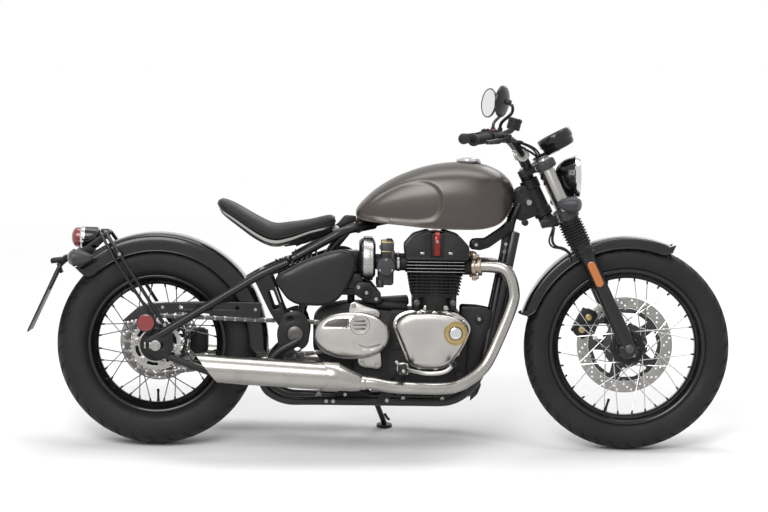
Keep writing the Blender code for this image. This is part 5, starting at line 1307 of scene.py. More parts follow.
def case_pieces():
    """Crankcase, gearbox and the round cover on the left."""
    crank = [(0.740, 0.200), (0.780, 0.180), (0.940, 0.180), (0.985, 0.215), (0.995, 0.330),
             (0.985, 0.400), (0.965, CASE_TOP), (0.740, CASE_TOP)]
    bm = bmesh.new()
    plate(bm, soft_outline(crank, 0.018, 5), -CASE_HALF, CASE_HALF, 0.006)
    gearbox = [(0.500, 0.315), (0.535, 0.262), (0.640, 0.225), (0.760, 0.190), (0.760, 0.464),
               (0.600, 0.464), (0.530, 0.448), (0.500, 0.420)]
    plate(bm, soft_outline(gearbox, 0.020, 5), -0.083, 0.110, 0.006)
    wall = [(0.632, 0.232), (0.765, 0.206), (0.765, 0.440), (0.632, 0.452)]
    plate(bm, soft_outline(wall, 0.012), -0.1115, -0.050, 0.003)
    plate(bm, resampled(scaled(CLUTCH_OUTLINE, (0.88, 0.352), 1.045), 0.03, 72), -0.100,
          -CASE_HALF - 0.008, 0.002)
    for z in (0.215, 0.255, 0.295):
        block(bm, (0.992, 0.0, z), (0.010, 0.170, 0.006), 0.0, 0.002)
    for y in (-0.065, -0.03, 0.005, 0.04, 0.075):
        block(bm, (0.860, y, 0.182), (0.170, 0.005, 0.012), 0.0, 0.002)
    block(bm, (0.730, 0.0, 0.4665), (0.150, 0.150, 0.024), 0.08, 0.006)
    rod(bm, (0.700, -0.082, 0.4600), (0.800, -0.082, 0.4540), 0.018, 28, 0.003)
    rod(bm, (0.620, -0.04, 0.462), (0.620, -0.04, 0.488), 0.012, 20)
    rod(bm, (1.000, 0.0, 0.262), (1.040, 0.0, 0.255), 0.036, 40, 0.006)
    for x, z in ((0.765, 0.250), (0.772, 0.330), (0.968, 0.238)):
        rod(bm, (x, -CASE_HALF - 0.006, z), (x, CASE_HALF + 0.003, z), 0.013, 20, 0.002)
    keep("crankcase", bm, "crackle", "chassis", "engine_cases", angle=30)
    left = bmesh.new()
    lathe(left, [(0, 0.0705), (0.030, 0.0700), (0.050, 0.0680), (0.066, 0.0590), (0.077, 0.0420),
                 (0.0815, 0.020), (0.082, -0.006), (0, -0.006)], ALTERNATOR, ACROSS, 96)
    keep("alternator_cover", left, "cover", "chassis")
    rim = bmesh.new()
    ring(rim, [(0.080, -0.004), (0.0905, -0.004), (0.0905, 0.004), (0.089, 0.0065),
               (0.080, 0.0065)], ALTERNATOR, ACROSS, 72)
    for i in range(8):
        a = 2 * math.pi * (i + 0.3) / 8
        rod(rim, around(ALTERNATOR, ALTERNATOR_BOLTS, a, -0.004),
            around(ALTERNATOR, ALTERNATOR_BOLTS, a, 0.0085), 0.0090, 20)
    keep("alternator_rim", rim, "cover", "chassis")
    bolts("alternator_bolts", [
        (around(ALTERNATOR, ALTERNATOR_BOLTS, 2 * math.pi * (i + 0.3) / 8, 0.0085), ACROSS)
        for i in range(8)], "steel", "chassis", 0.0052, 0.004)
    plug = bmesh.new()
    lathe(plug, [(0, 0.004), (0.016, 0.004), (0.019, 0.002), (0.019, -0.004), (0, -0.004)],
          ALTERNATOR + ACROSS * 0.0695, ACROSS, 40)
    keep("alternator_plug", plug, "chrome", "chassis")


def fin_outline(half_x, half_y):
    """One fin from above: a rounded rectangle, notched between the two barrels."""
    notch, depth = 0.012, 0.020
    corners = [(half_x, half_y), (-half_x, half_y), (-half_x, notch), (-half_x + depth, 0.0),
               (-half_x, -notch), (-half_x, -half_y), (half_x, -half_y), (half_x, -notch),
               (half_x - depth, 0.0), (half_x, notch)]
    return soft_outline(corners, 0.014, 5)


def flat_fin(bm, centre_x, z, half_x, half_y, thickness):
    """A horizontal fin: the plate's outline is laid in the XY plane."""
    lay = Matrix.Translation((centre_x, 0.0, z)) @ Matrix.Rotation(math.pi / 2, 4, 'X')
    plate(bm, [(x, -y) for x, y in fin_outline(half_x, half_y)], -thickness / 2, thickness / 2,
          0.0007, turn=lay)


def block_pieces():
    """Two finned barrels, the head's broad fins, ports and nuts."""
    core = bmesh.new()
    for side, _ in SIDES:
        rod(core, (ENGINE_X - 0.004, side * 0.078, CASE_TOP), (ENGINE_X - 0.004, side * 0.078,
                                                               0.602), 0.062, 48, 0.001)
    block(core, (ENGINE_X - 0.008, 0.0, 0.466), (0.132, 0.242, 0.040), 0.0, 0.004)
    block(core, (ENGINE_X - 0.005, 0.0, 0.545), (0.118, 0.270, 0.118), 0.0, 0.004)
    for x in (ENGINE_X - 0.062, ENGINE_X + 0.054):
        for side, _ in SIDES:
            rod(core, (x, side * 0.128, 0.447), (x, side * 0.128, 0.604), 0.0105, 16)
    for x in (-0.045, -0.015, 0.015, 0.045):
        block(core, (ENGINE_X + x, 0.0, 0.543), (0.0035, 0.292, 0.100), 0.0, 0.001)
    keep("barrels", core, "crackle", "chassis", "cylinder_block", angle=30)
    low, head = bmesh.new(), bmesh.new()
    for i in range(7):
        z = 0.497 + 0.0101 * i
        grow = 0.82 + 0.020 * i
        flat_fin(low, ENGINE_X - 0.004, z, 0.0875 * grow + 0.005, BLOCK_HALF * (0.90 + 0.01 * i),
                 0.0030)
    for i in range(4):
        z = 0.5700 + 0.0104 * i
        flat_fin(head, ENGINE_X - 0.004, z, 0.0955 - (0.002 if i == 3 else 0), BLOCK_HALF - 0.0005,
                 0.0036)
    keep("barrel_fins", low, "crackle", "chassis", angle=30)
    keep("head_fins", head, "crackle", "chassis", angle=30)
    edges = bmesh.new()
    for i in range(4):
        z = 0.5700 + 0.0104 * i
        reach = 0.0955 - (0.002 if i == 3 else 0)
        outline = [Vector((ENGINE_X - 0.004 + x, y, z)) for x, y in
                   fin_outline(reach + 0.0002, BLOCK_HALF - 0.0003)]
        tube(edges, outline + outline[:1], 0.0009, 6)
    keep("head_fin_edges", edges, "steel", "chassis")
    ports = bmesh.new()
    for side, _ in SIDES:
        port = mirrored(PORT, side)
        rod(ports, port - AHEAD * 0.055, port + AHEAD * 0.001, 0.0245, 32, 0.002)
        rod(ports, mirrored(INLET, side) + AHEAD * 0.06, mirrored(INLET, side) - AHEAD * 0.002,
            0.0245, 32, 0.002)
    keep("head_ports", ports, "crackle", "chassis")
    studs = []
    for x in (ENGINE_X - 0.062, ENGINE_X + 0.054):
        for side, _ in SIDES:
            studs.append((Vector((x, side * 0.128, 0.470)), ACROSS * side))
    bolts("barrel_nuts", [(p + a * 0.010, a) for p, a in studs], "dark_steel", "chassis", 0.007,
          0.005, True)
    nose = bmesh.new()
    plate(nose, [(0.848, 0.449), (0.862, 0.446), (0.918, 0.446), (0.932, 0.449), (0.926, 0.462),
                 (0.854, 0.462)], -0.121, -0.133, 0.002)
    keep("barrel_foot_tag", nose, "alloy", "chassis")


def rocker_outline(low, shrink=0.0):
    """The rocker cover's arched outline at one size."""
    return [(ENGINE_X - 0.098 + shrink, low), (ENGINE_X + 0.100 - shrink, low),
            (ENGINE_X + 0.1035 - shrink, 0.640), (ENGINE_X + 0.100 - shrink, 0.654),
            (ENGINE_X + 0.072, 0.684 - shrink), (ENGINE_X + 0.030, 0.6965 - shrink),
            (ENGINE_X - 0.030, 0.6965 - shrink), (ENGINE_X - 0.072, 0.684 - shrink),
            (ENGINE_X - 0.100 + shrink, 0.652), (ENGINE_X - 0.1015 + shrink, 0.640)]


def rocker_pieces():
    """Two lids with a red saddle between the front and rear halves of each end."""
    bm = bmesh.new()
    soft = soft_outline(rocker_outline(0.6065, 0.004), 0.012, 5)
    plate(bm, soft, -0.146, 0.146, 0.003)
    for side, _ in SIDES:
        for low_x, high_x in ((ENGINE_X - 0.1015, ENGINE_X - 0.019),
                              (ENGINE_X + 0.019, ENGINE_X + 0.1035)):
            half = [(x, z) for x, z in rocker_outline(0.6065) if low_x <= x <= high_x]
            centre_x = high_x if high_x < ENGINE_X else low_x
            half += [(centre_x, 0.6075), (centre_x, 0.6955)]
            middle_x, middle_z = (low_x + high_x) / 2, 0.65
            half.sort(key=lambda p: math.atan2(p[1] - middle_z, p[0] - middle_x))
            plate(bm, soft_outline(half, 0.010, 5), side * 0.100, side * 0.1555,
                  0.004)
        block(bm, (ENGINE_X, side * 0.150, 0.611), (0.192, 0.012, 0.009), 0.0, 0.002)
    keep("rocker_lids", bm, "crackle", "chassis", "rocker_cover", angle=30)
    step = bmesh.new()
    for side, _ in SIDES:
        for share in (-1, 1):
            x = ENGINE_X + share * 0.060
            block(step, (x, side * 0.1555, 0.6365), (0.074, 0.003, 0.001), 0.0, 0.0004)
    keep("rocker_lines", step, "satin", "chassis")
    pads = bmesh.new()
    for side, _ in SIDES:
        for x in (ENGINE_X - 0.047, ENGINE_X + 0.043):
            block(pads, (x, side * 0.1556, 0.6290), (0.0125, 0.0025, 0.0075), 0.0, 0.0010)
    keep("rocker_pads", pads, "alloy", "chassis")
    saddle = bmesh.new()
    for side, _ in SIDES:
        route = [(ENGINE_X, side * 0.149, 0.622), (ENGINE_X, side * 0.152, 0.650),
                 (ENGINE_X, side * 0.1505, 0.678), (ENGINE_X, side * 0.140, 0.6925)]
        tube(saddle, smooth_path(route, 20), [0.0105] * 21, 20, 0.40, AHEAD)
        rod(saddle, (ENGINE_X, side * 0.146, 0.666), (ENGINE_X, side * 0.1575, 0.666), 0.0080, 24,
            0.001)
    keep("rocker_saddles", saddle, "red_paint", "chassis")
    bolts("rocker_bolts", [(Vector((ENGINE_X, side * 0.1573, 0.666)), ACROSS * side)
                           for side, _ in SIDES], "steel", "chassis", 0.0048, 0.003)


def clutch_cover_pieces():
    """Domed cover with bolts round its flange and a gold ring."""
    middle = (0.880, 0.352)
    outline = resampled(CLUTCH_OUTLINE, 0.034, 160)
    base = CASE_HALF + 0.0003
    bm = bmesh.new()
    domed(bm, outline, middle, [(base, 1.045), (base + 0.012, 1.045), (base + 0.014, 1.038),
                                (base + 0.016, 0.984), (base + 0.050, 0.980), (base + 0.060, 0.972),
                                (base + 0.068, 0.955), (base + 0.0745, 0.925),
                                (base + 0.0785, 0.885), (base + 0.0805, 0.83),
                                (base + 0.0815, 0.72), (base + 0.082, 0.5), (base + 0.082, 0.2)])
    keep("clutch_cover_shell", bm, "cover", "chassis", "clutch_cover", angle=40)
    spots = rim_spots(outline, 0.0070, (117, 86, 57, 30, 334, 310, 277, 243, 207, 157), middle)
    bosses = bmesh.new()
    for x, z in spots:
        rod(bosses, (x, -base, z), (x, -base - 0.060, z), 0.0102, 28, 0.0014)
    keep("clutch_bosses", bosses, "cover", "chassis", angle=30)
    bolts("clutch_bolts", [(Vector((x, -base - 0.0595, z)), -ACROSS) for x, z in spots], "steel",
          "chassis", 0.0074, 0.0065)
    gold = bmesh.new()
    top = -COVER_FACE
    lathe(gold, [(0.0205, 0.0), (0.0225, -0.003), (0.033, -0.003), (0.0345, 0.0), (0.0375, 0.0),
                 (0.0380, -0.002), (0.0380, -0.028), (0.0205, -0.028), (0.0205, 0.0)],
          RING_CENTRE + ACROSS * top, -ACROSS, 72)
    for i in range(4):
        a = math.pi / 4 + i * math.pi / 2
        rod(gold, around(RING_CENTRE, 0.0305, a, top + 0.002),
            around(RING_CENTRE, 0.0305, a, top - 0.0016), 0.0036, 16, 0.0005)
    keep("inspection_ring", gold, "bronze", "chassis", angle=30)
    cap = bmesh.new()
    lathe(cap, [(0, 0.0010), (0.015, 0.0006), (0.0185, -0.0008), (0.0198, -0.0035),
                (0.0198, -0.022), (0, -0.022)], RING_CENTRE + ACROSS * top, -ACROSS, 64)
    keep("inspection_cap", cap, "chrome", "chassis")


SLOT_OUTLINE = [(0.533, 0.392), (0.544, 0.4085), (0.566, 0.4165), (0.598, 0.4195),
                (0.614, 0.419), (0.614, 0.393)]
VALLEY = [(0.632, 0.350), (0.641, 0.336), (0.658, 0.327), (0.682, 0.326), (0.712, 0.334)]


def path_distance(path, x, z):
    """Distance from a point to an open line of points."""
    nearest = 1e9
    for (ax, az), (bx, bz) in zip(path, path[1:]):
        dx, dz = bx - ax, bz - az
        part = max(0.0, min(1.0, ((x - ax) * dx + (z - az) * dz) / (dx * dx + dz * dz)))
        nearest = min(nearest, math.hypot(x - ax - dx * part, z - az - dz * part))
    return nearest


def sprocket_cover_pieces():
    """Oval cover with a long recess above, lined with a dark plate as painted shade, a soft crease
    below and a finned cap.
    """
    base = CASE_HALF + 0.0003
    count, levels = 150, 54
    rings = []
    for k in range(levels + 1):
        share_in = k / levels
        if k < 6:
            depth, share = 0.045 * k / 6, 1.0
        else:
            a = (k - 6) / (levels - 6) * math.pi / 2
            depth, share = 0.045 + 0.031 * math.sin(a) ** 0.75, max(0.05, math.cos(a) ** 0.62)
        points = []
        for i in range(count):
            turn = 2 * math.pi * i / count
            x = OVAL_CENTRE[0] + 0.120 * share * math.copysign(abs(math.cos(turn)) ** 0.92,
                                                              math.cos(turn))
            z = OVAL_CENTRE[1] + 0.076 * share * math.copysign(abs(math.sin(turn)) ** 0.92,
                                                              math.sin(turn))
            out = depth
            if k >= 6:
                sunk = eased((depth_inside(SLOT_OUTLINE, x, z) + 0.001) / 0.004)
                out += (0.0640 - out) * sunk
                out -= 0.0042 * (1 - eased(path_distance(VALLEY, x, z) / 0.010))
            points.append((x, -base - out, z))
        rings.append(points)
        if share_in == 1.0:
            break
    bm = bmesh.new()
    loft(bm, rings)
    keep("sprocket_cover_shell", bm, "cover", "chassis", "sprocket_cover", angle=50)
    cap_centre = Vector((0.649, -base - 0.0795, 0.401))
    cap = bmesh.new()
    lathe(cap, [(0, -0.004), (0.0225, -0.004), (0.0235, -0.0005), (0.0300, 0.0), (0.0318, -0.0025),
                (0.0320, -0.030), (0, -0.030)], cap_centre, -ACROSS, 64)
    keep("round_cap", cap, "cover", "chassis", angle=30)
    slats = bmesh.new()
    for z, half in ((-0.012, 0.0165), (0.0, 0.0205), (0.012, 0.0165)):
        block(slats, cap_centre + Vector((0.0, 0.0020, z)), (2 * half, 0.0045, 0.0055), 0.0,
              0.0018)
    keep("round_cap_slats", slats, "dark_steel", "chassis")
    # A dark plate set into the upper recess paints the shade that falls inside it.
    slot_shade_plate = bmesh.new()
    plate(slot_shade_plate, scaled(SLOT_OUTLINE, (0.576, 0.4055), 0.90), -base - 0.0610, -base - 0.0648,
          0.0006)
    keep("sprocket_cover_slot", slot_shade_plate, "dark_steel", "chassis")
    ears = bmesh.new()
    upper = [(0.612, 0.436), (0.618, 0.466), (0.632, 0.472), (0.668, 0.456), (0.706, 0.446),
             (0.713, 0.434), (0.706, 0.418), (0.640, 0.400)]
    plate(ears, soft_outline(upper, 0.007), -base, -base - 0.030, 0.003)
    lower = [(0.642, 0.305), (0.645, 0.272), (0.658, 0.263), (0.690, 0.260), (0.712, 0.257),
             (0.720, 0.270), (0.716, 0.310), (0.690, 0.330)]
    plate(ears, soft_outline(lower, 0.007), -base, -base - 0.024, 0.003)
    keep("sprocket_cover_ears", ears, "cover", "chassis", angle=30)
    bolts("sprocket_cover_bolts", [
        (Vector((0.6290, -base - 0.0298, 0.4600)), -ACROSS),
        (Vector((0.7000, -base - 0.0298, 0.4330)), -ACROSS),
        (Vector((0.6570, -base - 0.0238, 0.2750)), -ACROSS),
        (Vector((0.7050, -base - 0.0238, 0.2700)), -ACROSS)], "steel", "chassis", 0.0076, 0.006)


# Intake and exhaust

def intake_pieces():
    """Throttle castings, rubber stubs and the drums of the airbox."""
    bodies, rubber, bright, gold = bmesh.new(), bmesh.new(), bmesh.new(), bmesh.new()
    for side, _ in SIDES:
        inlet = mirrored(INLET, side)
        y = inlet.y
        rod(bodies, (0.697, y, 0.594), (0.752, y, 0.594), 0.0215, 40)
        block(bodies, (0.735, y, 0.628), (0.040, 0.046, 0.068), 0.0, 0.006)
        block(bodies, (0.730, y, 0.548), (0.050, 0.040, 0.052), 0.0, 0.008)
        rod(bodies, (0.730, side * 0.030, 0.583), (0.730, side * 0.124, 0.583), 0.0300, 48, 0.002)
        rod(bodies, (0.712, y + side * 0.014, 0.540), (0.712, y + side * 0.014, 0.515), 0.012, 20)
        block(bodies, (0.752, side * 0.094, 0.604), (0.012, 0.020, 0.060), 0.0, 0.003)
        rod(bodies, (0.742, y, 0.652), (0.742, y, 0.666), 0.010, 20)
        lathe(bodies, [(0, 0.0056), (0.020, 0.0056), (0.0275, 0.0045), (0.0290, 0.0020),
                       (0.0290, -0.004), (0, -0.004)], (0.730, side * 0.124, 0.583),
              ACROSS * side, 56)
        ring(bright, [(0.0215, -0.005), (0.0265, -0.005), (0.0265, 0.005), (0.0215, 0.005)],
             (0.7485, y, 0.594), AHEAD, 48)
        tube(rubber, [(x, y, 0.594) for x in (0.748, 0.751, 0.7545, 0.758, 0.762, 0.766, 0.774,
                                              0.780)],
             [0.0235, 0.0255, 0.0262, 0.0245, 0.0245, 0.0265, 0.0265, 0.0240], 36)
        for x in (0.7545, 0.7695):
            ring(bright, [(0.0262, -0.0035), (0.0272, -0.0035), (0.0272, 0.0035),
                          (0.0262, 0.0035)], (x, y, 0.594), AHEAD, 48)
            block(bright, (x, y + side * 0.0262, 0.606), (0.008, 0.006, 0.012), 0.0, 0.001)
        block(gold, (0.735, y, 0.6595), (0.0405, 0.0465, 0.0045), 0.0, 0.0012)
        block(gold, (0.735, y, 0.6300), (0.0405, 0.0468, 0.0025), 0.0, 0.0008)
    rod(bodies, (0.735, -0.07, 0.640), (0.735, 0.07, 0.640), 0.008, 20)
    rod(bodies, (0.714, -0.094, 0.640), (0.714, 0.094, 0.640), 0.0045, 16)
    keep("throttle_castings", bodies, "graphite", "chassis", "throttle_bodies", angle=30)
    keep("inlet_rubbers", rubber, "rubber", "chassis")
    keep("throttle_rings", bright, "alloy", "chassis")
    keep("throttle_bands", gold, "bronze", "chassis")
    spots = [(around((0.730, 0, 0.583), 0.0225, math.radians(turn), side * 0.1292), ACROSS * side)
             for side, _ in SIDES for turn in (90, 210, 330)]
    bolts("throttle_screws", spots, "steel", "chassis", 0.0036, 0.0026)
    box = bmesh.new()
    block(box, (0.6115, 0.0, 0.590), (0.072, 0.148, 0.078), 0.0, 0.010)
    block(box, (0.6300, 0.0, 0.535), (0.052, 0.200, 0.050), 0.0, 0.010)
    drums, straps = bmesh.new(), bmesh.new()
    for side, _ in SIDES:
        centre = (0.6485, side * 0.072, 0.605)
        lathe(box, [(0, 0.048), (0.050, 0.048), (0.056, 0.0455), (0.060, 0.0425), (0.0605, 0.028),
                    (0.0605, 0.004), (0.052, -0.004), (0, -0.004)], centre, AHEAD, 56)
        ring(straps, [(0.0600, 0.0095), (0.0672, 0.0095), (0.0680, 0.0110), (0.0680, 0.0385),
                      (0.0672, 0.0400), (0.0600, 0.0400)], centre, AHEAD, 96)
        for start in (0.0125, 0.0345):
            ring(drums, [(0.0600, start), (0.0682, start), (0.0682, start + 0.0022),
                         (0.0600, start + 0.0022)], centre, AHEAD, 96)
    keep("airbox_body", box, "satin", "chassis", "airbox", angle=30)
    keep("airbox_straps", straps, "alloy", "chassis")
    keep("airbox_strap_edges", drums, "steel", "chassis")
    mesh_patch = bmesh.new()
    ring(mesh_patch, [(0.0013, -0.0007), (0.0021, -0.0007), (0.0021, 0.0007), (0.0013, 0.0007)],
         (0, 0, 0), UP, 6)
    places = []
    for side, _ in SIDES:
        for row in range(9):
            for column in range(5):
                angle = math.radians(-52 + 13.0 * row + (6.5 if column % 2 else 0))
                out = Vector((0.0, side * math.cos(angle), math.sin(angle)))
                place = Vector((0.6485 + 0.0172 + 0.0040 * column, side * 0.072, 0.605))
                places.append(spot(place + out * 0.0681, out, AHEAD))
    keep("airbox_mesh", copies_of(mesh_patch, places), "dark_steel", "chassis")


MUFFLER_FRONT = Vector((0.585, 0.210, 0.236))
MUFFLER_REAR = Vector((0.115, 0.210, 0.262))
MUFFLER_CAP = 0.072
MOUTH_DROP = 0.0125


def exhaust_pieces():
    """Header pipes, port clamps, silencers and their collars."""
    for side, label in SIDES:
        front, rear = mirrored(MUFFLER_FRONT, side), mirrored(MUFFLER_REAR, side)
        axis = (front - rear).normalized()
        length = (front - rear).length
        mouth = front + axis * MUFFLER_CAP
        route = [mirrored(p, side) for p in (
            (1.0035, 0.100, 0.584), (1.060, 0.106, 0.588), (1.112, 0.116, 0.575),
            (1.136, 0.122, 0.515), (1.128, 0.128, 0.455), (1.068, 0.142, 0.310),
            (1.030, 0.158, 0.255), (0.965, 0.182, 0.213), (0.900, 0.192, 0.203),
            (0.800, 0.202, 0.205), (0.745, 0.206, 0.2085))]
        mouth -= UP * MOUTH_DROP
        path = smooth_path([*route, mouth + axis * 0.040, mouth + axis * 0.001], 150)
        pipe, heat = bmesh.new(), bmesh.new()
        tube(pipe, path, 0.0200, 40)
        keep("header_" + label, pipe, "exhaust", "chassis",
             "exhaust_header_" + label, angle=60)
        collar = path[0]
        out = (path[3] - path[0]).normalized()
        for start, reach in ((0.0, 0.0135), (0.0185, 0.0125)):
            ring(heat, [(0.0195, start), (0.0288, start), (0.0295, start + 0.0015),
                        (0.0295, start + reach - 0.0015), (0.0288, start + reach),
                        (0.0195, start + reach)], collar, out, 56)
        for z in (-1, 1):
            block(heat, collar + out * 0.009 + UP * 0.0330 * z, (0.016, 0.016, 0.020), 0.0, 0.003)
        keep("header_clamps_" + label, heat, "heat", "chassis")
        bolts("header_nuts_" + label,
              [(collar + out * 0.017 + UP * 0.0335 * z, out) for z in (-1, 1)], "steel",
              "chassis", 0.0055, 0.006, True)
        shell, inner = bmesh.new(), bmesh.new()
        outside = [(0.0425, -0.060), (0.0440, -0.058), (0.0440, length - 0.046),
                   (0.0440, length - 0.022), (0.0436, length - 0.010),
                   (0.0418, length + 0.004), (0.0378, length + 0.022),
                   (0.0325, length + 0.044), (0.0275, length + 0.062),
                   (0.0240, length + MUFFLER_CAP - 0.002), (0.0218, length + MUFFLER_CAP),
                   (0.0, length + MUFFLER_CAP)]
        profile = [(0.0, 0.150), (0.0385, 0.150), (0.0385, 0.148), (0.0400, -0.058), *outside]
        lathe(shell, profile, (0, 0, 0), UP, 112)
        for vertex in shell.verts:
            droop = MOUTH_DROP * eased((vertex.co.z - length + 0.012) / (MUFFLER_CAP + 0.010))
            turned = aligned(axis, UP) @ vertex.co
            vertex.co = rear + turned - UP * droop
        slashed(shell, side)
        lathe(inner, [(0.0, 0.149), (0.0383, 0.149), (0.0398, -0.056), (0.0403, -0.056),
                      (0.0390, 0.151), (0.0, 0.151)], rear, axis, 72, side=UP)
        slashed(inner, side, 0.0015)
        keep("silencer_" + label, shell, "exhaust", "chassis", "muffler_" + label, angle=32)
        keep("silencer_core_" + label, inner, "powder", "chassis")
        collar_form = bmesh.new()
        sweep_collar(collar_form, rear, axis, length)
        keep("silencer_collar_" + label, collar_form, "exhaust", "chassis", angle=30)
        band = bmesh.new()
        ring(band, [(0.0198, -0.004), (0.0222, -0.004), (0.0226, -0.003), (0.0226, 0.012),
                    (0.0222, 0.013), (0.0198, 0.013)], mouth, axis, 48)
        keep("silencer_band_" + label, band, "exhaust", "chassis")
        hanger = bmesh.new()
        block(hanger, rear + axis * 0.300 - ACROSS * side * 0.047, (0.060, 0.010, 0.036), 0.0,
              0.003)
        keep("silencer_hanger_" + label, hanger, "powder", "chassis")


def slashed(bm, side, shift=0.0):
    """Takes away the part behind the slanting cut at the silencer's open end."""
    cut_at = Vector((0.168 + shift, side * 0.210, 0.258))
    facing = Vector((-math.sin(math.radians(52)), 0.0, -math.cos(math.radians(52))))
    bmesh.ops.bisect_plane(bm, geom=bm.verts[:] + bm.edges[:] + bm.faces[:], plane_co=cut_at,
                           plane_no=facing, clear_outer=True, dist=WELD)
    loose = [v for v in bm.verts if not v.link_faces]
    bmesh.ops.delete(bm, geom=loose, context='VERTS')
    open_edges = [e for e in bm.edges if len(e.link_faces) == 1]
    if open_edges:
        bmesh.ops.bridge_loops(bm, edges=open_edges)
    bmesh.ops.recalc_face_normals(bm, faces=bm.faces)


def sweep_collar(bm, rear, axis, length):
    """The raised sleeve around the silencer's front, cut in a curve behind."""
    turn = aligned(axis, UP)
    rows = []
    for height_share, radius in ((0.0, 0.0438), (0.0, 0.0457), (0.04, 0.0462), (0.96, 0.0462),
                                 (1.0, 0.0457), (1.0, 0.0438)):
        row = []
        for i in range(96):
            a = 2 * math.pi * i / 96
            low = length - 0.060 + 0.026 * abs(math.sin(a)) ** 1.4
            high = length - 0.001
            height = low + (high - low) * height_share
            row.append(rear + turn @ Vector((radius * math.cos(a), radius * math.sin(a), height)))
        rows.append(row)
    part = bmesh.new()
    bridge_rings(part, [*rows, rows[0]], caps=False)
    bmesh.ops.remove_doubles(part, verts=part.verts, dist=1e-7)
    bmesh.ops.recalc_face_normals(part, faces=part.faces)
    pour(bm, part)


PANEL_OUTLINE = [(0.379, 0.536), (0.388, 0.554), (0.477, 0.603), (0.554, 0.630), (0.592, 0.637),
                 (0.620, 0.629), (0.630, 0.610), (0.628, 0.571), (0.598, 0.503), (0.570, 0.470),
                 (0.530, 0.458), (0.455, 0.459), (0.420, 0.475), (0.390, 0.516)]
PANEL_MIDDLE = (0.515, 0.545)


def side_panel_pieces():
    """Rounded panels below the seat, one on either side."""
    for side, label in SIDES:
        outline = resampled(PANEL_OUTLINE, 0.035, 150)
        bm = bmesh.new()
        domed(bm, outline, PANEL_MIDDLE,
              [(0.1287, 0.985), (0.1287, 1.0), (0.1375, 1.0), (0.1405, 0.992), (0.1430, 0.972),
               (0.1455, 0.935), (0.1480, 0.87), (0.1500, 0.76), (0.1512, 0.60), (0.1517, 0.4),
               (0.1519, 0.2), (0.1520, 0.06)], side)
        keep("side_cover_" + label, bm, "panel", "chassis", "side_panel_" + label, angle=50)
        lip = bmesh.new()
        edge = [Vector((x, side * 0.1340, z)) for x, z in scaled(outline, PANEL_MIDDLE, 0.9985)]
        tube(lip, edge + edge[:1], 0.0022, 8)
        keep("side_cover_lip_" + label, lip, "satin", "chassis")


# Frame, swingarm and shock

CRADLE_HEIGHT = 0.152
ARM_HALF = 0.125
PIVOT = Vector((0.444, 0.0, 0.367))
DOWNTUBE_LOW = Vector((1.036, 0.0, 0.225))
DOWNTUBE_HIGH = Vector((1.1345, 0.0, 0.742))
ARM_REAR = Vector((0.012, 0.0, 0.358))
ARM_CORNER = Vector((0.335, 0.0, 0.5565))
SHOCK_LOW = Vector((0.351, 0.0, 0.5535))
SHOCK_TOP = Vector((0.547, 0.0, 0.615))


def bent_tube(bm, corners, radius, bend):
    """A round tube through its corners, each bent to an arc, with straight runs between."""
    points = filleted(corners, bend, 8, closed=False)
    fine = []
    for a, b in zip(points, points[1:]):
        fine.append(a)
        if (b - a).length > 0.12:
            fine += [a.lerp(b, share) for share in (0.02, 0.98)]
    tube(bm, [*fine, points[-1]], radius, 24)


def weld_bead(bm, centre, axis, radius):
    """A rippled bead around a tube joint."""
    turn, centre = aligned(axis), Vector(centre)
    points = []
    for i in range(49):
        a = 2 * math.pi * i / 48
        ripple = radius + 0.0005 * math.cos(a * 16)
        points.append(centre + turn @ Vector((ripple * math.cos(a), ripple * math.sin(a), 0)))
    tube(bm, points, 0.0022, 8)


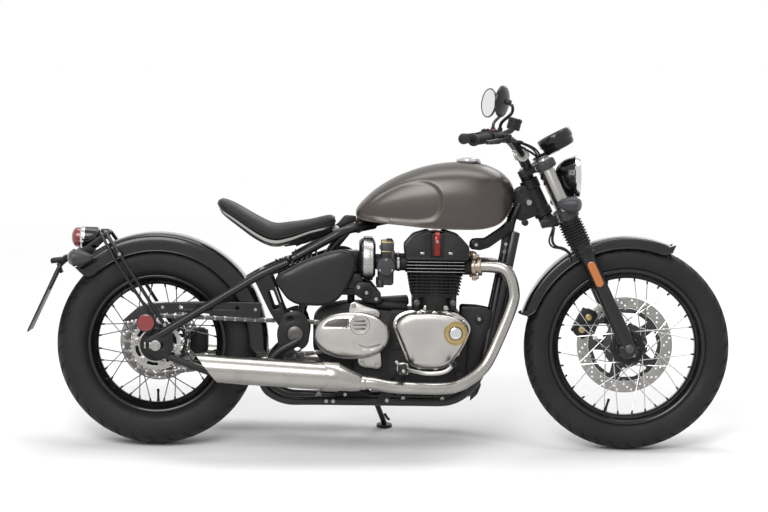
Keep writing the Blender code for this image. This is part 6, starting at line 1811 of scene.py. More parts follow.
def frame_pieces():
    """Spine, downtubes, cradle, castings, welds and bolts."""
    head_low = fork_point(0.490, -YOKE_OFFSET)
    spine_front = fork_point(0.494, -YOKE_OFFSET).lerp(fork_point(0.621, -YOKE_OFFSET), 0.62)
    tubes, castings, beads, lugs = (bmesh.new() for _ in range(4))
    bent_tube(tubes, [spine_front, (0.90, 0, 0.775), (0.640, 0, 0.716)], 0.022, 0.12)
    ring(castings, [(0.0140, 0.0040), (0.0285, 0.0040), (0.0300, 0.0060), (0.0300, 0.0290),
                    (0.0270, 0.0330), (0.0265, 0.0960), (0.0300, 0.1000), (0.0300, 0.1290),
                    (0.0285, 0.1310), (0.0140, 0.1310)], head_low, FORK_UP, 56)
    throat = [(1.137, 0.744), (1.165, 0.729), (1.222, 0.752), (1.200, 0.848), (1.165, 0.845),
              (1.141, 0.834)]
    for side, _ in SIDES:
        plate(castings, soft_outline(throat, 0.012), side * 0.0175, side * 0.0245, 0.002)
    block(castings, (1.168, 0, 0.793), (0.040, 0.036, 0.090), -0.2, 0.006)
    for place, radius in (((1.188, 0.0, 0.791), 0.0165), ((1.157, 0.0, 0.760), 0.0060),
                          ((1.160, 0.0, 0.826), 0.0060)):
        for side, _ in SIDES:
            rod(castings, mirrored((place[0], 0.018, place[2]), side),
                mirrored((place[0], 0.0262, place[2]), side), radius, 28)
    for y_half, x, z, radius in ((0.075, 0.640, 0.700, 0.013), (0.105, 0.52, CRADLE_HEIGHT, 0.011),
                                 (0.088, 1.010, 0.181, 0.011)):
        rod(tubes, (x, -y_half, z), (x, y_half, z), radius, 24)
    rod(lugs, PIVOT - ACROSS * 0.1545, PIVOT + ACROSS * 0.1545, 0.020, 40, 0.002)
    for share in (0.25, 0.80):
        place = DOWNTUBE_LOW.lerp(DOWNTUBE_HIGH, share) + stand_off() * 0.010
        reach = ACROSS * (0.090 - 0.050 * share)
        rod(tubes, place - reach, place + reach, 0.0075, 16)
    rod(tubes, SHOCK_TOP - ACROSS * 0.080, SHOCK_TOP + ACROSS * 0.080, 0.0115, 24)
    for side, _ in SIDES:
        bent_tube(tubes, [mirrored(p, side) for p in (
            (0.452, 0.1466, 0.345), (0.372, 0.1466, 0.300), (0.335, 0.1466, 0.198),
            (0.408, 0.135, 0.152), (0.500, 0.110, 0.152), (0.957, 0.110, 0.152),
            (1.036, 0.092, 0.225), (1.1345, 0.023, 0.742), (1.158, 0.013, 0.785))], 0.0138, 0.060)
        bent_tube(tubes, [mirrored(p, side) for p in (
            (0.431, 0.112, 0.603), (0.599, 0.098, 0.698), (0.655, 0.055, 0.706),
            (0.690, 0.012, 0.712))], 0.0138, 0.060)
        bent_tube(tubes, [mirrored(p, side) for p in (
            (0.452, 0.070, 0.380), (0.470, 0.070, 0.470), (0.560, 0.080, 0.640),
            (0.602, 0.091, 0.692))], 0.0138, 0.05)
        pivot_casting(castings, lugs, side)
        block(castings, (0.585, side * 0.088, 0.500), (0.233, 0.013, 0.021), 0.0, 0.003)
        for x in (0.480, 0.580):
            rod(castings, (x, side * 0.088, 0.500), (x, side * 0.1275, 0.500), 0.0068, 20)
        mount = [(0.626, 0.508), (0.634, 0.527), (0.650, 0.534), (0.682, 0.530), (0.719, 0.484),
                 (0.716, 0.470), (0.700, 0.464), (0.668, 0.471), (0.634, 0.490)]
        plate(castings, soft_outline(mount, 0.010), side * 0.084, side * 0.1190, 0.002)
        ring(castings, [(0.0105, 0.116), (0.0190, 0.116), (0.0190, 0.1215), (0.0175, 0.1235),
                        (0.0130, 0.1235), (0.0105, 0.1210)], (0.669, 0.0, 0.499), ACROSS * side,
             40)
        stay = [(0.999, 0.640), (1.004, 0.664), (1.018, 0.672), (1.048, 0.672), (1.100, 0.708),
                (1.128, 0.735), (1.135, 0.715), (1.122, 0.690), (1.060, 0.645), (1.030, 0.636)]
        plate(castings, soft_outline(stay), side * 0.050, side * 0.060, 0.002)
        rod(castings, (1.018, side * 0.045, 0.6545), (1.018, side * 0.0680, 0.6545), 0.0165, 32)
        bracket = [(1.096, 0.600), (1.106, 0.683), (1.130, 0.690), (1.134, 0.655), (1.124, 0.598)]
        plate(castings, soft_outline(bracket, 0.006), side * 0.040, side * 0.0480, 0.002)
        front_mount = [(0.972, 0.457), (1.030, 0.455), (1.074, 0.446), (1.066, 0.380),
                       (1.050, 0.300), (1.040, 0.236), (0.990, 0.205), (0.972, 0.230)]
        plate(castings, soft_outline(front_mount, 0.012), side * 0.072, side * 0.084, 0.002)
        rod(castings, (1.030, side * 0.070, 0.418), (1.030, side * 0.092, 0.418), 0.0150, 28)
        for x in (0.790, 0.915):
            block(castings, (x, side * 0.110, 0.165), (0.048, 0.012, 0.028), 0.0, 0.002)
        peg = [(0.700, 0.147), (0.740, 0.147), (0.801, 0.250), (0.801, 0.274), (0.772, 0.281),
               (0.743, 0.215)]
        plate(castings, soft_outline(peg), side * 0.1135, side * 0.1245, 0.002,
              [[(0.757 + x, 0.222 + z) for x, z in circle(0.008, 20)]])
        rear_plate = [(0.588, 0.186), (0.572, 0.166), (0.560, 0.140), (0.575, 0.1395),
                      (0.640, 0.1395), (0.690, 0.1395), (0.690, 0.168), (0.640, 0.186)]
        plate(castings, soft_outline(rear_plate), side * 0.096, side * 0.103, 0.0015)
        cradle_lug = [(1.005, 0.152), (1.012, 0.214), (1.034, 0.222), (1.041, 0.206),
                      (1.030, 0.176)]
        plate(castings, soft_outline(cradle_lug, 0.005), side * 0.060, side * 0.068, 0.0015)
        weld_bead(beads, mirrored((1.1345, 0.023, 0.742), side),
                  (DOWNTUBE_HIGH - DOWNTUBE_LOW), 0.0150)
        weld_bead(beads, mirrored((0.445, 0.1108, 0.6110), side), (0.171, 0, 0.097), 0.0150)
    rod(castings, (1.177, -0.024, 0.7255), (1.177, 0.024, 0.7255), 0.0105, 20)
    keep("frame_tubes", tubes, "satin", "chassis", "main_frame", angle=50)
    keep("frame_castings", castings, "powder", "chassis", angle=30)
    keep("frame_welds", beads, "satin", "chassis")
    keep("pivot_tube", lugs, "dark_steel", "chassis", angle=30)
    places = []
    for side, _ in SIDES:
        out = ACROSS * side
        for x, z, y in ((0.669, 0.499, 0.1175), (0.643, 0.516, 0.1190), (0.700, 0.479, 0.1190),
                        (1.030, 0.418, 0.0920), (1.018, 0.6545, 0.0680), (1.114, 0.657, 0.0480),
                        (1.110, 0.633, 0.0480), (0.545, 0.152, 0.1235), (0.567, 0.152, 0.1235),
                        (0.790, 0.164, 0.1158), (0.915, 0.164, 0.1158), (0.738, 0.1565, 0.1245),
                        (0.780, 0.266, 0.1245), (0.650, 0.158, 0.1030), (0.605, 0.172, 0.1030),
                        (0.672, 0.1565, 0.1030)):
            places.append((Vector((x, side * y, z)), out))
    bolts("frame_bolts", places, "steel", "chassis", 0.0062, 0.0055)
    bolts("head_bolts", [(mirrored((1.188, 0.0258, 0.791), side), ACROSS * side)
                         for side, _ in SIDES], "steel", "chassis", 0.0095, 0.006)


def stand_off():
    """The direction that looks ahead from the leaning downtubes."""
    along = (DOWNTUBE_HIGH - DOWNTUBE_LOW).normalized()
    return Vector((along.z, 0.0, -along.x))


def pivot_casting(bm, bright, side):
    """The lens-shaped plate over the swingarm's pivot, pierced twice, with a bright disc."""
    outline = [(0.397, 0.292), (0.430, 0.293), (0.486, 0.331), (0.492, 0.380), (0.476, 0.429),
               (0.448, 0.443), (0.403, 0.428), (0.384, 0.372)]
    holes = [[(0.428 + 0.0105 * c, 0.415 + 0.0075 * s) for c, s in circle(1.0, 28)],
             [(0.452 + 0.010 * c, 0.318 + 0.007 * s) for c, s in circle(1.0, 28)]]
    plate(bm, soft_outline(outline, 0.018), side * 0.1325, side * 0.1490, 0.0025, holes)
    ring(bm, [(0.0245, 0.147), (0.0300, 0.147), (0.0300, 0.1505), (0.0285, 0.1518),
              (0.0262, 0.1518), (0.0245, 0.1500)], (PIVOT.x, 0.0, PIVOT.z), ACROSS * side, 56)
    lathe(bright, [(0, 0.1548), (0.0125, 0.1548), (0.0140, 0.1535), (0.0195, 0.1535),
                   (0.0240, 0.1518), (0.0248, 0.1490), (0, 0.1490)], (PIVOT.x, 0.0, PIVOT.z),
          ACROSS * side, 56)


def swingarm_pieces():
    """Caged swingarm with its end plates and the rear axle."""
    bm, plates, bright = bmesh.new(), bmesh.new(), bmesh.new()
    outward = (ARM_CORNER - REAR_AXLE).normalized()
    rod(bm, REAR_AXLE + outward * 0.3595, ARM_CORNER, 0.0095, 20)
    rod(bm, (0.335, -ARM_HALF + 0.012, 0.555), (0.335, ARM_HALF - 0.012, 0.555), 0.013, 28)
    rod(bright, REAR_AXLE - ACROSS * 0.1398, REAR_AXLE + ACROSS * 0.1398, 0.0098, 32)
    for side, _ in SIDES:
        y = side * ARM_HALF
        bent_tube(bm, [ARM_REAR + ACROSS * y, ARM_CORNER + ACROSS * y,
                       (0.416, side * 0.1155, 0.5915)], 0.0138, 0.05)
        bent_tube(bm, [(0.012, side * 0.120, 0.299), (0.215, side * 0.120, 0.222),
                       (0.360, side * 0.120, 0.246), (0.438, side * 0.120, 0.333)], 0.0108, 0.07)
        axle_plate = [(-0.0385, 0.323), (-0.033, 0.341), (0.020, 0.373), (0.051, 0.371),
                      (0.057, 0.330), (0.047, 0.283), (0.010, 0.279), (-0.029, 0.301)]
        slot = [(x, z) for x, z in soft_outline(
            [(-0.0250, 0.3145), (0.0240, 0.3145), (0.0240, 0.3315), (-0.0250, 0.3315)], 0.008)]
        plate(plates, soft_outline(axle_plate, 0.010), side * 0.1195, side * 0.1305, 0.002, [slot])
        web = [(0.302, 0.555), (0.361, 0.558), (0.411, 0.429), (0.468, 0.391), (0.468, 0.346),
               (0.430, 0.332), (0.403, 0.373), (0.363, 0.431)]
        hole = [(x, z) for x, z in soft_outline(
            [(0.352, 0.500), (0.372, 0.505), (0.394, 0.448), (0.374, 0.440)], 0.007)]
        plate(plates, soft_outline(web, 0.014), side * 0.1205, side * 0.1295, 0.002, [hole])
        block(bright, (-0.004, side * 0.1300, 0.323), (0.034, 0.008, 0.019), 0.0, 0.002)
        ring(bright, [(0.0104, 0.133), (0.0165, 0.133), (0.0165, 0.1352), (0.0155, 0.1362),
                      (0.0104, 0.1362)], REAR_AXLE, ACROSS * side, 36)
        block(bright, (-0.0335, side * 0.1255, 0.323), (0.006, 0.013, 0.020), 0.0, 0.0015)
    keep("swingarm_tubes", bm, "satin", "chassis", "swingarm", angle=50)
    keep("swingarm_plates", plates, "powder", "chassis", angle=30)
    keep("rear_axle", bright, "steel", "chassis", angle=30)
    bolts("axle_nuts", [(REAR_AXLE + ACROSS * side * 0.1352, ACROSS * side)
                        for side, _ in SIDES], "steel", "chassis", 0.0125, 0.0045, True)
    shock_pieces()


def shock_pieces():
    """Shock absorber with its spring and both eyes."""
    axis = (SHOCK_TOP - SHOCK_LOW).normalized()
    length = (SHOCK_TOP - SHOCK_LOW).length
    body, coil, seats = bmesh.new(), bmesh.new(), bmesh.new()
    lathe(body, [(0, 0.0), (0.0115, 0.0), (0.0115, 0.030), (0.0138, 0.032), (0.0138, length * 0.55),
                 (0.0075, length * 0.56), (0.0075, length - 0.016), (0.0115, length - 0.014),
                 (0.0115, length), (0, length)], SHOCK_LOW, axis, 40)
    for height in (0.034, length - 0.040):
        ring(seats, [(0.0135, height), (0.0335, height), (0.0350, height + 0.0015),
                     (0.0350, height + 0.0050), (0.0335, height + 0.0065),
                     (0.0135, height + 0.0065)], SHOCK_LOW, axis, 56)
    turn = aligned(axis)
    low, high = 0.046, length - 0.046
    points = []
    for i in range(7 * 30 + 1):
        a = 2 * math.pi * i / 30
        points.append(SHOCK_LOW + turn @ Vector((0.0288 * math.cos(a), 0.0288 * math.sin(a),
                                                 low + (high - low) * i / 210)))
    tube(coil, points, 0.0054, 14)
    keep("shock_body", body, "dark_steel", "chassis", "shock_absorber")
    keep("shock_seats", seats, "satin", "chassis")
    keep("shock_coil", coil, "gloss", "chassis")


# Fork, front brake, lamp and instrument

FORK_HALF = 0.097
LOWER_YOKE = 0.470
UPPER_YOKE = 0.645
CALIPER_ANGLE = math.radians(152)


def fork_turn():
    """The fork's own axes: ahead, across, up."""
    return Matrix((FORK_AHEAD, ACROSS, FORK_UP)).transposed()


def yoke_plate(bm, up, thickness, reach):
    """A triple clamp from above, with a waist ahead of the stem."""
    outline = [(0.034, FORK_HALF - 0.012), (0.034, FORK_HALF + 0.012), (0.020, FORK_HALF + 0.031),
               (-0.020, FORK_HALF + 0.031), (-0.033, FORK_HALF + 0.008), (-0.036, 0.062),
               (-reach + 0.004, 0.034), (-reach - 0.022, 0.022), (-reach - 0.022, -0.022),
               (-reach + 0.004, -0.034), (-0.036, -0.062), (-0.033, -FORK_HALF - 0.008),
               (-0.020, -FORK_HALF - 0.031), (0.020, -FORK_HALF - 0.031),
               (0.034, -FORK_HALF - 0.012), (0.034, -FORK_HALF + 0.012), (0.014, -0.050),
               (0.014, 0.050), (0.034, FORK_HALF - 0.012)][:-1]
    lay = Matrix.Translation(fork_point(up)) @ fork_turn().to_4x4() \
        @ Matrix.Rotation(math.pi / 2, 4, 'X')
    plate(bm, [(x, -y) for x, y in soft_outline(outline, 0.014)], -thickness / 2, thickness / 2,
          0.003, turn=lay)


def fork_pieces():
    """Stanchions with a painted dark reflection line down each front, yokes, steering stem and
    nuts.
    """
    tubes, yokes, bright = bmesh.new(), bmesh.new(), bmesh.new()
    lines = bmesh.new()
    turn = fork_turn()
    for side, _ in SIDES:
        y = side * FORK_HALF
        rod(tubes, fork_point(0.3455, 0, y), fork_point(0.667, 0, y), 0.0203, 40)
        # A thin black rod down each stanchion's front paints the dark reflection seen in the
        # chrome.
        rod(lines, fork_point(0.500, 0.0203, y), fork_point(0.625, 0.0203, y), 0.0012, 8, 0.0004)
        lathe(bright, [(0, 0.0), (0.0200, 0.0), (0.0200, 0.0045), (0.0185, 0.006),
                       (0.0125, 0.006), (0.0115, 0.0035), (0, 0.0035)],
              fork_point(0.6665, 0, y), FORK_UP, 40)
        for up, half in ((LOWER_YOKE, 0.0155), (UPPER_YOKE, 0.0145)):
            ring(yokes, [(0.0205, -half), (0.0295, -half), (0.0312, -half + 0.002),
                         (0.0312, half - 0.002), (0.0295, half), (0.0205, half)],
                 fork_point(up, 0, y), FORK_UP, 48)
        for up in (LOWER_YOKE, UPPER_YOKE):
            place = fork_point(up, -0.0305, side * (FORK_HALF - 0.004))
            block(yokes, place, (0.014, 0.022, 0.024), 0.0, 0.003, turn)
    yoke_plate(yokes, LOWER_YOKE, 0.026, YOKE_OFFSET)
    yoke_plate(yokes, UPPER_YOKE, 0.024, YOKE_OFFSET)
    stem = bmesh.new()
    rod(stem, fork_point(LOWER_YOKE - 0.0125, -YOKE_OFFSET),
        fork_point(UPPER_YOKE + 0.0125, -YOKE_OFFSET), 0.0108, 24)
    rod(stem, fork_point(LOWER_YOKE - 0.0125, -YOKE_OFFSET),
        fork_point(LOWER_YOKE + 0.0235, -YOKE_OFFSET), 0.0237, 40)
    rod(stem, fork_point(UPPER_YOKE - 0.0235, -YOKE_OFFSET),
        fork_point(UPPER_YOKE + 0.0125, -YOKE_OFFSET), 0.0217, 40)
    for side, _ in SIDES:
        rod(stem, fork_point(UPPER_YOKE + 0.010, -0.052, side * 0.045),
            fork_point(UPPER_YOKE + 0.044, -0.052, side * 0.045), 0.0148, 32)
    keep("stanchions", tubes, "steel", "steering", "fork_yokes")
    # The stanchions' painted dark reflection lines.
    keep("stanchion_lines", lines, "powder", "steering")
    keep("yoke_castings", yokes, "graphite", "steering", angle=30)
    keep("steering_stem", stem, "powder", "steering", angle=30)
    caps = bmesh.new()
    lathe(caps, [(0, 0.0070), (0.0120, 0.0070), (0.0155, 0.0040), (0.0165, 0.0), (0, -0.002)],
          fork_point(UPPER_YOKE + 0.0125, -YOKE_OFFSET), FORK_UP, 6)
    keep("stem_nut", caps, "chrome", "steering", angle=20)
    keep("fork_caps", bright, "dark_steel", "steering", angle=30)
    places = []
    for side, _ in SIDES:
        for up in (LOWER_YOKE - 0.007, LOWER_YOKE + 0.007, UPPER_YOKE):
            places.append((fork_point(up, -0.0312, side * (FORK_HALF + 0.005)), ACROSS * side))
    bolts("yoke_bolts", places, "steel", "steering", 0.0050, 0.0045)
    stalk = bmesh.new()
    rod(stalk, fork_point(LOWER_YOKE + 0.004, 0.020), Vector((1.3215, 0, 0.825)), 0.0078, 20)
    block(stalk, fork_point(LOWER_YOKE + 0.004, 0.018), (0.016, 0.034, 0.022), 0.0, 0.003, turn)
    for side, _ in SIDES:
        ear = [(1.2890, 0.8235), (1.3250, 0.8050), (1.3370, 0.8250), (1.3320, 0.8430),
               (1.3060, 0.8420)]
        plate(stalk, soft_outline(ear, 0.006), side * 0.0120, side * 0.0158, 0.001)
    keep("lamp_bracket", stalk, "powder", "steering", angle=30)
    horn = bmesh.new()
    block(horn, (1.2560, 0.0, 0.7265), (0.056, 0.070, 0.028), 0.12, 0.005)
    block(horn, (1.2790, 0.0, 0.7440), (0.016, 0.030, 0.030), 0.12, 0.003)
    keep("hose_junction", horn, "plastic", "steering")
    gaiter_pieces()
    slider_pieces()


def gaiter_pieces():
    """Pleated rubber over each stanchion."""
    low, high, ribs = 0.355, 0.4537, 9
    for side, label in SIDES:
        profile = [(0.0212, low), (0.0262, low), (0.0268, low + 0.006)]
        step = (high - low - 0.014) / ribs
        for i in range(ribs):
            base = low + 0.007 + step * i
            grow = 0.0340 - 0.0022 * abs(i - ribs / 2) / ribs
            for share, radius in ((0.10, 0.0272), (0.32, grow - 0.0012), (0.46, grow),
                                  (0.58, grow), (0.72, grow - 0.0012), (0.95, 0.0272)):
                profile.append((radius, base + step * share))
        profile += [(0.0272, high - 0.007), (0.0285, high - 0.001), (0.0212, high - 0.0005)]
        bm = bmesh.new()
        ring(bm, profile, fork_point(0, 0, side * FORK_HALF), FORK_UP, 56)
        keep("gaiter_" + label, bm, "rubber", "steering", "fork_gaiter_" + label)


def slider_pieces():
    """Lower legs with their collars, the front axle and the amber reflectors."""
    legs, axle, collars = bmesh.new(), bmesh.new(), bmesh.new()
    turn = fork_turn()
    for side, _ in SIDES:
        y = side * FORK_HALF
        lathe(legs, [(0, -0.0300), (0.0150, -0.0300), (0.0205, -0.0270), (0.0225, -0.0210),
                     (0.0225, 0.0200), (0.0245, 0.0330), (0.0248, 0.120), (0.0232, 0.170),
                     (0.0232, 0.300), (0.0248, 0.318), (0.0248, 0.340), (0.0235, 0.3445),
                     (0.0207, 0.3445), (0.0207, 0.3350), (0, 0.3350)],
              fork_point(0, 0, y), FORK_UP, 48)
        ring(collars, [(0.0212, 0.3255), (0.0293, 0.3255), (0.0307, 0.3275), (0.0307, 0.3335),
                       (0.0286, 0.3350), (0.0286, 0.3400), (0.0300, 0.3412), (0.0300, 0.3520),
                       (0.0285, 0.3540), (0.0212, 0.3540)], fork_point(0, 0, y), FORK_UP, 48)
        block(legs, fork_point(-0.004, -0.010, y), (0.040, 0.036, 0.044), 0.0, 0.009, turn)
        block(legs, fork_point(-0.026, 0.004, y), (0.018, 0.034, 0.010), 0.0, 0.002, turn)
        rod(legs, fork_point(0.322, 0, side * 0.0605), fork_point(0.322, 0, side * 0.087),
            0.0098, 24)
        block(legs, fork_point(0.322, 0, side * 0.0700), (0.014, 0.016, 0.034), 0.0, 0.003, turn)
    lug_low, lug_high = fork_point(0.050, -0.024, FORK_HALF - 0.016), fork_point(
        0.122, -0.024, FORK_HALF - 0.016)
    for lug in (lug_low, lug_high):
        rod(legs, lug + ACROSS * 0.012, lug - FORK_AHEAD * 0.022 - ACROSS * 0.004, 0.0085, 20)
    rod(axle, FRONT_AXLE - ACROSS * 0.1308, FRONT_AXLE + ACROSS * 0.1308, 0.0098, 32)
    for side, _ in SIDES:
        lathe(axle, [(0, 0.0), (0.0125, 0.0), (0.0140, 0.0015), (0.0140, 0.0060), (0.0115, 0.0075),
                     (0, 0.0075)], FRONT_AXLE + ACROSS * side * 0.1225, ACROSS * side, 32)
    keep("fork_legs", legs, "satin", "steering", "fork_sliders", angle=35)
    keep("slider_collars", collars, "powder", "steering", angle=30)
    keep("front_axle", axle, "dark_steel", "steering", angle=30)
    places = [(fork_point(-0.0262, 0.004, side * (FORK_HALF + 0.0165)), ACROSS * side)
              for side, _ in SIDES]
    bolts("pinch_bolts", places, "steel", "steering", 0.0052, 0.0045)
    capsule, holders = bmesh.new(), bmesh.new()
    for side, _ in SIDES:
        centre = fork_point(0.262, 0.0, side * (FORK_HALF + 0.0245))
        outline = [(0.0125 * math.cos(a), 0.0310 * (1 if math.sin(a) > 0 else -1)
                    + 0.0125 * math.sin(a)) for a in (2 * math.pi * (i + 0.5) / 40
                                                      for i in range(40))]
        lay = Matrix.Translation(centre) @ turn.to_4x4()
        plate(capsule, outline, side * 0.001, side * 0.0055, 0.0012, turn=lay)
        plate(holders, [(x * 1.12, z * 1.06) for x, z in outline], -side * 0.0020, side * 0.0016,
              0.0008, turn=lay)
    keep("fork_reflectors", capsule, "amber_lens", "steering")
    keep("fork_reflector_backs", holders, "plastic", "steering")


def front_brake_pieces():
    """Black calliper over the disc's edge with two bronze caps, pads and banjo bolt."""
    reach = Vector((math.cos(CALIPER_ANGLE), 0.0, math.sin(CALIPER_ANGLE)))
    centre = FRONT_AXLE + reach * 0.150 + ACROSS * 0.057
    along = Vector((-reach.z, 0.0, reach.x))
    turn = Matrix((reach, ACROSS, along)).transposed()
    lay = Matrix.Translation(centre) @ turn.to_4x4()
    body, bright, gold = bmesh.new(), bmesh.new(), bmesh.new()
    outline = soft_outline([(-0.027, -0.040), (-0.020, -0.049), (0.010, -0.049), (0.0275, -0.030),
                            (0.0275, 0.030), (0.010, 0.049), (-0.020, 0.049), (-0.027, 0.040)],
                           0.010)
    for y_from, y_to in ((0.0065, 0.0215), (-0.0065, -0.0215)):
        plate(body, outline, y_from, y_to, 0.003, turn=lay)
    for z in (-0.036, 0.0, 0.036):
        block(body, centre + turn @ Vector((0.0205, 0.0, z)), (0.013, 0.030, 0.014), 0.0, 0.003,
              turn)
    for z in (-0.023, 0.023):
        for face in (-1, 1):
            base = centre + turn @ Vector((-0.003, face * 0.0205, z))
            lathe(gold, [(0, 0.0012), (0.0100, 0.0012), (0.0128, 0.0), (0.0140, -0.0020),
                         (0.0140, -0.006), (0, -0.006)], base, ACROSS * face, 36)
    for face in (-1, 1):
        block(bright, centre + turn @ Vector((-0.0060, face * 0.0050, 0.0)), (0.014, 0.0022, 0.076),
              0.0, 0.0008, turn)
    keep("front_calliper_body", body, "powder", "steering", "front_caliper", angle=30)
    keep("front_calliper_caps", gold, "bronze", "steering")
    keep("front_calliper_pads", bright, "dark_steel", "steering")
    lug = bmesh.new()
    rod(lug, centre + Vector((0.012, 0.016, 0.004)), fork_point(0.086, -0.012, FORK_HALF - 0.006),
        0.0080, 20)
    keep("calliper_carrier", lug, "steel", "steering")
    bolts("front_calliper_bolts", [
        (centre + turn @ Vector((0.0185, 0.0215, z)), ACROSS) for z in (-0.036, 0.036)], "steel",
          "steering", 0.0052, 0.0045)


LAMP_CENTRE = Vector((1.338, 0.0, 0.873))


def headlamp_pieces():
    """Lamp bowl, bright rim, reflector, glass and bracket."""
    bowl, rim, glass, inside, stay = (bmesh.new() for _ in range(5))
    lathe(bowl, [(0.0640, 0.004), (0.0680, 0.004), (0.0680, -0.006), (0.0645, -0.014),
                 (0.0620, -0.024), (0.0560, -0.038), (0.0450, -0.052), (0.0300, -0.062),
                 (0.0150, -0.0665), (0.0, -0.068)], LAMP_CENTRE, AHEAD, 72)
    lathe(bowl, [(0.0, -0.064), (0.0150, -0.0625), (0.0300, -0.058), (0.0440, -0.048),
                 (0.0560, -0.032), (0.0640, 0.004)], LAMP_CENTRE, AHEAD, 72)
    ring(rim, [(0.0630, 0.0105), (0.0660, 0.0135), (0.0700, 0.0110), (0.0720, 0.0040),
               (0.0715, -0.0040), (0.0690, -0.0065), (0.0678, 0.0020)], LAMP_CENTRE, AHEAD, 96)
    lathe(glass, [(0.0, 0.0190), (0.020, 0.0183), (0.040, 0.0162), (0.056, 0.0126),
                  (0.0638, 0.0098), (0.0638, 0.0075), (0.056, 0.0100), (0.040, 0.0136),
                  (0.020, 0.0158), (0.0, 0.0165)], LAMP_CENTRE, AHEAD, 72)
    lathe(inside, [(0.0620, 0.0060), (0.050, -0.018), (0.036, -0.034), (0.018, -0.044),
                   (0.0, -0.047), (0.0, -0.052), (0.020, -0.048), (0.038, -0.038),
                   (0.052, -0.022), (0.0634, 0.0060), (0.0620, 0.0060)], LAMP_CENTRE, AHEAD, 56)
    lathe(inside, [(0, -0.014), (0.012, -0.015), (0.0135, -0.020), (0.0135, -0.045), (0, -0.045)],
          LAMP_CENTRE, AHEAD, 32)
    for i in range(6):
        a = 2 * math.pi * i / 6
        block(inside, LAMP_CENTRE + Vector((-0.012, 0.033 * math.cos(a), 0.033 * math.sin(a))),
              (0.026, 0.0018, 0.036), 0.0, 0.0005, Matrix.Rotation(a + math.pi / 2, 3, 'X'))
    foot_low = Vector((1.3215, 0, 0.825))
    rod(stay, foot_low - AHEAD * 0.004, LAMP_CENTRE - UP * 0.055 - AHEAD * 0.010, 0.0085, 24)
    for side, _ in SIDES:
        rod(stay, LAMP_CENTRE + Vector((-0.018, side * 0.055, 0.0)),
            LAMP_CENTRE + Vector((-0.018, side * 0.0655, 0.0)), 0.0090, 24)
    keep("lamp_bowl", bowl, "gloss", "steering", "headlamp", angle=40)
    keep("lamp_rim", rim, "chrome", "steering")
    keep("lamp_glass", glass, "glass", "steering")
    keep("lamp_reflector", inside, "mirror", "steering", angle=50)
    keep("lamp_foot", stay, "powder", "steering")


def instrument_pieces():
    """Round clock with a bevelled rim, printed ticks, a needle and a small window."""
    tilt = math.radians(28)
    axis = Vector((-math.sin(tilt), 0.0, math.cos(tilt)))
    face = Vector((1.262, 0.0, 1.012))
    turn = aligned(axis, AHEAD)
    cup, rim, dial, marks, glass = (bmesh.new() for _ in range(5))
    lathe(cup, [(0, -0.056), (0.030, -0.0552), (0.047, -0.0525), (0.0515, -0.046),
                (0.0530, -0.032), (0.0560, -0.0285), (0.0560, -0.006), (0.0500, -0.006),
                (0.0500, -0.010), (0, -0.010)], face, axis, 72)
    ring(rim, [(0.0485, -0.0012), (0.0520, 0.0), (0.0552, -0.0012), (0.0572, -0.0045),
               (0.0572, -0.0270), (0.0556, -0.0295), (0.0545, -0.0270), (0.0545, -0.0080),
               (0.0485, -0.0080)], face, axis, 96)
    lathe(dial, [(0, -0.0085), (0.0486, -0.0085), (0.0486, -0.0105), (0, -0.0105)], face, axis, 64)
    lathe(glass, [(0, -0.0022), (0.0487, -0.0022), (0.0487, -0.0038), (0, -0.0038)], face, axis,
          64)
    for i in range(37):
        a = math.radians(-135 + 7.5 * i)
        long = i % 4 == 0
        reach = Vector((math.cos(a), -math.sin(a), 0.0))
        place = face + axis * -0.0082 + turn @ (reach * (0.0415 if long else 0.0432))
        spin = turn @ Matrix.Rotation(-a, 3, 'Z')
        block(marks, place, (0.0075 if long else 0.0040, 0.0013 if long else 0.0007, 0.0008), 0.0,
              0.0, spin)
    needle = turn @ Matrix.Rotation(math.radians(118), 3, 'Z')
    block(marks, face - axis * 0.0070 + needle @ Vector((0.014, 0, 0)), (0.040, 0.0016, 0.0010),
          0.0, 0.0, needle)
    rod(marks, face - axis * 0.0084, face - axis * 0.0060, 0.0042, 24, 0.0006)
    keep("clock_cup", cup, "satin", "steering", "instrument", angle=30)
    keep("clock_rim", rim, "gloss", "steering")
    keep("clock_dial", dial, "dial", "steering")
    keep("clock_marks", marks, "white_mark", "steering")
    keep("clock_glass", glass, "glass", "steering")
    window = bmesh.new()
    block(window, face - axis * 0.0082 - turn @ Vector((0.021, 0, 0)), (0.015, 0.026, 0.0006),
          0.0, 0.0, turn)
    keep("clock_window", window, "plastic", "steering")
    foot = fork_point(0.6593, 0.003)
    post = bmesh.new()
    rod(post, foot, foot + FORK_UP * 0.020, 0.0088, 24)
    rod(post, foot + FORK_UP * 0.012, face - axis * 0.050, 0.0078, 24)
    for side, _ in SIDES:
        rod(post, foot + FORK_UP * 0.014 + ACROSS * side * 0.004,
            face - axis * 0.046 + ACROSS * side * 0.026, 0.0040, 16)
    keep("clock_stay", post, "powder", "steering", angle=30)


def bullet(bm_shell, bm_lens, place, facing):
    """A bullet-shaped indicator: a tapering shell and a domed lens."""
    split = 0.0196
    lathe(bm_shell, [(0.0, -0.038), (0.0045, -0.0372), (0.0080, -0.0350), (0.0125, -0.0290),
                     (0.0175, -0.0190), (0.0220, -0.0070), (0.0258, 0.0060), (0.0272, split),
                     (0.0280, split), (0.0280, split + 0.0055), (0.0262, split + 0.0060),
                     (0.0, split + 0.0060)], place, facing, 48)
    lathe(bm_lens, [(0.0, 0.0418), (0.0080, 0.0412), (0.0155, 0.0385), (0.0212, 0.0335),
                    (0.0243, 0.0285), (0.0256, split + 0.0055), (0.0256, split), (0.0, split)],
          place, facing, 48)


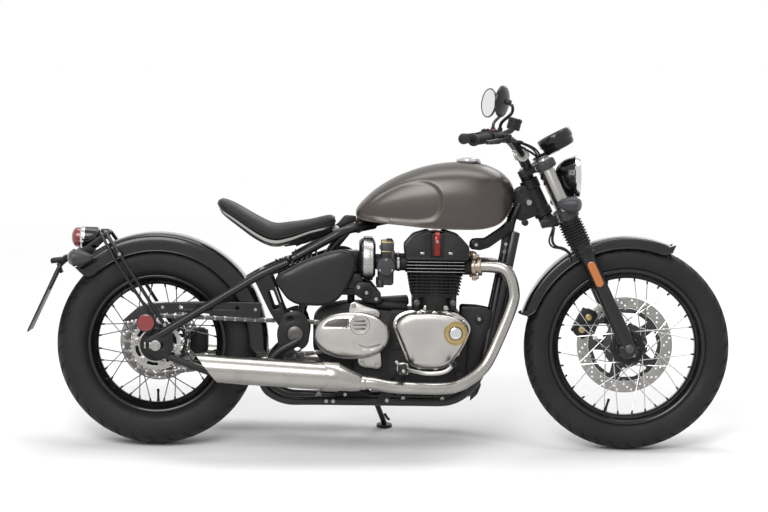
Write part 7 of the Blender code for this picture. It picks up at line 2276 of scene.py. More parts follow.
def indicator_pieces(name, node, x, lamp_x, z, spread, facing, body, lens, inner):
    """A cross bar with a bullet indicator at either end."""
    shell, glass, bar = bmesh.new(), bmesh.new(), bmesh.new()
    for side, _ in SIDES:
        place = Vector((lamp_x, side * spread, z))
        bullet(shell, glass, place, AHEAD * facing)
        rod(bar, (x, side * inner, z), (x, side * (spread - 0.018), z), 0.0062, 20)
        rod(bar, (x, side * (spread - 0.040), z), (x, side * (spread - 0.016), z), 0.0088, 24)
    rod(bar, (x, -inner - 0.01, z), (x, inner + 0.01, z), 0.0055, 20)
    keep(name + "_bar", bar, "powder", body, node)
    keep(name + "_shells", shell, "graphite", body)
    keep(name + "_lenses", glass, lens, body)


def front_indicator_pieces():
    """The indicators beside the headlamp."""
    indicator_pieces("front_indicator", "front_indicators", 1.3378, 1.306, 0.790, 0.162, 1,
                     "steering", "smoke_lens", 0.030)


# Handlebar, controls, mirrors and cables

BAR_RISE = Vector((1.120, 0.175, 1.002))
GRIP_INNER = Vector((1.040, 0.275, 0.997))
GRIP_OUTER = Vector((0.989, 0.400, 0.990))


def bar_path():
    """The handlebar's centre line from clamp to grip."""
    middle = fork_point(0.7003, -0.052)
    half = [middle + ACROSS * 0.075, BAR_RISE, GRIP_INNER, GRIP_OUTER]
    corners = [mirrored(p, RIGHT) for p in reversed(half)] + half
    return filleted(corners, 0.062, 10, closed=False)


def handlebar_pieces():
    """Bar, grips, end weights, clamps and both control sets."""
    bar, grips, ends, clamps = (bmesh.new() for _ in range(4))
    tube(bar, bar_path(), 0.0109, 28)
    for side, _ in SIDES:
        inner, outer = mirrored(GRIP_INNER, side), mirrored(GRIP_OUTER, side)
        along = (outer - inner).normalized()
        length = (outer - inner).length
        profile = [(0.0110, 0.0), (0.0180, 0.0), (0.0180, 0.0035), (0.0160, 0.0050)]
        ribs = 24
        for i in range(ribs):
            start = 0.008 + (length - 0.028) * i / ribs
            step = (length - 0.028) / ribs
            profile += [(0.0156, start), (0.0163, start + step * 0.25),
                        (0.0163, start + step * 0.7), (0.0156, start + step * 0.95)]
        profile += [(0.0160, length - 0.016), (0.0183, length - 0.012), (0.0183, length - 0.002),
                    (0.0160, length), (0.0110, length)]
        ring(grips, profile, inner, along, 40)
        lathe(ends, [(0.0, 0.0), (0.0105, 0.0), (0.0125, -0.0012), (0.0125, -0.006),
                     (0.0, -0.006)], outer, along, 32)
        clamp = fork_point(0.7003, -0.052, side * 0.045)
        ring(clamps, [(0.0112, -0.0170), (0.0185, -0.0170), (0.0200, -0.0150), (0.0200, 0.0150),
                      (0.0185, 0.0170), (0.0112, 0.0170)], clamp, ACROSS, 40)
        block(clamps, clamp + FORK_UP * 0.002, (0.044, 0.032, 0.026), 0.0, 0.005, fork_turn())
    keep("bar_tube", bar, "satin", "steering", "handlebar", angle=50)
    keep("grip_sleeves", grips, "rubber", "steering")
    keep("grip_ends", ends, "powder", "steering")
    keep("bar_clamps", clamps, "alloy", "steering", angle=30)
    spots = [(fork_point(0.7003, -0.052 + reach, side * 0.045 + across) + FORK_UP * 0.0195,
              FORK_UP) for side, _ in SIDES for reach in (-0.016, 0.016)
             for across in (-0.009, 0.009)]
    bolts("bar_clamp_bolts", spots, "steel", "steering", 0.0042, 0.004)
    for side, label, node in ((RIGHT, "right", "brake_control"), (LEFT, "left",
                                                                  "clutch_control")):
        control_pieces(side, label, node)


def control_pieces(side, label, node):
    """Switch box, lever, its clamp and, on the right, the fluid reservoir."""
    rise, inner = mirrored(BAR_RISE, side), mirrored(GRIP_INNER, side)
    along = (inner - rise).normalized()
    start = inner - along * 0.010
    up = (UP - along * along.z).normalized()
    front = along.cross(up).normalized()
    if front.x < 0:
        front = -front
    box, lever, bright, red = (bmesh.new() for _ in range(4))
    lathe(box, [(0.0118, -0.0460), (0.0195, -0.0460), (0.0208, -0.0445), (0.0208, -0.0250),
                (0.0200, -0.0240), (0.0208, -0.0230), (0.0208, -0.0020), (0.0195, 0.0),
                (0.0118, 0.0), (0.0118, -0.0460)], start, along, 40)
    ring(box, [(0.0118, -0.084), (0.0160, -0.084), (0.0168, -0.0825), (0.0168, -0.0455),
               (0.0118, -0.0455)], start, along, 36)
    turn = Matrix((along, front * (1 if side < 0 else 1), up)).transposed()
    block(box, start - along * 0.023 + up * 0.0195, (0.034, 0.020, 0.012), 0.0, 0.003, turn)
    block(box, start - along * 0.064 + front * 0.018, (0.034, 0.022, 0.020), 0.0, 0.004, turn)
    keep("control_box_" + label, box, "plastic", "steering", node, angle=30)
    pivot = start - along * 0.050 + front * 0.040
    route = [start - along * 0.062 + front * 0.022, pivot,
             mirrored((1.084, 0.268, 0.9905), side), mirrored((1.068, 0.300, 0.990), side),
             mirrored((1.048, 0.355, 0.987), side), mirrored((1.031, 0.402, 0.984), side)]
    path = smooth_path(route, 40)
    radii = [0.0052 + 0.0012 * math.sin(math.pi * i / 40) for i in range(36)] + [
        0.0060, 0.0066, 0.0072, 0.0070, 0.0058]
    tube(lever, path, radii, 20, 0.72, UP)
    rod(lever, pivot - up * 0.010, pivot + up * 0.010, 0.0078, 24)
    keep("hand_lever_" + label, lever, "powder", "steering")
    rod(bright, pivot + up * 0.0098, pivot + up * 0.0118, 0.0045, 20, 0.0004)
    keep("lever_screw_" + label, bright, "steel", "steering")
    for k, offset in enumerate((-0.014, -0.032)):
        rod(red, start + along * offset + up * 0.0235 - front * 0.002,
            start + along * offset + up * 0.0275 - front * 0.002, 0.0048 - 0.0008 * k, 24, 0.0008)
    block(red, start - along * 0.012 - front * 0.019, (0.012, 0.005, 0.010), 0.0, 0.0015, turn)
    keep("switches_" + label, red, "red_paint" if side == RIGHT else "powder", "steering")
    if side == RIGHT:
        pot_low, pot_high = Vector((1.125, -0.150, 1.024)), Vector((1.134, -0.150, 1.0615))
        pot, lid = bmesh.new(), bmesh.new()
        axis = (pot_high - pot_low).normalized()
        lathe(pot, [(0, 0.0), (0.0200, 0.0), (0.0212, 0.0015), (0.0215, 0.026), (0.0226, 0.0270),
                    (0.0226, 0.0330), (0, 0.0330)], pot_low, axis, 48)
        tube(pot, smooth_path([start - along * 0.076 + UP * 0.010, (1.118, -0.176, 1.022),
                               (1.128, -0.152, 1.034)], 12), 0.0088, 20)
        lathe(lid, [(0, 0.0378), (0.0180, 0.0378), (0.0215, 0.0362), (0.0226, 0.0335),
                    (0, 0.0335)], pot_low, axis, 48)
        keep("fluid_reservoir", pot, "plastic", "steering")
        keep("reservoir_lid", lid, "powder", "steering", angle=30)
        turned_lid = aligned(axis)
        bolts("reservoir_screws", [
            (pot_low + axis * 0.0370 + turned_lid @ Vector((0.0165 * math.cos(a),
                                                           0.0165 * math.sin(a), 0)), axis)
            for a in (math.radians(45 + 90 * i) for i in range(4))], "steel", "steering", 0.0024,
              0.0018)
        sight = bmesh.new()
        rod(sight, pot_low + axis * 0.014 - AHEAD * 0.0195, pot_low + axis * 0.014
            - AHEAD * 0.0228, 0.0058, 24, 0.0006)
        keep("reservoir_window", sight, "glass", "steering")


def mirror_pieces():
    """Round mirrors on curved stems."""
    for side, label in SIDES:
        centre = Vector((1.072, side * 0.415, 1.112))
        toe = math.radians(26)
        normal = Vector((-math.cos(toe), -side * math.sin(toe), 0.10)).normalized()
        shell, glass, stem, joint = (bmesh.new() for _ in range(4))
        lathe(shell, [(0.0465, -0.0008), (0.0485, -0.0002), (0.0498, -0.0022), (0.0496, -0.0060),
                      (0.0480, -0.0085), (0.0400, -0.0130), (0.0280, -0.0175),
                      (0.0140, -0.0208), (0.0, -0.0216), (0.0, -0.0040), (0.0465, -0.0040),
                      (0.0465, -0.0008)], centre, normal, 80)
        lathe(glass, [(0.0, -0.0010), (0.0455, -0.0018), (0.0464, -0.0030), (0.0464, -0.0042),
                      (0.0, -0.0042)], centre, normal, 80)
        route = [(1.0807, side * 0.2243, 1.0182), (1.0807, side * 0.2243, 1.030),
                 (1.086, side * 0.240, 1.048), (1.112, side * 0.290, 1.075),
                 (1.112, side * 0.345, 1.097), (1.100, side * 0.372, 1.104),
                 centre - normal * 0.016]
        path = smooth_path(route, 60)
        tube(stem, path, 0.0052, 20)
        rod(joint, path[0] - UP * 0.001, path[0] + UP * 0.012, 0.0088, 6, 0.0008)
        rod(joint, centre - normal * 0.0345, centre - normal * 0.0175, 0.0072, 24,
            end_radius=0.0105)
        keep("mirror_shell_" + label, shell, "satin", "steering", "mirror_" + label, angle=35)
        keep("mirror_glass_" + label, glass, "mirror", "steering")
        keep("mirror_stem_" + label, stem, "satin", "steering")
        keep("mirror_joint_" + label, joint, "powder", "steering", angle=30)


def cord_piece(name, path, radius, replaces=()):
    """A cable fixed at both ends, swept along its own path."""
    bm = bmesh.new()
    tube(bm, path, radius, 16)
    piece = keep(name, bm, "rubber", "steering", replaces)


def cable_pieces():
    """The brake hose as the CAD routes it, then short cables from the bar to the head."""
    ends = bmesh.new()
    top = fork_point(0.4568, -0.058, -0.031)
    route = [top, top - FORK_UP * 0.014, top + Vector((0.0023, -0.0070, -0.0488)),
             top + Vector((0.0133, -0.0190, -0.0668)), top + Vector((0.0363, -0.0310, -0.0728)),
             (1.316, -0.0648, 0.632), (1.322, -0.0648, 0.604)]
    path = smooth_path(route, 70)
    cord_piece("brake_line", path, 0.0043, "brake_hose")
    twin = [p + Vector((-0.0105, 0.0040, -0.0020)) * math.sin(math.pi * min(1.0, i / 60))
            for i, p in enumerate(path)]
    cord_piece("sensor_lead", twin[2:66], 0.0030)
    for place, axis in ((path[0], path[1] - path[0]), (path[-1], path[-2] - path[-1])):
        rod(ends, place, place + axis.normalized() * 0.016, 0.0056, 6, 0.0006)
    for side, label in SIDES:
        rise, inner = mirrored(BAR_RISE, side), mirrored(GRIP_INNER, side)
        along = (inner - rise).normalized()
        start = inner - along * 0.010
        for k, low in enumerate(((1.232, side * 0.050, 0.905), (1.238, side * 0.056, 0.888))):
            if side == LEFT and k:
                continue
            box_end = start - along * (0.046 if k == 0 else 0.080) + Vector((0.012, 0, -0.012))
            cable = smooth_path([box_end, box_end - along * 0.036 + Vector((0.022, 0, -0.004)),
                                 (1.150, side * 0.130, 0.985 - 0.012 * k),
                                 (1.205, side * 0.082, 0.960 - 0.020 * k), low,
                                 Vector(low) + Vector((-0.002, -side * 0.018, -0.040))], 48)
            cord_piece(f"control_cable_{label}_{k + 1}", cable, 0.0032 if k == 0 else 0.0038)
            rod(ends, cable[0], cable[2], 0.0046, 16, 0.0005)
    keep("hose_ends", ends, "dark_steel", "steering", angle=30)


# Mudguards, rear loop, lamps, chain guard, foot controls, radiator and stand

GUARD_STEPS = 120
GUARD_WALL = 0.0017
CORNER_DRAW = 0.020
CORNER_SPAN = 5.5


def corner_draw(edge):
    """How far the skirt is drawn up at that many degrees from the sheet's end."""
    return CORNER_DRAW * max(0.0, 1 - edge / CORNER_SPAN) ** 2


def guard_sheet(bm, centre, radius, half, skirt, first, last):
    """A curved sheet with a pressed line on either side."""
    section = [(-skirt, half), (-skirt * 0.66, half), (-skirt * 0.30, half),
               (-skirt * 0.17, half * 0.965), (-skirt * 0.07, half * 0.87),
               (-0.0012, half * 0.70), (0.0, half * 0.55), (0.0, half * 0.40),
               (0.0, half * 0.18), (0.0, 0.0)]
    full = section + [(r, -y) for r, y in reversed(section[:-1])]
    count = len(full)
    inner = []
    for i, (r, y) in enumerate(full):
        ahead, behind = full[min(i + 1, count - 1)], full[max(i - 1, 0)]
        step = Vector((ahead[0] - behind[0], ahead[1] - behind[1])).normalized()
        inner.append((r - abs(step.y) * GUARD_WALL,
                      y - math.copysign(abs(step.x), y) * GUARD_WALL
                      if abs(y) > 1e-6 else 0.0))
    loop = full + list(reversed(inner))
    rings = []
    for k in range(GUARD_STEPS + 1):
        share = k / GUARD_STEPS
        angle = math.radians(first + (last - first) * share)
        draw = corner_draw(min(share, 1 - share) * abs(last - first))
        out = around((0, 0, 0), 1.0, angle)
        rings.append([centre + out * (radius + r + (draw if r < -skirt * 0.25 else 0.0))
                      + ACROSS * y for r, y in loop])
    loft(bm, rings)


def hem(bm, centre, radius, half, skirt, first, last):
    """The rolled wire along both lower edges of a mudguard."""
    for side, _ in SIDES:
        points = []
        for k in range(91):
            angle = math.radians(first + (last - first) * k / 90)
            draw = corner_draw(min(k, 90 - k) / 90 * abs(last - first))
            out = around((0, 0, 0), 1.0, angle)
            points.append(centre + out * (radius - skirt + draw + 0.002)
                          + ACROSS * side * (half - 0.0012))
        tube(bm, points, 0.0028, 10)


def mudguard_pieces():
    """Both mudguards, their rolled edges and the front one's stays."""
    for name, centre, radius, half, skirt, first, last, body in (
            ("front", FRONT_AXLE, 0.355, 0.060, 0.038, 65.4, 163.6, "steering"),
            ("rear", REAR_AXLE, 0.357, 0.086, 0.059, -4.6, 137.2, "chassis")):
        sheet, edges = bmesh.new(), bmesh.new()
        guard_sheet(sheet, centre, radius, half, skirt, first, last)
        keep(name + "_guard", sheet, "gloss", body, name + "_mudguard", angle=45)
        hem(edges, centre, radius, half, skirt, first, last)
        keep(name + "_guard_hem", edges, "satin", body)
    stays, places = bmesh.new(), []
    for side, _ in SIDES:
        place = fork_point(0.322, 0.0, side * 0.0600)
        block(stays, place, (0.030, 0.0030, 0.044), 0.0, 0.001, fork_turn())
        for up in (-0.012, 0.012):
            places.append((fork_point(0.322 + up, 0.0, side * 0.0618), ACROSS * side))
    keep("front_guard_stays", stays, "powder", "steering")
    bolts("front_guard_bolts", places, "steel", "steering", 0.0042, 0.003)


def loop_pieces():
    """The tubular loop that stands on the swingarm behind the seat."""
    hoop, carrier, plates = bmesh.new(), bmesh.new(), bmesh.new()
    normal = Vector((-(ARM_CORNER - ARM_REAR).z, 0.0, (ARM_CORNER - ARM_REAR).x)).normalized()
    foot = ARM_REAR.lerp(Vector((0.325, 0, 0.552)), 0.085) + normal * 0.0143
    for side, _ in SIDES:
        route = [mirrored(p, side) for p in ((0.028, 0.122, 0.3885), (-0.118, 0.118, 0.612),
                                             (-0.163, 0.104, 0.676))]
        for shift in (0.0, 0.022):
            points = [p + Vector((-shift * 0.83, 0.0, -shift * 0.55)) for p in route]
            if shift:
                points = [points[0] + Vector((0.010, 0, -0.012)), points[1], points[2]]
                points[2] = points[2] + Vector((0.006, 0, 0.006))
            end = points[-1] + Vector((-0.004, -side * 0.030, 0.003))
            path = filleted([*points, end, (end.x - 0.002, 0.0, end.z)], 0.030, 6, closed=False)
            tube(hoop, path, 0.0058 if not shift else 0.0050, 18)
        low = mirrored((0.028, 0.122, 0.3885), side)
        rod(hoop, foot + ACROSS * side * ARM_HALF, low + normal * 0.004, 0.0050, 16)
        block(hoop, low + Vector((0.004, 0.0, 0.0)), (0.020, 0.013, 0.016), -0.9, 0.003)
        strip = [(-0.160, 0.664), (-0.156, 0.676), (-0.166, 0.6825), (-0.235, 0.6315),
                 (-0.2915, 0.602), (-0.2895, 0.5935), (-0.262, 0.606), (-0.222, 0.606)]
        plate(plates, soft_outline(strip, 0.005), side * 0.0373, side * 0.0427, 0.001,
              [[(-0.205 + 0.011 * c, 0.632 + 0.006 * s) for c, s in circle(1.0, 20)]])
    block(carrier, (-0.174, 0.0, 0.6775), (0.026, 0.034, 0.020), 0.0, 0.004)
    block(carrier, (-0.170, 0.0, 0.6700), (0.012, 0.200, 0.010), 0.0, 0.003)
    keep("rear_hoop", hoop, "satin", "chassis", "mudguard_loop", angle=40)
    keep("lamp_carrier", carrier, "powder", "chassis")
    keep("loop_strips", plates, "powder", "chassis", angle=30)
    places = [(mirrored((x, y, z), side), ACROSS * side) for side, _ in SIDES
              for x, y, z in ((0.0285, 0.1285, 0.3885), (-0.118, 0.1238, 0.612),
                              (-0.170, 0.0427, 0.668), (-0.270, 0.0427, 0.6065))]
    bolts("loop_bolts", places, "steel", "chassis", 0.0055, 0.0035)


def rear_lamp_pieces():
    """Round tail lamp and the rear indicators."""
    base = Vector((-0.189, 0.0, 0.660))
    back = -AHEAD
    shell, lens, rim = bmesh.new(), bmesh.new(), bmesh.new()
    lathe(shell, [(0, 0), (0.0215, 0.0), (0.0255, 0.0010), (0.0315, 0.0055), (0.0335, 0.0110),
                  (0.0338, 0.0500), (0.0, 0.0500)], base, back, 64)
    ring(rim, [(0.0330, 0.0470), (0.0345, 0.0480), (0.0348, 0.0520), (0.0348, 0.0600),
               (0.0335, 0.0625), (0.0310, 0.0625), (0.0310, 0.0470)], base, back, 72)
    profile = [(0.0, 0.0905)]
    for i in range(1, 12):
        reach = 0.0300 * i / 12
        height = 0.0905 - 0.0115 * (i / 12) ** 3.2 + (0.0004 if i % 2 else -0.0004)
        profile.append((reach, height))
    profile += [(0.0312, 0.0770), (0.0318, 0.0700), (0.0315, 0.0600), (0.0, 0.0600)]
    lathe(lens, profile, base, back, 64)
    keep("tail_lamp_shell", shell, "gloss", "chassis", "tail_lamp", angle=40)
    keep("tail_lamp_rim", rim, "chrome", "chassis")
    keep("tail_lamp_lens", lens, "red_lens", "chassis", angle=60)
    indicator_pieces("rear_indicator", "rear_indicators", -0.238, -0.238, 0.6, 0.150, -1,
                     "chassis", "smoke_lens", 0.030)
    plate_pieces()
    rear_brake_pieces()


def plate_pieces():
    """Blank number plate, its holder and the side reflector."""
    top, low = Vector((-0.312, 0.0, 0.577)), Vector((-0.412, 0.0, 0.358))
    along = (top - low).normalized()
    out = Vector((-along.z, 0.0, along.x))
    turn = Matrix((out, ACROSS, along)).transposed()
    centre = (top + low) / 2
    length = (top - low).length
    board, rim, arm, lamp, lens = (bmesh.new() for _ in range(5))
    outline = soft_outline([(-0.0898, -length / 2), (0.0898, -length / 2), (0.0898, length / 2),
                            (-0.0898, length / 2)], 0.012)
    lay = Matrix.Translation(centre) @ turn.to_4x4() @ Matrix.Rotation(math.pi / 2, 4, 'Z')
    plate(board, outline, -0.0019, 0.0019, 0.0006, turn=lay)
    inner = soft_outline([(-0.0835, -length / 2 + 0.006), (0.0835, -length / 2 + 0.006),
                          (0.0835, length / 2 - 0.006), (-0.0835, length / 2 - 0.006)], 0.009)
    edge = [lay @ Vector((x, -0.0016, z)) for x, z in inner]
    tube(rim, edge + edge[:1], 0.0010, 8)
    arm_outline = [(-0.2865, 0.587), (-0.298, 0.5955), (-0.321, 0.574), (-0.351, 0.492),
                   (-0.3465, 0.489), (-0.311, 0.566)]
    for side, _ in SIDES:
        plate(arm, soft_outline(arm_outline, 0.005), side * 0.0155, side * 0.0200, 0.001)
    block(arm, (-0.3170, 0.0, 0.560), (0.010, 0.034, 0.034), 0.35, 0.002)
    block(arm, (-0.2984, 0.0, 0.596), (0.0115, 0.088, 0.013), 0.0, 0.003)
    block(lamp, (-0.322, 0.0, 0.5855), (0.048, 0.058, 0.017), 0.12, 0.005)
    block(lens, (-0.332, 0.0, 0.5785), (0.026, 0.044, 0.005), 0.12, 0.0015)
    keep("plate_board", board, "plastic", "chassis", "plate_holder", angle=30)
    keep("plate_edge", rim, "satin", "chassis")
    keep("plate_arm", arm, "powder", "chassis", angle=30)
    keep("plate_lamp", lamp, "plastic", "chassis")
    keep("plate_lamp_lens", lens, "glass", "chassis")
    bolts("plate_bolts", [(lay @ Vector((x, -0.0019, z)), out) for x in (-0.06, 0.06)
                          for z in (0.085,)], "steel", "chassis", 0.0055, 0.003)
    disc, ring_form = bmesh.new(), bmesh.new()
    centre = Vector((-0.031, -0.1400, 0.396))
    rod(disc, centre, centre - ACROSS * 0.0075, 0.0268, 48, 0.0012)
    ring(ring_form, [(0.0262, -0.001), (0.0285, -0.001), (0.0285, 0.0060), (0.0275, 0.0072),
                     (0.0262, 0.0072)], centre, -ACROSS, 56)
    block(ring_form, centre + Vector((0.018, 0.008, -0.016)), (0.040, 0.012, 0.016), 0.9, 0.003)
    keep("side_reflector", disc, "red_lens", "chassis")
    keep("side_reflector_rim", ring_form, "plastic", "chassis")


def rear_brake_pieces():
    """Rear calliper with its cap."""
    centre = Vector((0.129, 0.094, 0.323))
    body, gold = bmesh.new(), bmesh.new()
    outline = soft_outline([(-0.029, -0.034), (-0.014, -0.044), (0.018, -0.044), (0.0295, -0.026),
                            (0.0295, 0.026), (0.018, 0.044), (-0.014, 0.044), (-0.029, 0.034)],
                           0.009)
    lay = Matrix.Translation(centre)
    for y_from, y_to in ((0.0065, 0.0225), (-0.0065, -0.0225)):
        plate(body, outline, y_from, y_to, 0.003, turn=lay)
    for z in (-0.032, 0.032):
        block(body, centre + Vector((0.0220, 0.0, z)), (0.013, 0.030, 0.014), 0.0, 0.003)
    rod(body, (0.062, 0.121, 0.3395), (0.110, 0.1105, 0.331), 0.0062, 20)
    lathe(gold, [(0, 0.0012), (0.0130, 0.0012), (0.0165, 0.0), (0.0180, -0.0020),
                 (0.0180, -0.006), (0, -0.006)], centre + ACROSS * 0.0215, ACROSS, 40)
    keep("rear_calliper_body", body, "powder", "chassis", "rear_caliper", angle=30)
    keep("rear_calliper_cap", gold, "bronze", "chassis")
    bolts("rear_calliper_bolts", [(centre + Vector((0.0215, 0.0225, z)), ACROSS)
                                  for z in (-0.032, 0.032)], "steel", "chassis", 0.005, 0.004)


def chain_guard_pieces():
    """Guard over the chain's upper run."""
    outline = [(-0.109, 0.396), (-0.055, 0.447), (0.012, 0.459), (0.136, 0.464),
               (0.337, 0.462), (0.331, 0.411), (0.200, 0.420), (0.136, 0.428),
               (0.020, 0.428), (-0.040, 0.410)]
    holes = [[(x + rx, 0.4445 + rz) for rx, rz in circle(0.0065, 28)]
             for x in (0.078, 0.168, 0.258)]
    bm = bmesh.new()
    plate(bm, soft_outline(outline, 0.008), -0.1086, -0.1102, 0.0004, holes)
    keep("chain_guard_sheet", bm, "gloss", "chassis", "chain_guard", angle=30)
    lip = bmesh.new()
    edge = filleted([(-0.106, -0.1085, 0.3975), (-0.054, -0.1085, 0.4455),
                     (0.012, -0.1085, 0.4575), (0.136, -0.1085, 0.4625),
                     (0.334, -0.1085, 0.4605)], 0.03, 6, closed=False)
    tube(lip, edge, 0.0022, 10)
    for x in (0.078, 0.168, 0.258):
        ring(lip, [(0.0064, 0.0003), (0.0082, 0.0003), (0.0078, 0.0013), (0.0064, 0.0013)],
             (x, -0.1098, 0.4445), -ACROSS, 32)
    keep("chain_guard_lip", lip, "satin", "chassis")
    bolts("chain_guard_bolts", [(Vector((x, -0.1102, z)), -ACROSS) for x, z in (
        (0.020, 0.444), (0.316, 0.440))], "steel", "chassis", 0.0052, 0.003)


def foot_pieces():
    """Footrests, their brackets, the gear lever and the brake pedal."""
    for side, label in SIDES:
        bracket, peg, lever, toe, joint = (bmesh.new() for _ in range(5))
        at = Vector((0.787, 0.0, 0.263))
        rod(bracket, at + ACROSS * side * 0.1255, at + ACROSS * side * 0.186, 0.0115, 28)
        lathe(bracket, [(0, 0.0), (0.0155, 0.0), (0.0155, 0.010), (0.0130, 0.014), (0, 0.014)],
              at + ACROSS * side * 0.1255, ACROSS * side, 32)
        block(bracket, at + Vector((-0.001, side * 0.186, 0.0)), (0.030, 0.014, 0.030), 0.0, 0.005)
        profile = [(0.0060, 0.0), (0.0120, 0.0), (0.0127, 0.002)]
        for i in range(13):
            base = 0.005 + 0.0058 * i
            profile += [(0.0127, base), (0.0127, base + 0.0036), (0.0116, base + 0.0044),
                        (0.0116, base + 0.0054)]
        profile += [(0.0127, 0.0810), (0.0127, 0.0900), (0.0105, 0.0930), (0.0060, 0.0930)]
        ring(peg, profile, at + ACROSS * side * 0.191, ACROSS * side, 36)
        rod(joint, at + ACROSS * side * 0.180, at + ACROSS * side * 0.2838, 0.0062, 20)
        rod(joint, at + Vector((0.013, side * 0.1865, 0.0)) - UP * 0.018,
            at + Vector((0.013, side * 0.1865, 0.0)) + UP * 0.018, 0.0045, 20)
        path = smooth_path([mirrored(p, side) for p in ((0.787, 0.180, 0.263),
                                                        (0.825, 0.203, 0.256),
                                                        (0.862, 0.221, 0.252),
                                                        (0.905, 0.227, 0.255),
                                                        (0.930, 0.228, 0.266),
                                                        (0.944, 0.228, 0.284))], 40)
        tube(lever, path, 0.0066, 20, 0.8, UP)
        rod(lever, mirrored((0.787, 0.1735, 0.263), side), mirrored((0.787, 0.1845, 0.263), side),
            0.0135 if side == LEFT else 0.0200, 40)
        if side == RIGHT:
            rod(lever, (0.783, -0.1790, 0.267), (0.763, -0.1790, 0.287), 0.0060, 20)
        ring(toe, [(0.0040, -0.0015), (0.0090, -0.0015), (0.0097, 0.0), (0.0097, 0.0545),
                   (0.0090, 0.0560), (0.0040, 0.0560)], (0.945, side * 0.206, 0.285),
             ACROSS * side, 28)
        keep("peg_bracket_" + label, bracket, "powder", "chassis", "foot_control_" + label,
             angle=30)
        keep("peg_rubber_" + label, peg, "rubber", "chassis", angle=30)
        keep("peg_pins_" + label, joint, "steel", "chassis")
        keep("foot_lever_" + label, lever, "alloy", "chassis")
        keep("toe_piece_" + label, toe, "rubber", "chassis")


def radiator_pieces():
    """Radiator core with slats between its two tanks."""
    place = DOWNTUBE_LOW.lerp(DOWNTUBE_HIGH, 0.54) + stand_off() * 0.018
    along = (DOWNTUBE_HIGH - DOWNTUBE_LOW).normalized()
    turn = Matrix((stand_off(), ACROSS, along)).transposed()
    core, tanks = bmesh.new(), bmesh.new()
    block(core, place, (0.017, 0.140, 0.394), 0.0, 0.002, turn)
    for side, _ in SIDES:
        block(tanks, place + ACROSS * side * 0.0775, (0.027, 0.0165, 0.397), 0.0, 0.005, turn)
    for share in (-1, 1):
        block(tanks, place + along * share * 0.1955, (0.026, 0.168, 0.007), 0.0, 0.002, turn)
    slat = bmesh.new()
    block(slat, (0, 0, 0), (0.1385, 0.0008, 0.0030), 0.0, 0.0)
    places = [spot(place + stand_off() * 0.0088 + along * (-0.189 + 0.0063 * i),
                   along, ACROSS) for i in range(61)]
    keep("radiator_core", core, "powder", "chassis", "radiator", angle=30)
    keep("radiator_tanks", tanks, "satin", "chassis", angle=30)
    keep("radiator_slats", copies_of(slat, places), "graphite", "chassis")


def stand_pieces():
    """Side stand from its pivot to the foot on the floor."""
    pivot = Vector((0.700, 0.150, 0.148))
    down = Vector((0.26, 0.56, -0.79)).normalized()
    folded = Vector((-0.995, 0.05, 0.08)).normalized()
    axis = down.cross(folded).normalized()
    leg, pad, pin = (bmesh.new() for _ in range(3))
    floor_down = PARKED.to_3x3().inverted() @ Vector((0, 0, -1))
    drop = (PARKED @ pivot).z / -(PARKED.to_3x3() @ down).z
    foot = pivot + down * drop
    tube(leg, [pivot + down * 0.012, pivot + down * 0.030, foot - floor_down * 0.012],
         [0.0098, 0.0088, 0.0088], 24)
    ring(leg, [(0.0066, -0.0105), (0.0155, -0.0105), (0.0168, -0.0090), (0.0168, 0.0090),
               (0.0155, 0.0105), (0.0066, 0.0105)], pivot, axis, 40)
    rod(pad, foot - floor_down * 0.0095, foot - floor_down * 0.0003, 0.0255, 48, 0.0012)
    tang = foot - floor_down * 0.028 + folded * -0.012
    tube(leg, smooth_path([foot - floor_down * 0.045, tang, tang - folded * 0.006], 12), 0.0045,
         12)
    keep("stand_leg", leg, "satin", "stand", "side_stand", angle=30)
    keep("stand_foot", pad, "powder", "stand", angle=30)
    near = pivot - axis * 0.0185
    rod(pin, near, pivot + axis * 0.016, 0.0058, 20)
    rod(pin, pivot + axis * 0.0125, pivot + axis * 0.0180, 0.0098, 6, 0.0008)
    rod(pin, near - axis * 0.0060, near + axis * 0.0055, 0.0168, 36, 0.001)
    root = Vector((0.700, 0.110, 0.152))
    rod(pin, root, near - axis * 0.003, 0.0098, 24)
    keep("stand_pin", pin, "dark_steel", "chassis", angle=30)


# Floor, lamps and camera

SENSOR = 36.0
CAMERA_PLACE = Vector((0.589, -9.8, 1.043))
CAMERA_AIM = Vector((0.7246, 0.0, 0.6117))
FRAME_WIDTH = 2.474


def floor_material(look):
    """A pale floor that keeps the shadow and fades into the white surround."""
    finish = Finish("studio_floor", tuple(look.floor_colour), 0.9)
    tree = finish.tree
    out = next(node for node in tree.nodes if node.type == 'OUTPUT_MATERIAL')
    glow = tree.nodes.new('ShaderNodeEmission')
    reach = tree.nodes.new('ShaderNodeVectorMath')
    reach.operation = 'LENGTH'
    tree.links.new(finish.place, reach.inputs[0])
    fade = remap(tree, reach.outputs['Value'], look.floor_clear, look.floor_clear * 2.6)
    rays = tree.nodes.new('ShaderNodeLightPath')
    seen = maths(tree, 'MAXIMUM', rays.outputs['Is Camera Ray'], rays.outputs['Is Glossy Ray'])
    seen = maths(tree, 'MAXIMUM', seen, rays.outputs['Is Transmission Ray'])
    mix = tree.nodes.new('ShaderNodeMixShader')
    tree.links.new(maths(tree, 'MULTIPLY', fade, seen), mix.inputs['Fac'])
    tree.links.new(finish.shader.outputs['BSDF'], mix.inputs[1])
    tree.links.new(glow.outputs['Emission'], mix.inputs[2])
    tree.links.new(mix.outputs['Shader'], out.inputs['Surface'])
    return finish.material


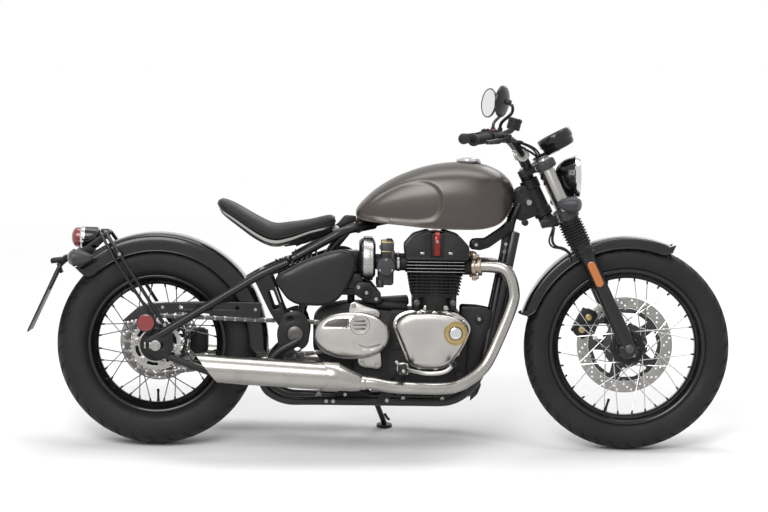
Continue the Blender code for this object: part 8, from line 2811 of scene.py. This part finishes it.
def studio_world(look):
    """Even fill light that the camera, metal and glass see as white."""
    world = bpy.data.worlds.new("studio_surround")
    world.use_nodes = True
    tree = world.node_tree
    fill = next(node for node in tree.nodes if node.type == 'BACKGROUND')
    fill.inputs['Color'].default_value = (1.0, 1.0, 1.0, 1.0)
    fill.inputs['Strength'].default_value = look.fill
    white = tree.nodes.new('ShaderNodeBackground')
    white.inputs['Color'].default_value = (1.0, 1.0, 1.0, 1.0)
    rays = tree.nodes.new('ShaderNodeLightPath')
    seen = maths(tree, 'MAXIMUM', rays.outputs['Is Camera Ray'], rays.outputs['Is Glossy Ray'])
    seen = maths(tree, 'MAXIMUM', seen, rays.outputs['Is Transmission Ray'])
    mix = tree.nodes.new('ShaderNodeMixShader')
    tree.links.new(seen, mix.inputs['Fac'])
    tree.links.new(fill.outputs['Background'], mix.inputs[1])
    tree.links.new(white.outputs['Background'], mix.inputs[2])
    out = next(node for node in tree.nodes if node.type == 'OUTPUT_WORLD')
    tree.links.new(mix.outputs['Shader'], out.inputs['Surface'])
    bpy.context.scene.world = world


def softbox(name, place, aim, width, height, power):
    """A rectangular lamp aimed at a point."""
    lamp = bpy.data.lights.new(name, 'AREA')
    lamp.shape, lamp.size, lamp.size_y, lamp.energy = 'RECTANGLE', width, height, power
    holder = bpy.data.objects.new(name, lamp)
    toward = (Vector(aim) - Vector(place)).to_track_quat('-Z', 'Y').to_matrix().to_4x4()
    holder.matrix_world = Matrix.Translation(place) @ toward
    bpy.context.scene.collection.objects.link(holder)


def photo_camera():
    """A camera that sees the leaning machine square on from its right, as the photograph does."""
    lens = bpy.data.cameras.new("photo_camera")
    lens.sensor_width = SENSOR
    lens.lens = SENSOR * (CAMERA_AIM - CAMERA_PLACE).length / FRAME_WIDTH
    lens.clip_end = 100.0
    holder = bpy.data.objects.new("photo_camera", lens)
    toward = (CAMERA_AIM - CAMERA_PLACE).to_track_quat('-Z', 'Z').to_matrix().to_4x4()
    holder.matrix_world = PARKED @ Matrix.Translation(CAMERA_PLACE) @ toward
    bpy.context.scene.collection.objects.link(holder)
    bpy.context.scene.camera = holder


def stage_pieces(look):
    """The floor, its surround, three soft lamps and the camera."""
    bpy.context.scene.view_settings.view_transform = 'Standard'
    mesh = bpy.data.meshes.new("studio_floor")
    rim = [(24.0 * x, 24.0 * y, 0.0) for x, y in circle(1.0, 96)]
    mesh.from_pydata(rim, [], [list(range(96))])
    mesh.materials.append(floor_material(look))
    floor = bpy.data.objects.new("studio_floor", mesh)
    bpy.context.scene.collection.objects.link(floor)
    studio_world(look)
    softbox("key_softbox", (-1.6, -4.6, 4.6), (0.0, 0.0, 0.5), 3.2, 3.2, look.key)
    softbox("top_softbox", (0.3, 0.6, 4.6), (0.0, 0.0, 0.4), 4.4, 2.0, look.top)
    softbox("rear_softbox", (2.4, 4.2, 3.0), (0.0, 0.0, 0.5), 2.6, 2.6, look.rear)
    photo_camera()


# The add-on: what a user may change, one operator for each group of pieces, and their panel

class BobberFinishSettings(bpy.types.PropertyGroup):
    """Colours that a user would change."""
    tank_colour: FloatVectorProperty(
        name="Tank colour", description="Base colour of the matt metallic tank paint",
        subtype='COLOR', size=3, min=0.0, max=1.0, default=(0.076, 0.066, 0.0595))
    tank_roughness: FloatProperty(
        name="Tank roughness", description="How matt the tank paint is",
        subtype='FACTOR', min=0.0, max=1.0, default=0.34)


class BobberFormSettings(bpy.types.PropertyGroup):
    """Sizes of the small forms that the scene adds."""
    front_tread_pitch: FloatProperty(
        name="Front tread pitch", description="Distance between grooves round the front tyre",
        subtype='DISTANCE', unit='LENGTH', min=0.01, max=0.2, default=0.052)
    rear_tread_pitch: FloatProperty(
        name="Rear tread pitch", description="Distance between grooves round the rear tyre",
        subtype='DISTANCE', unit='LENGTH', min=0.01, max=0.2, default=0.060)


class BobberStageSettings(bpy.types.PropertyGroup):
    """Strengths of the studio light and the floor's colour."""
    fill: FloatProperty(name="Fill", description="Strength of the even surround light",
                        min=0.0, max=5.0, default=0.34)
    key: FloatProperty(name="Key", description="Power of the lamp over the camera's shoulder",
                       subtype='POWER', unit='POWER', min=0.0, max=5000.0, default=260.0)
    top: FloatProperty(name="Top", description="Power of the overhead lamp",
                       subtype='POWER', unit='POWER', min=0.0, max=5000.0, default=120.0)
    rear: FloatProperty(name="Rear", description="Power of the lamp behind the machine",
                        subtype='POWER', unit='POWER', min=0.0, max=5000.0, default=70.0)
    floor_colour: FloatVectorProperty(
        name="Floor colour", description="Base colour of the studio floor",
        subtype='COLOR', size=3, min=0.0, max=1.0, default=(0.97, 0.97, 0.97))
    floor_clear: FloatProperty(
        name="Clear floor", description="How far out the floor starts to fade into the surround",
        subtype='DISTANCE', unit='LENGTH', min=0.5, max=20.0, default=1.35)


class BOBBER_OT_front_wheel(bpy.types.Operator):
    """Tyre, rim, laced spokes, hub and drilled disc of the front wheel"""
    bl_idname = "bobber.front_wheel"
    bl_label = "Front wheel"

    def execute(self, context):
        front_wheel_pieces()
        return {'FINISHED'}


class BOBBER_OT_rear_wheel(bpy.types.Operator):
    """Tyre, rim, laced spokes, hub, disc and sprocket of the rear wheel"""
    bl_idname = "bobber.rear_wheel"
    bl_label = "Rear wheel"

    def execute(self, context):
        rear_wheel_pieces()
        return {'FINISHED'}


class BOBBER_OT_final_drive(bpy.types.Operator):
    """Roller chain, chain guard and its holes"""
    bl_idname = "bobber.final_drive"
    bl_label = "Final drive"

    def execute(self, context):
        chain_pieces()
        chain_guard_pieces()
        return {'FINISHED'}


class BOBBER_OT_fork(bpy.types.Operator):
    """Stanchions, gaiters, sliders, yokes and caliper"""
    bl_idname = "bobber.fork"
    bl_label = "Fork"

    def execute(self, context):
        fork_pieces()
        front_brake_pieces()
        return {'FINISHED'}


class BOBBER_OT_front_lamps(bpy.types.Operator):
    """Headlamp, round instrument and front indicators"""
    bl_idname = "bobber.front_lamps"
    bl_label = "Headlamp and instrument"

    def execute(self, context):
        headlamp_pieces()
        instrument_pieces()
        front_indicator_pieces()
        return {'FINISHED'}


class BOBBER_OT_controls(bpy.types.Operator):
    """Handlebar, grips, levers, reservoir, mirrors and cables"""
    bl_idname = "bobber.controls"
    bl_label = "Handlebar and controls"

    def execute(self, context):
        handlebar_pieces()
        mirror_pieces()
        cable_pieces()
        return {'FINISHED'}


class BOBBER_OT_mudguards(bpy.types.Operator):
    """Both mudguards with their rolled edges and the rear loop"""
    bl_idname = "bobber.mudguards"
    bl_label = "Mudguards"

    def execute(self, context):
        mudguard_pieces()
        loop_pieces()
        return {'FINISHED'}


class BOBBER_OT_tank(bpy.types.Operator):
    """Fuel tank with its knee recesses, seam and screw cap"""
    bl_idname = "bobber.tank"
    bl_label = "Fuel tank"

    def execute(self, context):
        tank_pieces()
        cap_pieces()
        return {'FINISHED'}


class BOBBER_OT_seat(bpy.types.Operator):
    """Stuffed seat cover, its alloy pan and the seat arm"""
    bl_idname = "bobber.seat"
    bl_label = "Seat"

    def execute(self, context):
        seat_pieces()
        return {'FINISHED'}


class BOBBER_OT_frame(bpy.types.Operator):
    """Frame tubes, castings, gussets, bolts and side panels"""
    bl_idname = "bobber.frame"
    bl_label = "Frame"

    def execute(self, context):
        frame_pieces()
        side_panel_pieces()
        return {'FINISHED'}


class BOBBER_OT_engine(bpy.types.Operator):
    """Cases, finned block, rocker cover and side covers with their bolts"""
    bl_idname = "bobber.engine"
    bl_label = "Engine"

    def execute(self, context):
        case_pieces()
        block_pieces()
        rocker_pieces()
        clutch_cover_pieces()
        sprocket_cover_pieces()
        return {'FINISHED'}


class BOBBER_OT_intake(bpy.types.Operator):
    """Throttle bodies, their round covers and the airbox drums"""
    bl_idname = "bobber.intake"
    bl_label = "Intake"

    def execute(self, context):
        intake_pieces()
        return {'FINISHED'}


class BOBBER_OT_exhaust(bpy.types.Operator):
    """Header pipes, clamps, collars and slash-cut silencers"""
    bl_idname = "bobber.exhaust"
    bl_label = "Exhaust"

    def execute(self, context):
        exhaust_pieces()
        return {'FINISHED'}


class BOBBER_OT_rear_end(bpy.types.Operator):
    """Swingarm, shock, calliper, lamps and plate holder"""
    bl_idname = "bobber.rear_end"
    bl_label = "Rear end"

    def execute(self, context):
        swingarm_pieces()
        rear_lamp_pieces()
        return {'FINISHED'}


class BOBBER_OT_rider_parts(bpy.types.Operator):
    """Footpegs, foot levers, radiator and side stand"""
    bl_idname = "bobber.rider_parts"
    bl_label = "Footpegs and stand"

    def execute(self, context):
        foot_pieces()
        radiator_pieces()
        stand_pieces()
        return {'FINISHED'}


class BOBBER_OT_stage(bpy.types.Operator):
    """Floor, surround, soft lamps and the photograph's camera"""
    bl_idname = "bobber.stage"
    bl_label = "Stage and camera"

    def execute(self, context):
        stage_pieces(context.scene.bobber_stage)
        return {'FINISHED'}


SETTINGS = {"bobber_finish": BobberFinishSettings, "bobber_form": BobberFormSettings,
            "bobber_stage": BobberStageSettings}
OPERATORS = (
    BOBBER_OT_front_wheel,
    BOBBER_OT_rear_wheel,
    BOBBER_OT_final_drive,
    BOBBER_OT_fork,
    BOBBER_OT_front_lamps,
    BOBBER_OT_controls,
    BOBBER_OT_mudguards,
    BOBBER_OT_tank,
    BOBBER_OT_seat,
    BOBBER_OT_frame,
    BOBBER_OT_engine,
    BOBBER_OT_intake,
    BOBBER_OT_exhaust,
    BOBBER_OT_rear_end,
    BOBBER_OT_rider_parts,
    BOBBER_OT_stage,
)


class BOBBER_PT_panel(bpy.types.Panel):
    """Lists the settings and the operators in the order in which they run"""
    bl_label = "Bobber motorcycle"
    bl_space_type = 'VIEW_3D'
    bl_region_type = 'UI'
    bl_category = "Bobber"

    def draw(self, context):
        for pointer, group in SETTINGS.items():
            box = self.layout.box()
            for field in group.__annotations__:
                box.prop(getattr(context.scene, pointer), field)
        column = self.layout.column(align=True)
        for operator in OPERATORS:
            column.operator(operator.bl_idname)


def register():
    for group in (*SETTINGS.values(), *OPERATORS, BOBBER_PT_panel):
        bpy.utils.register_class(group)
    for pointer, group in SETTINGS.items():
        setattr(bpy.types.Scene, pointer, PointerProperty(type=group))


def unregister():
    for pointer in SETTINGS:
        delattr(bpy.types.Scene, pointer)
    for group in reversed((*SETTINGS.values(), *OPERATORS, BOBBER_PT_panel)):
        bpy.utils.unregister_class(group)


def main():
    register()
    for operator in OPERATORS:
        getattr(bpy.ops.bobber, operator.bl_idname.split(".")[1])()


if __name__ == "__main__":
    main()
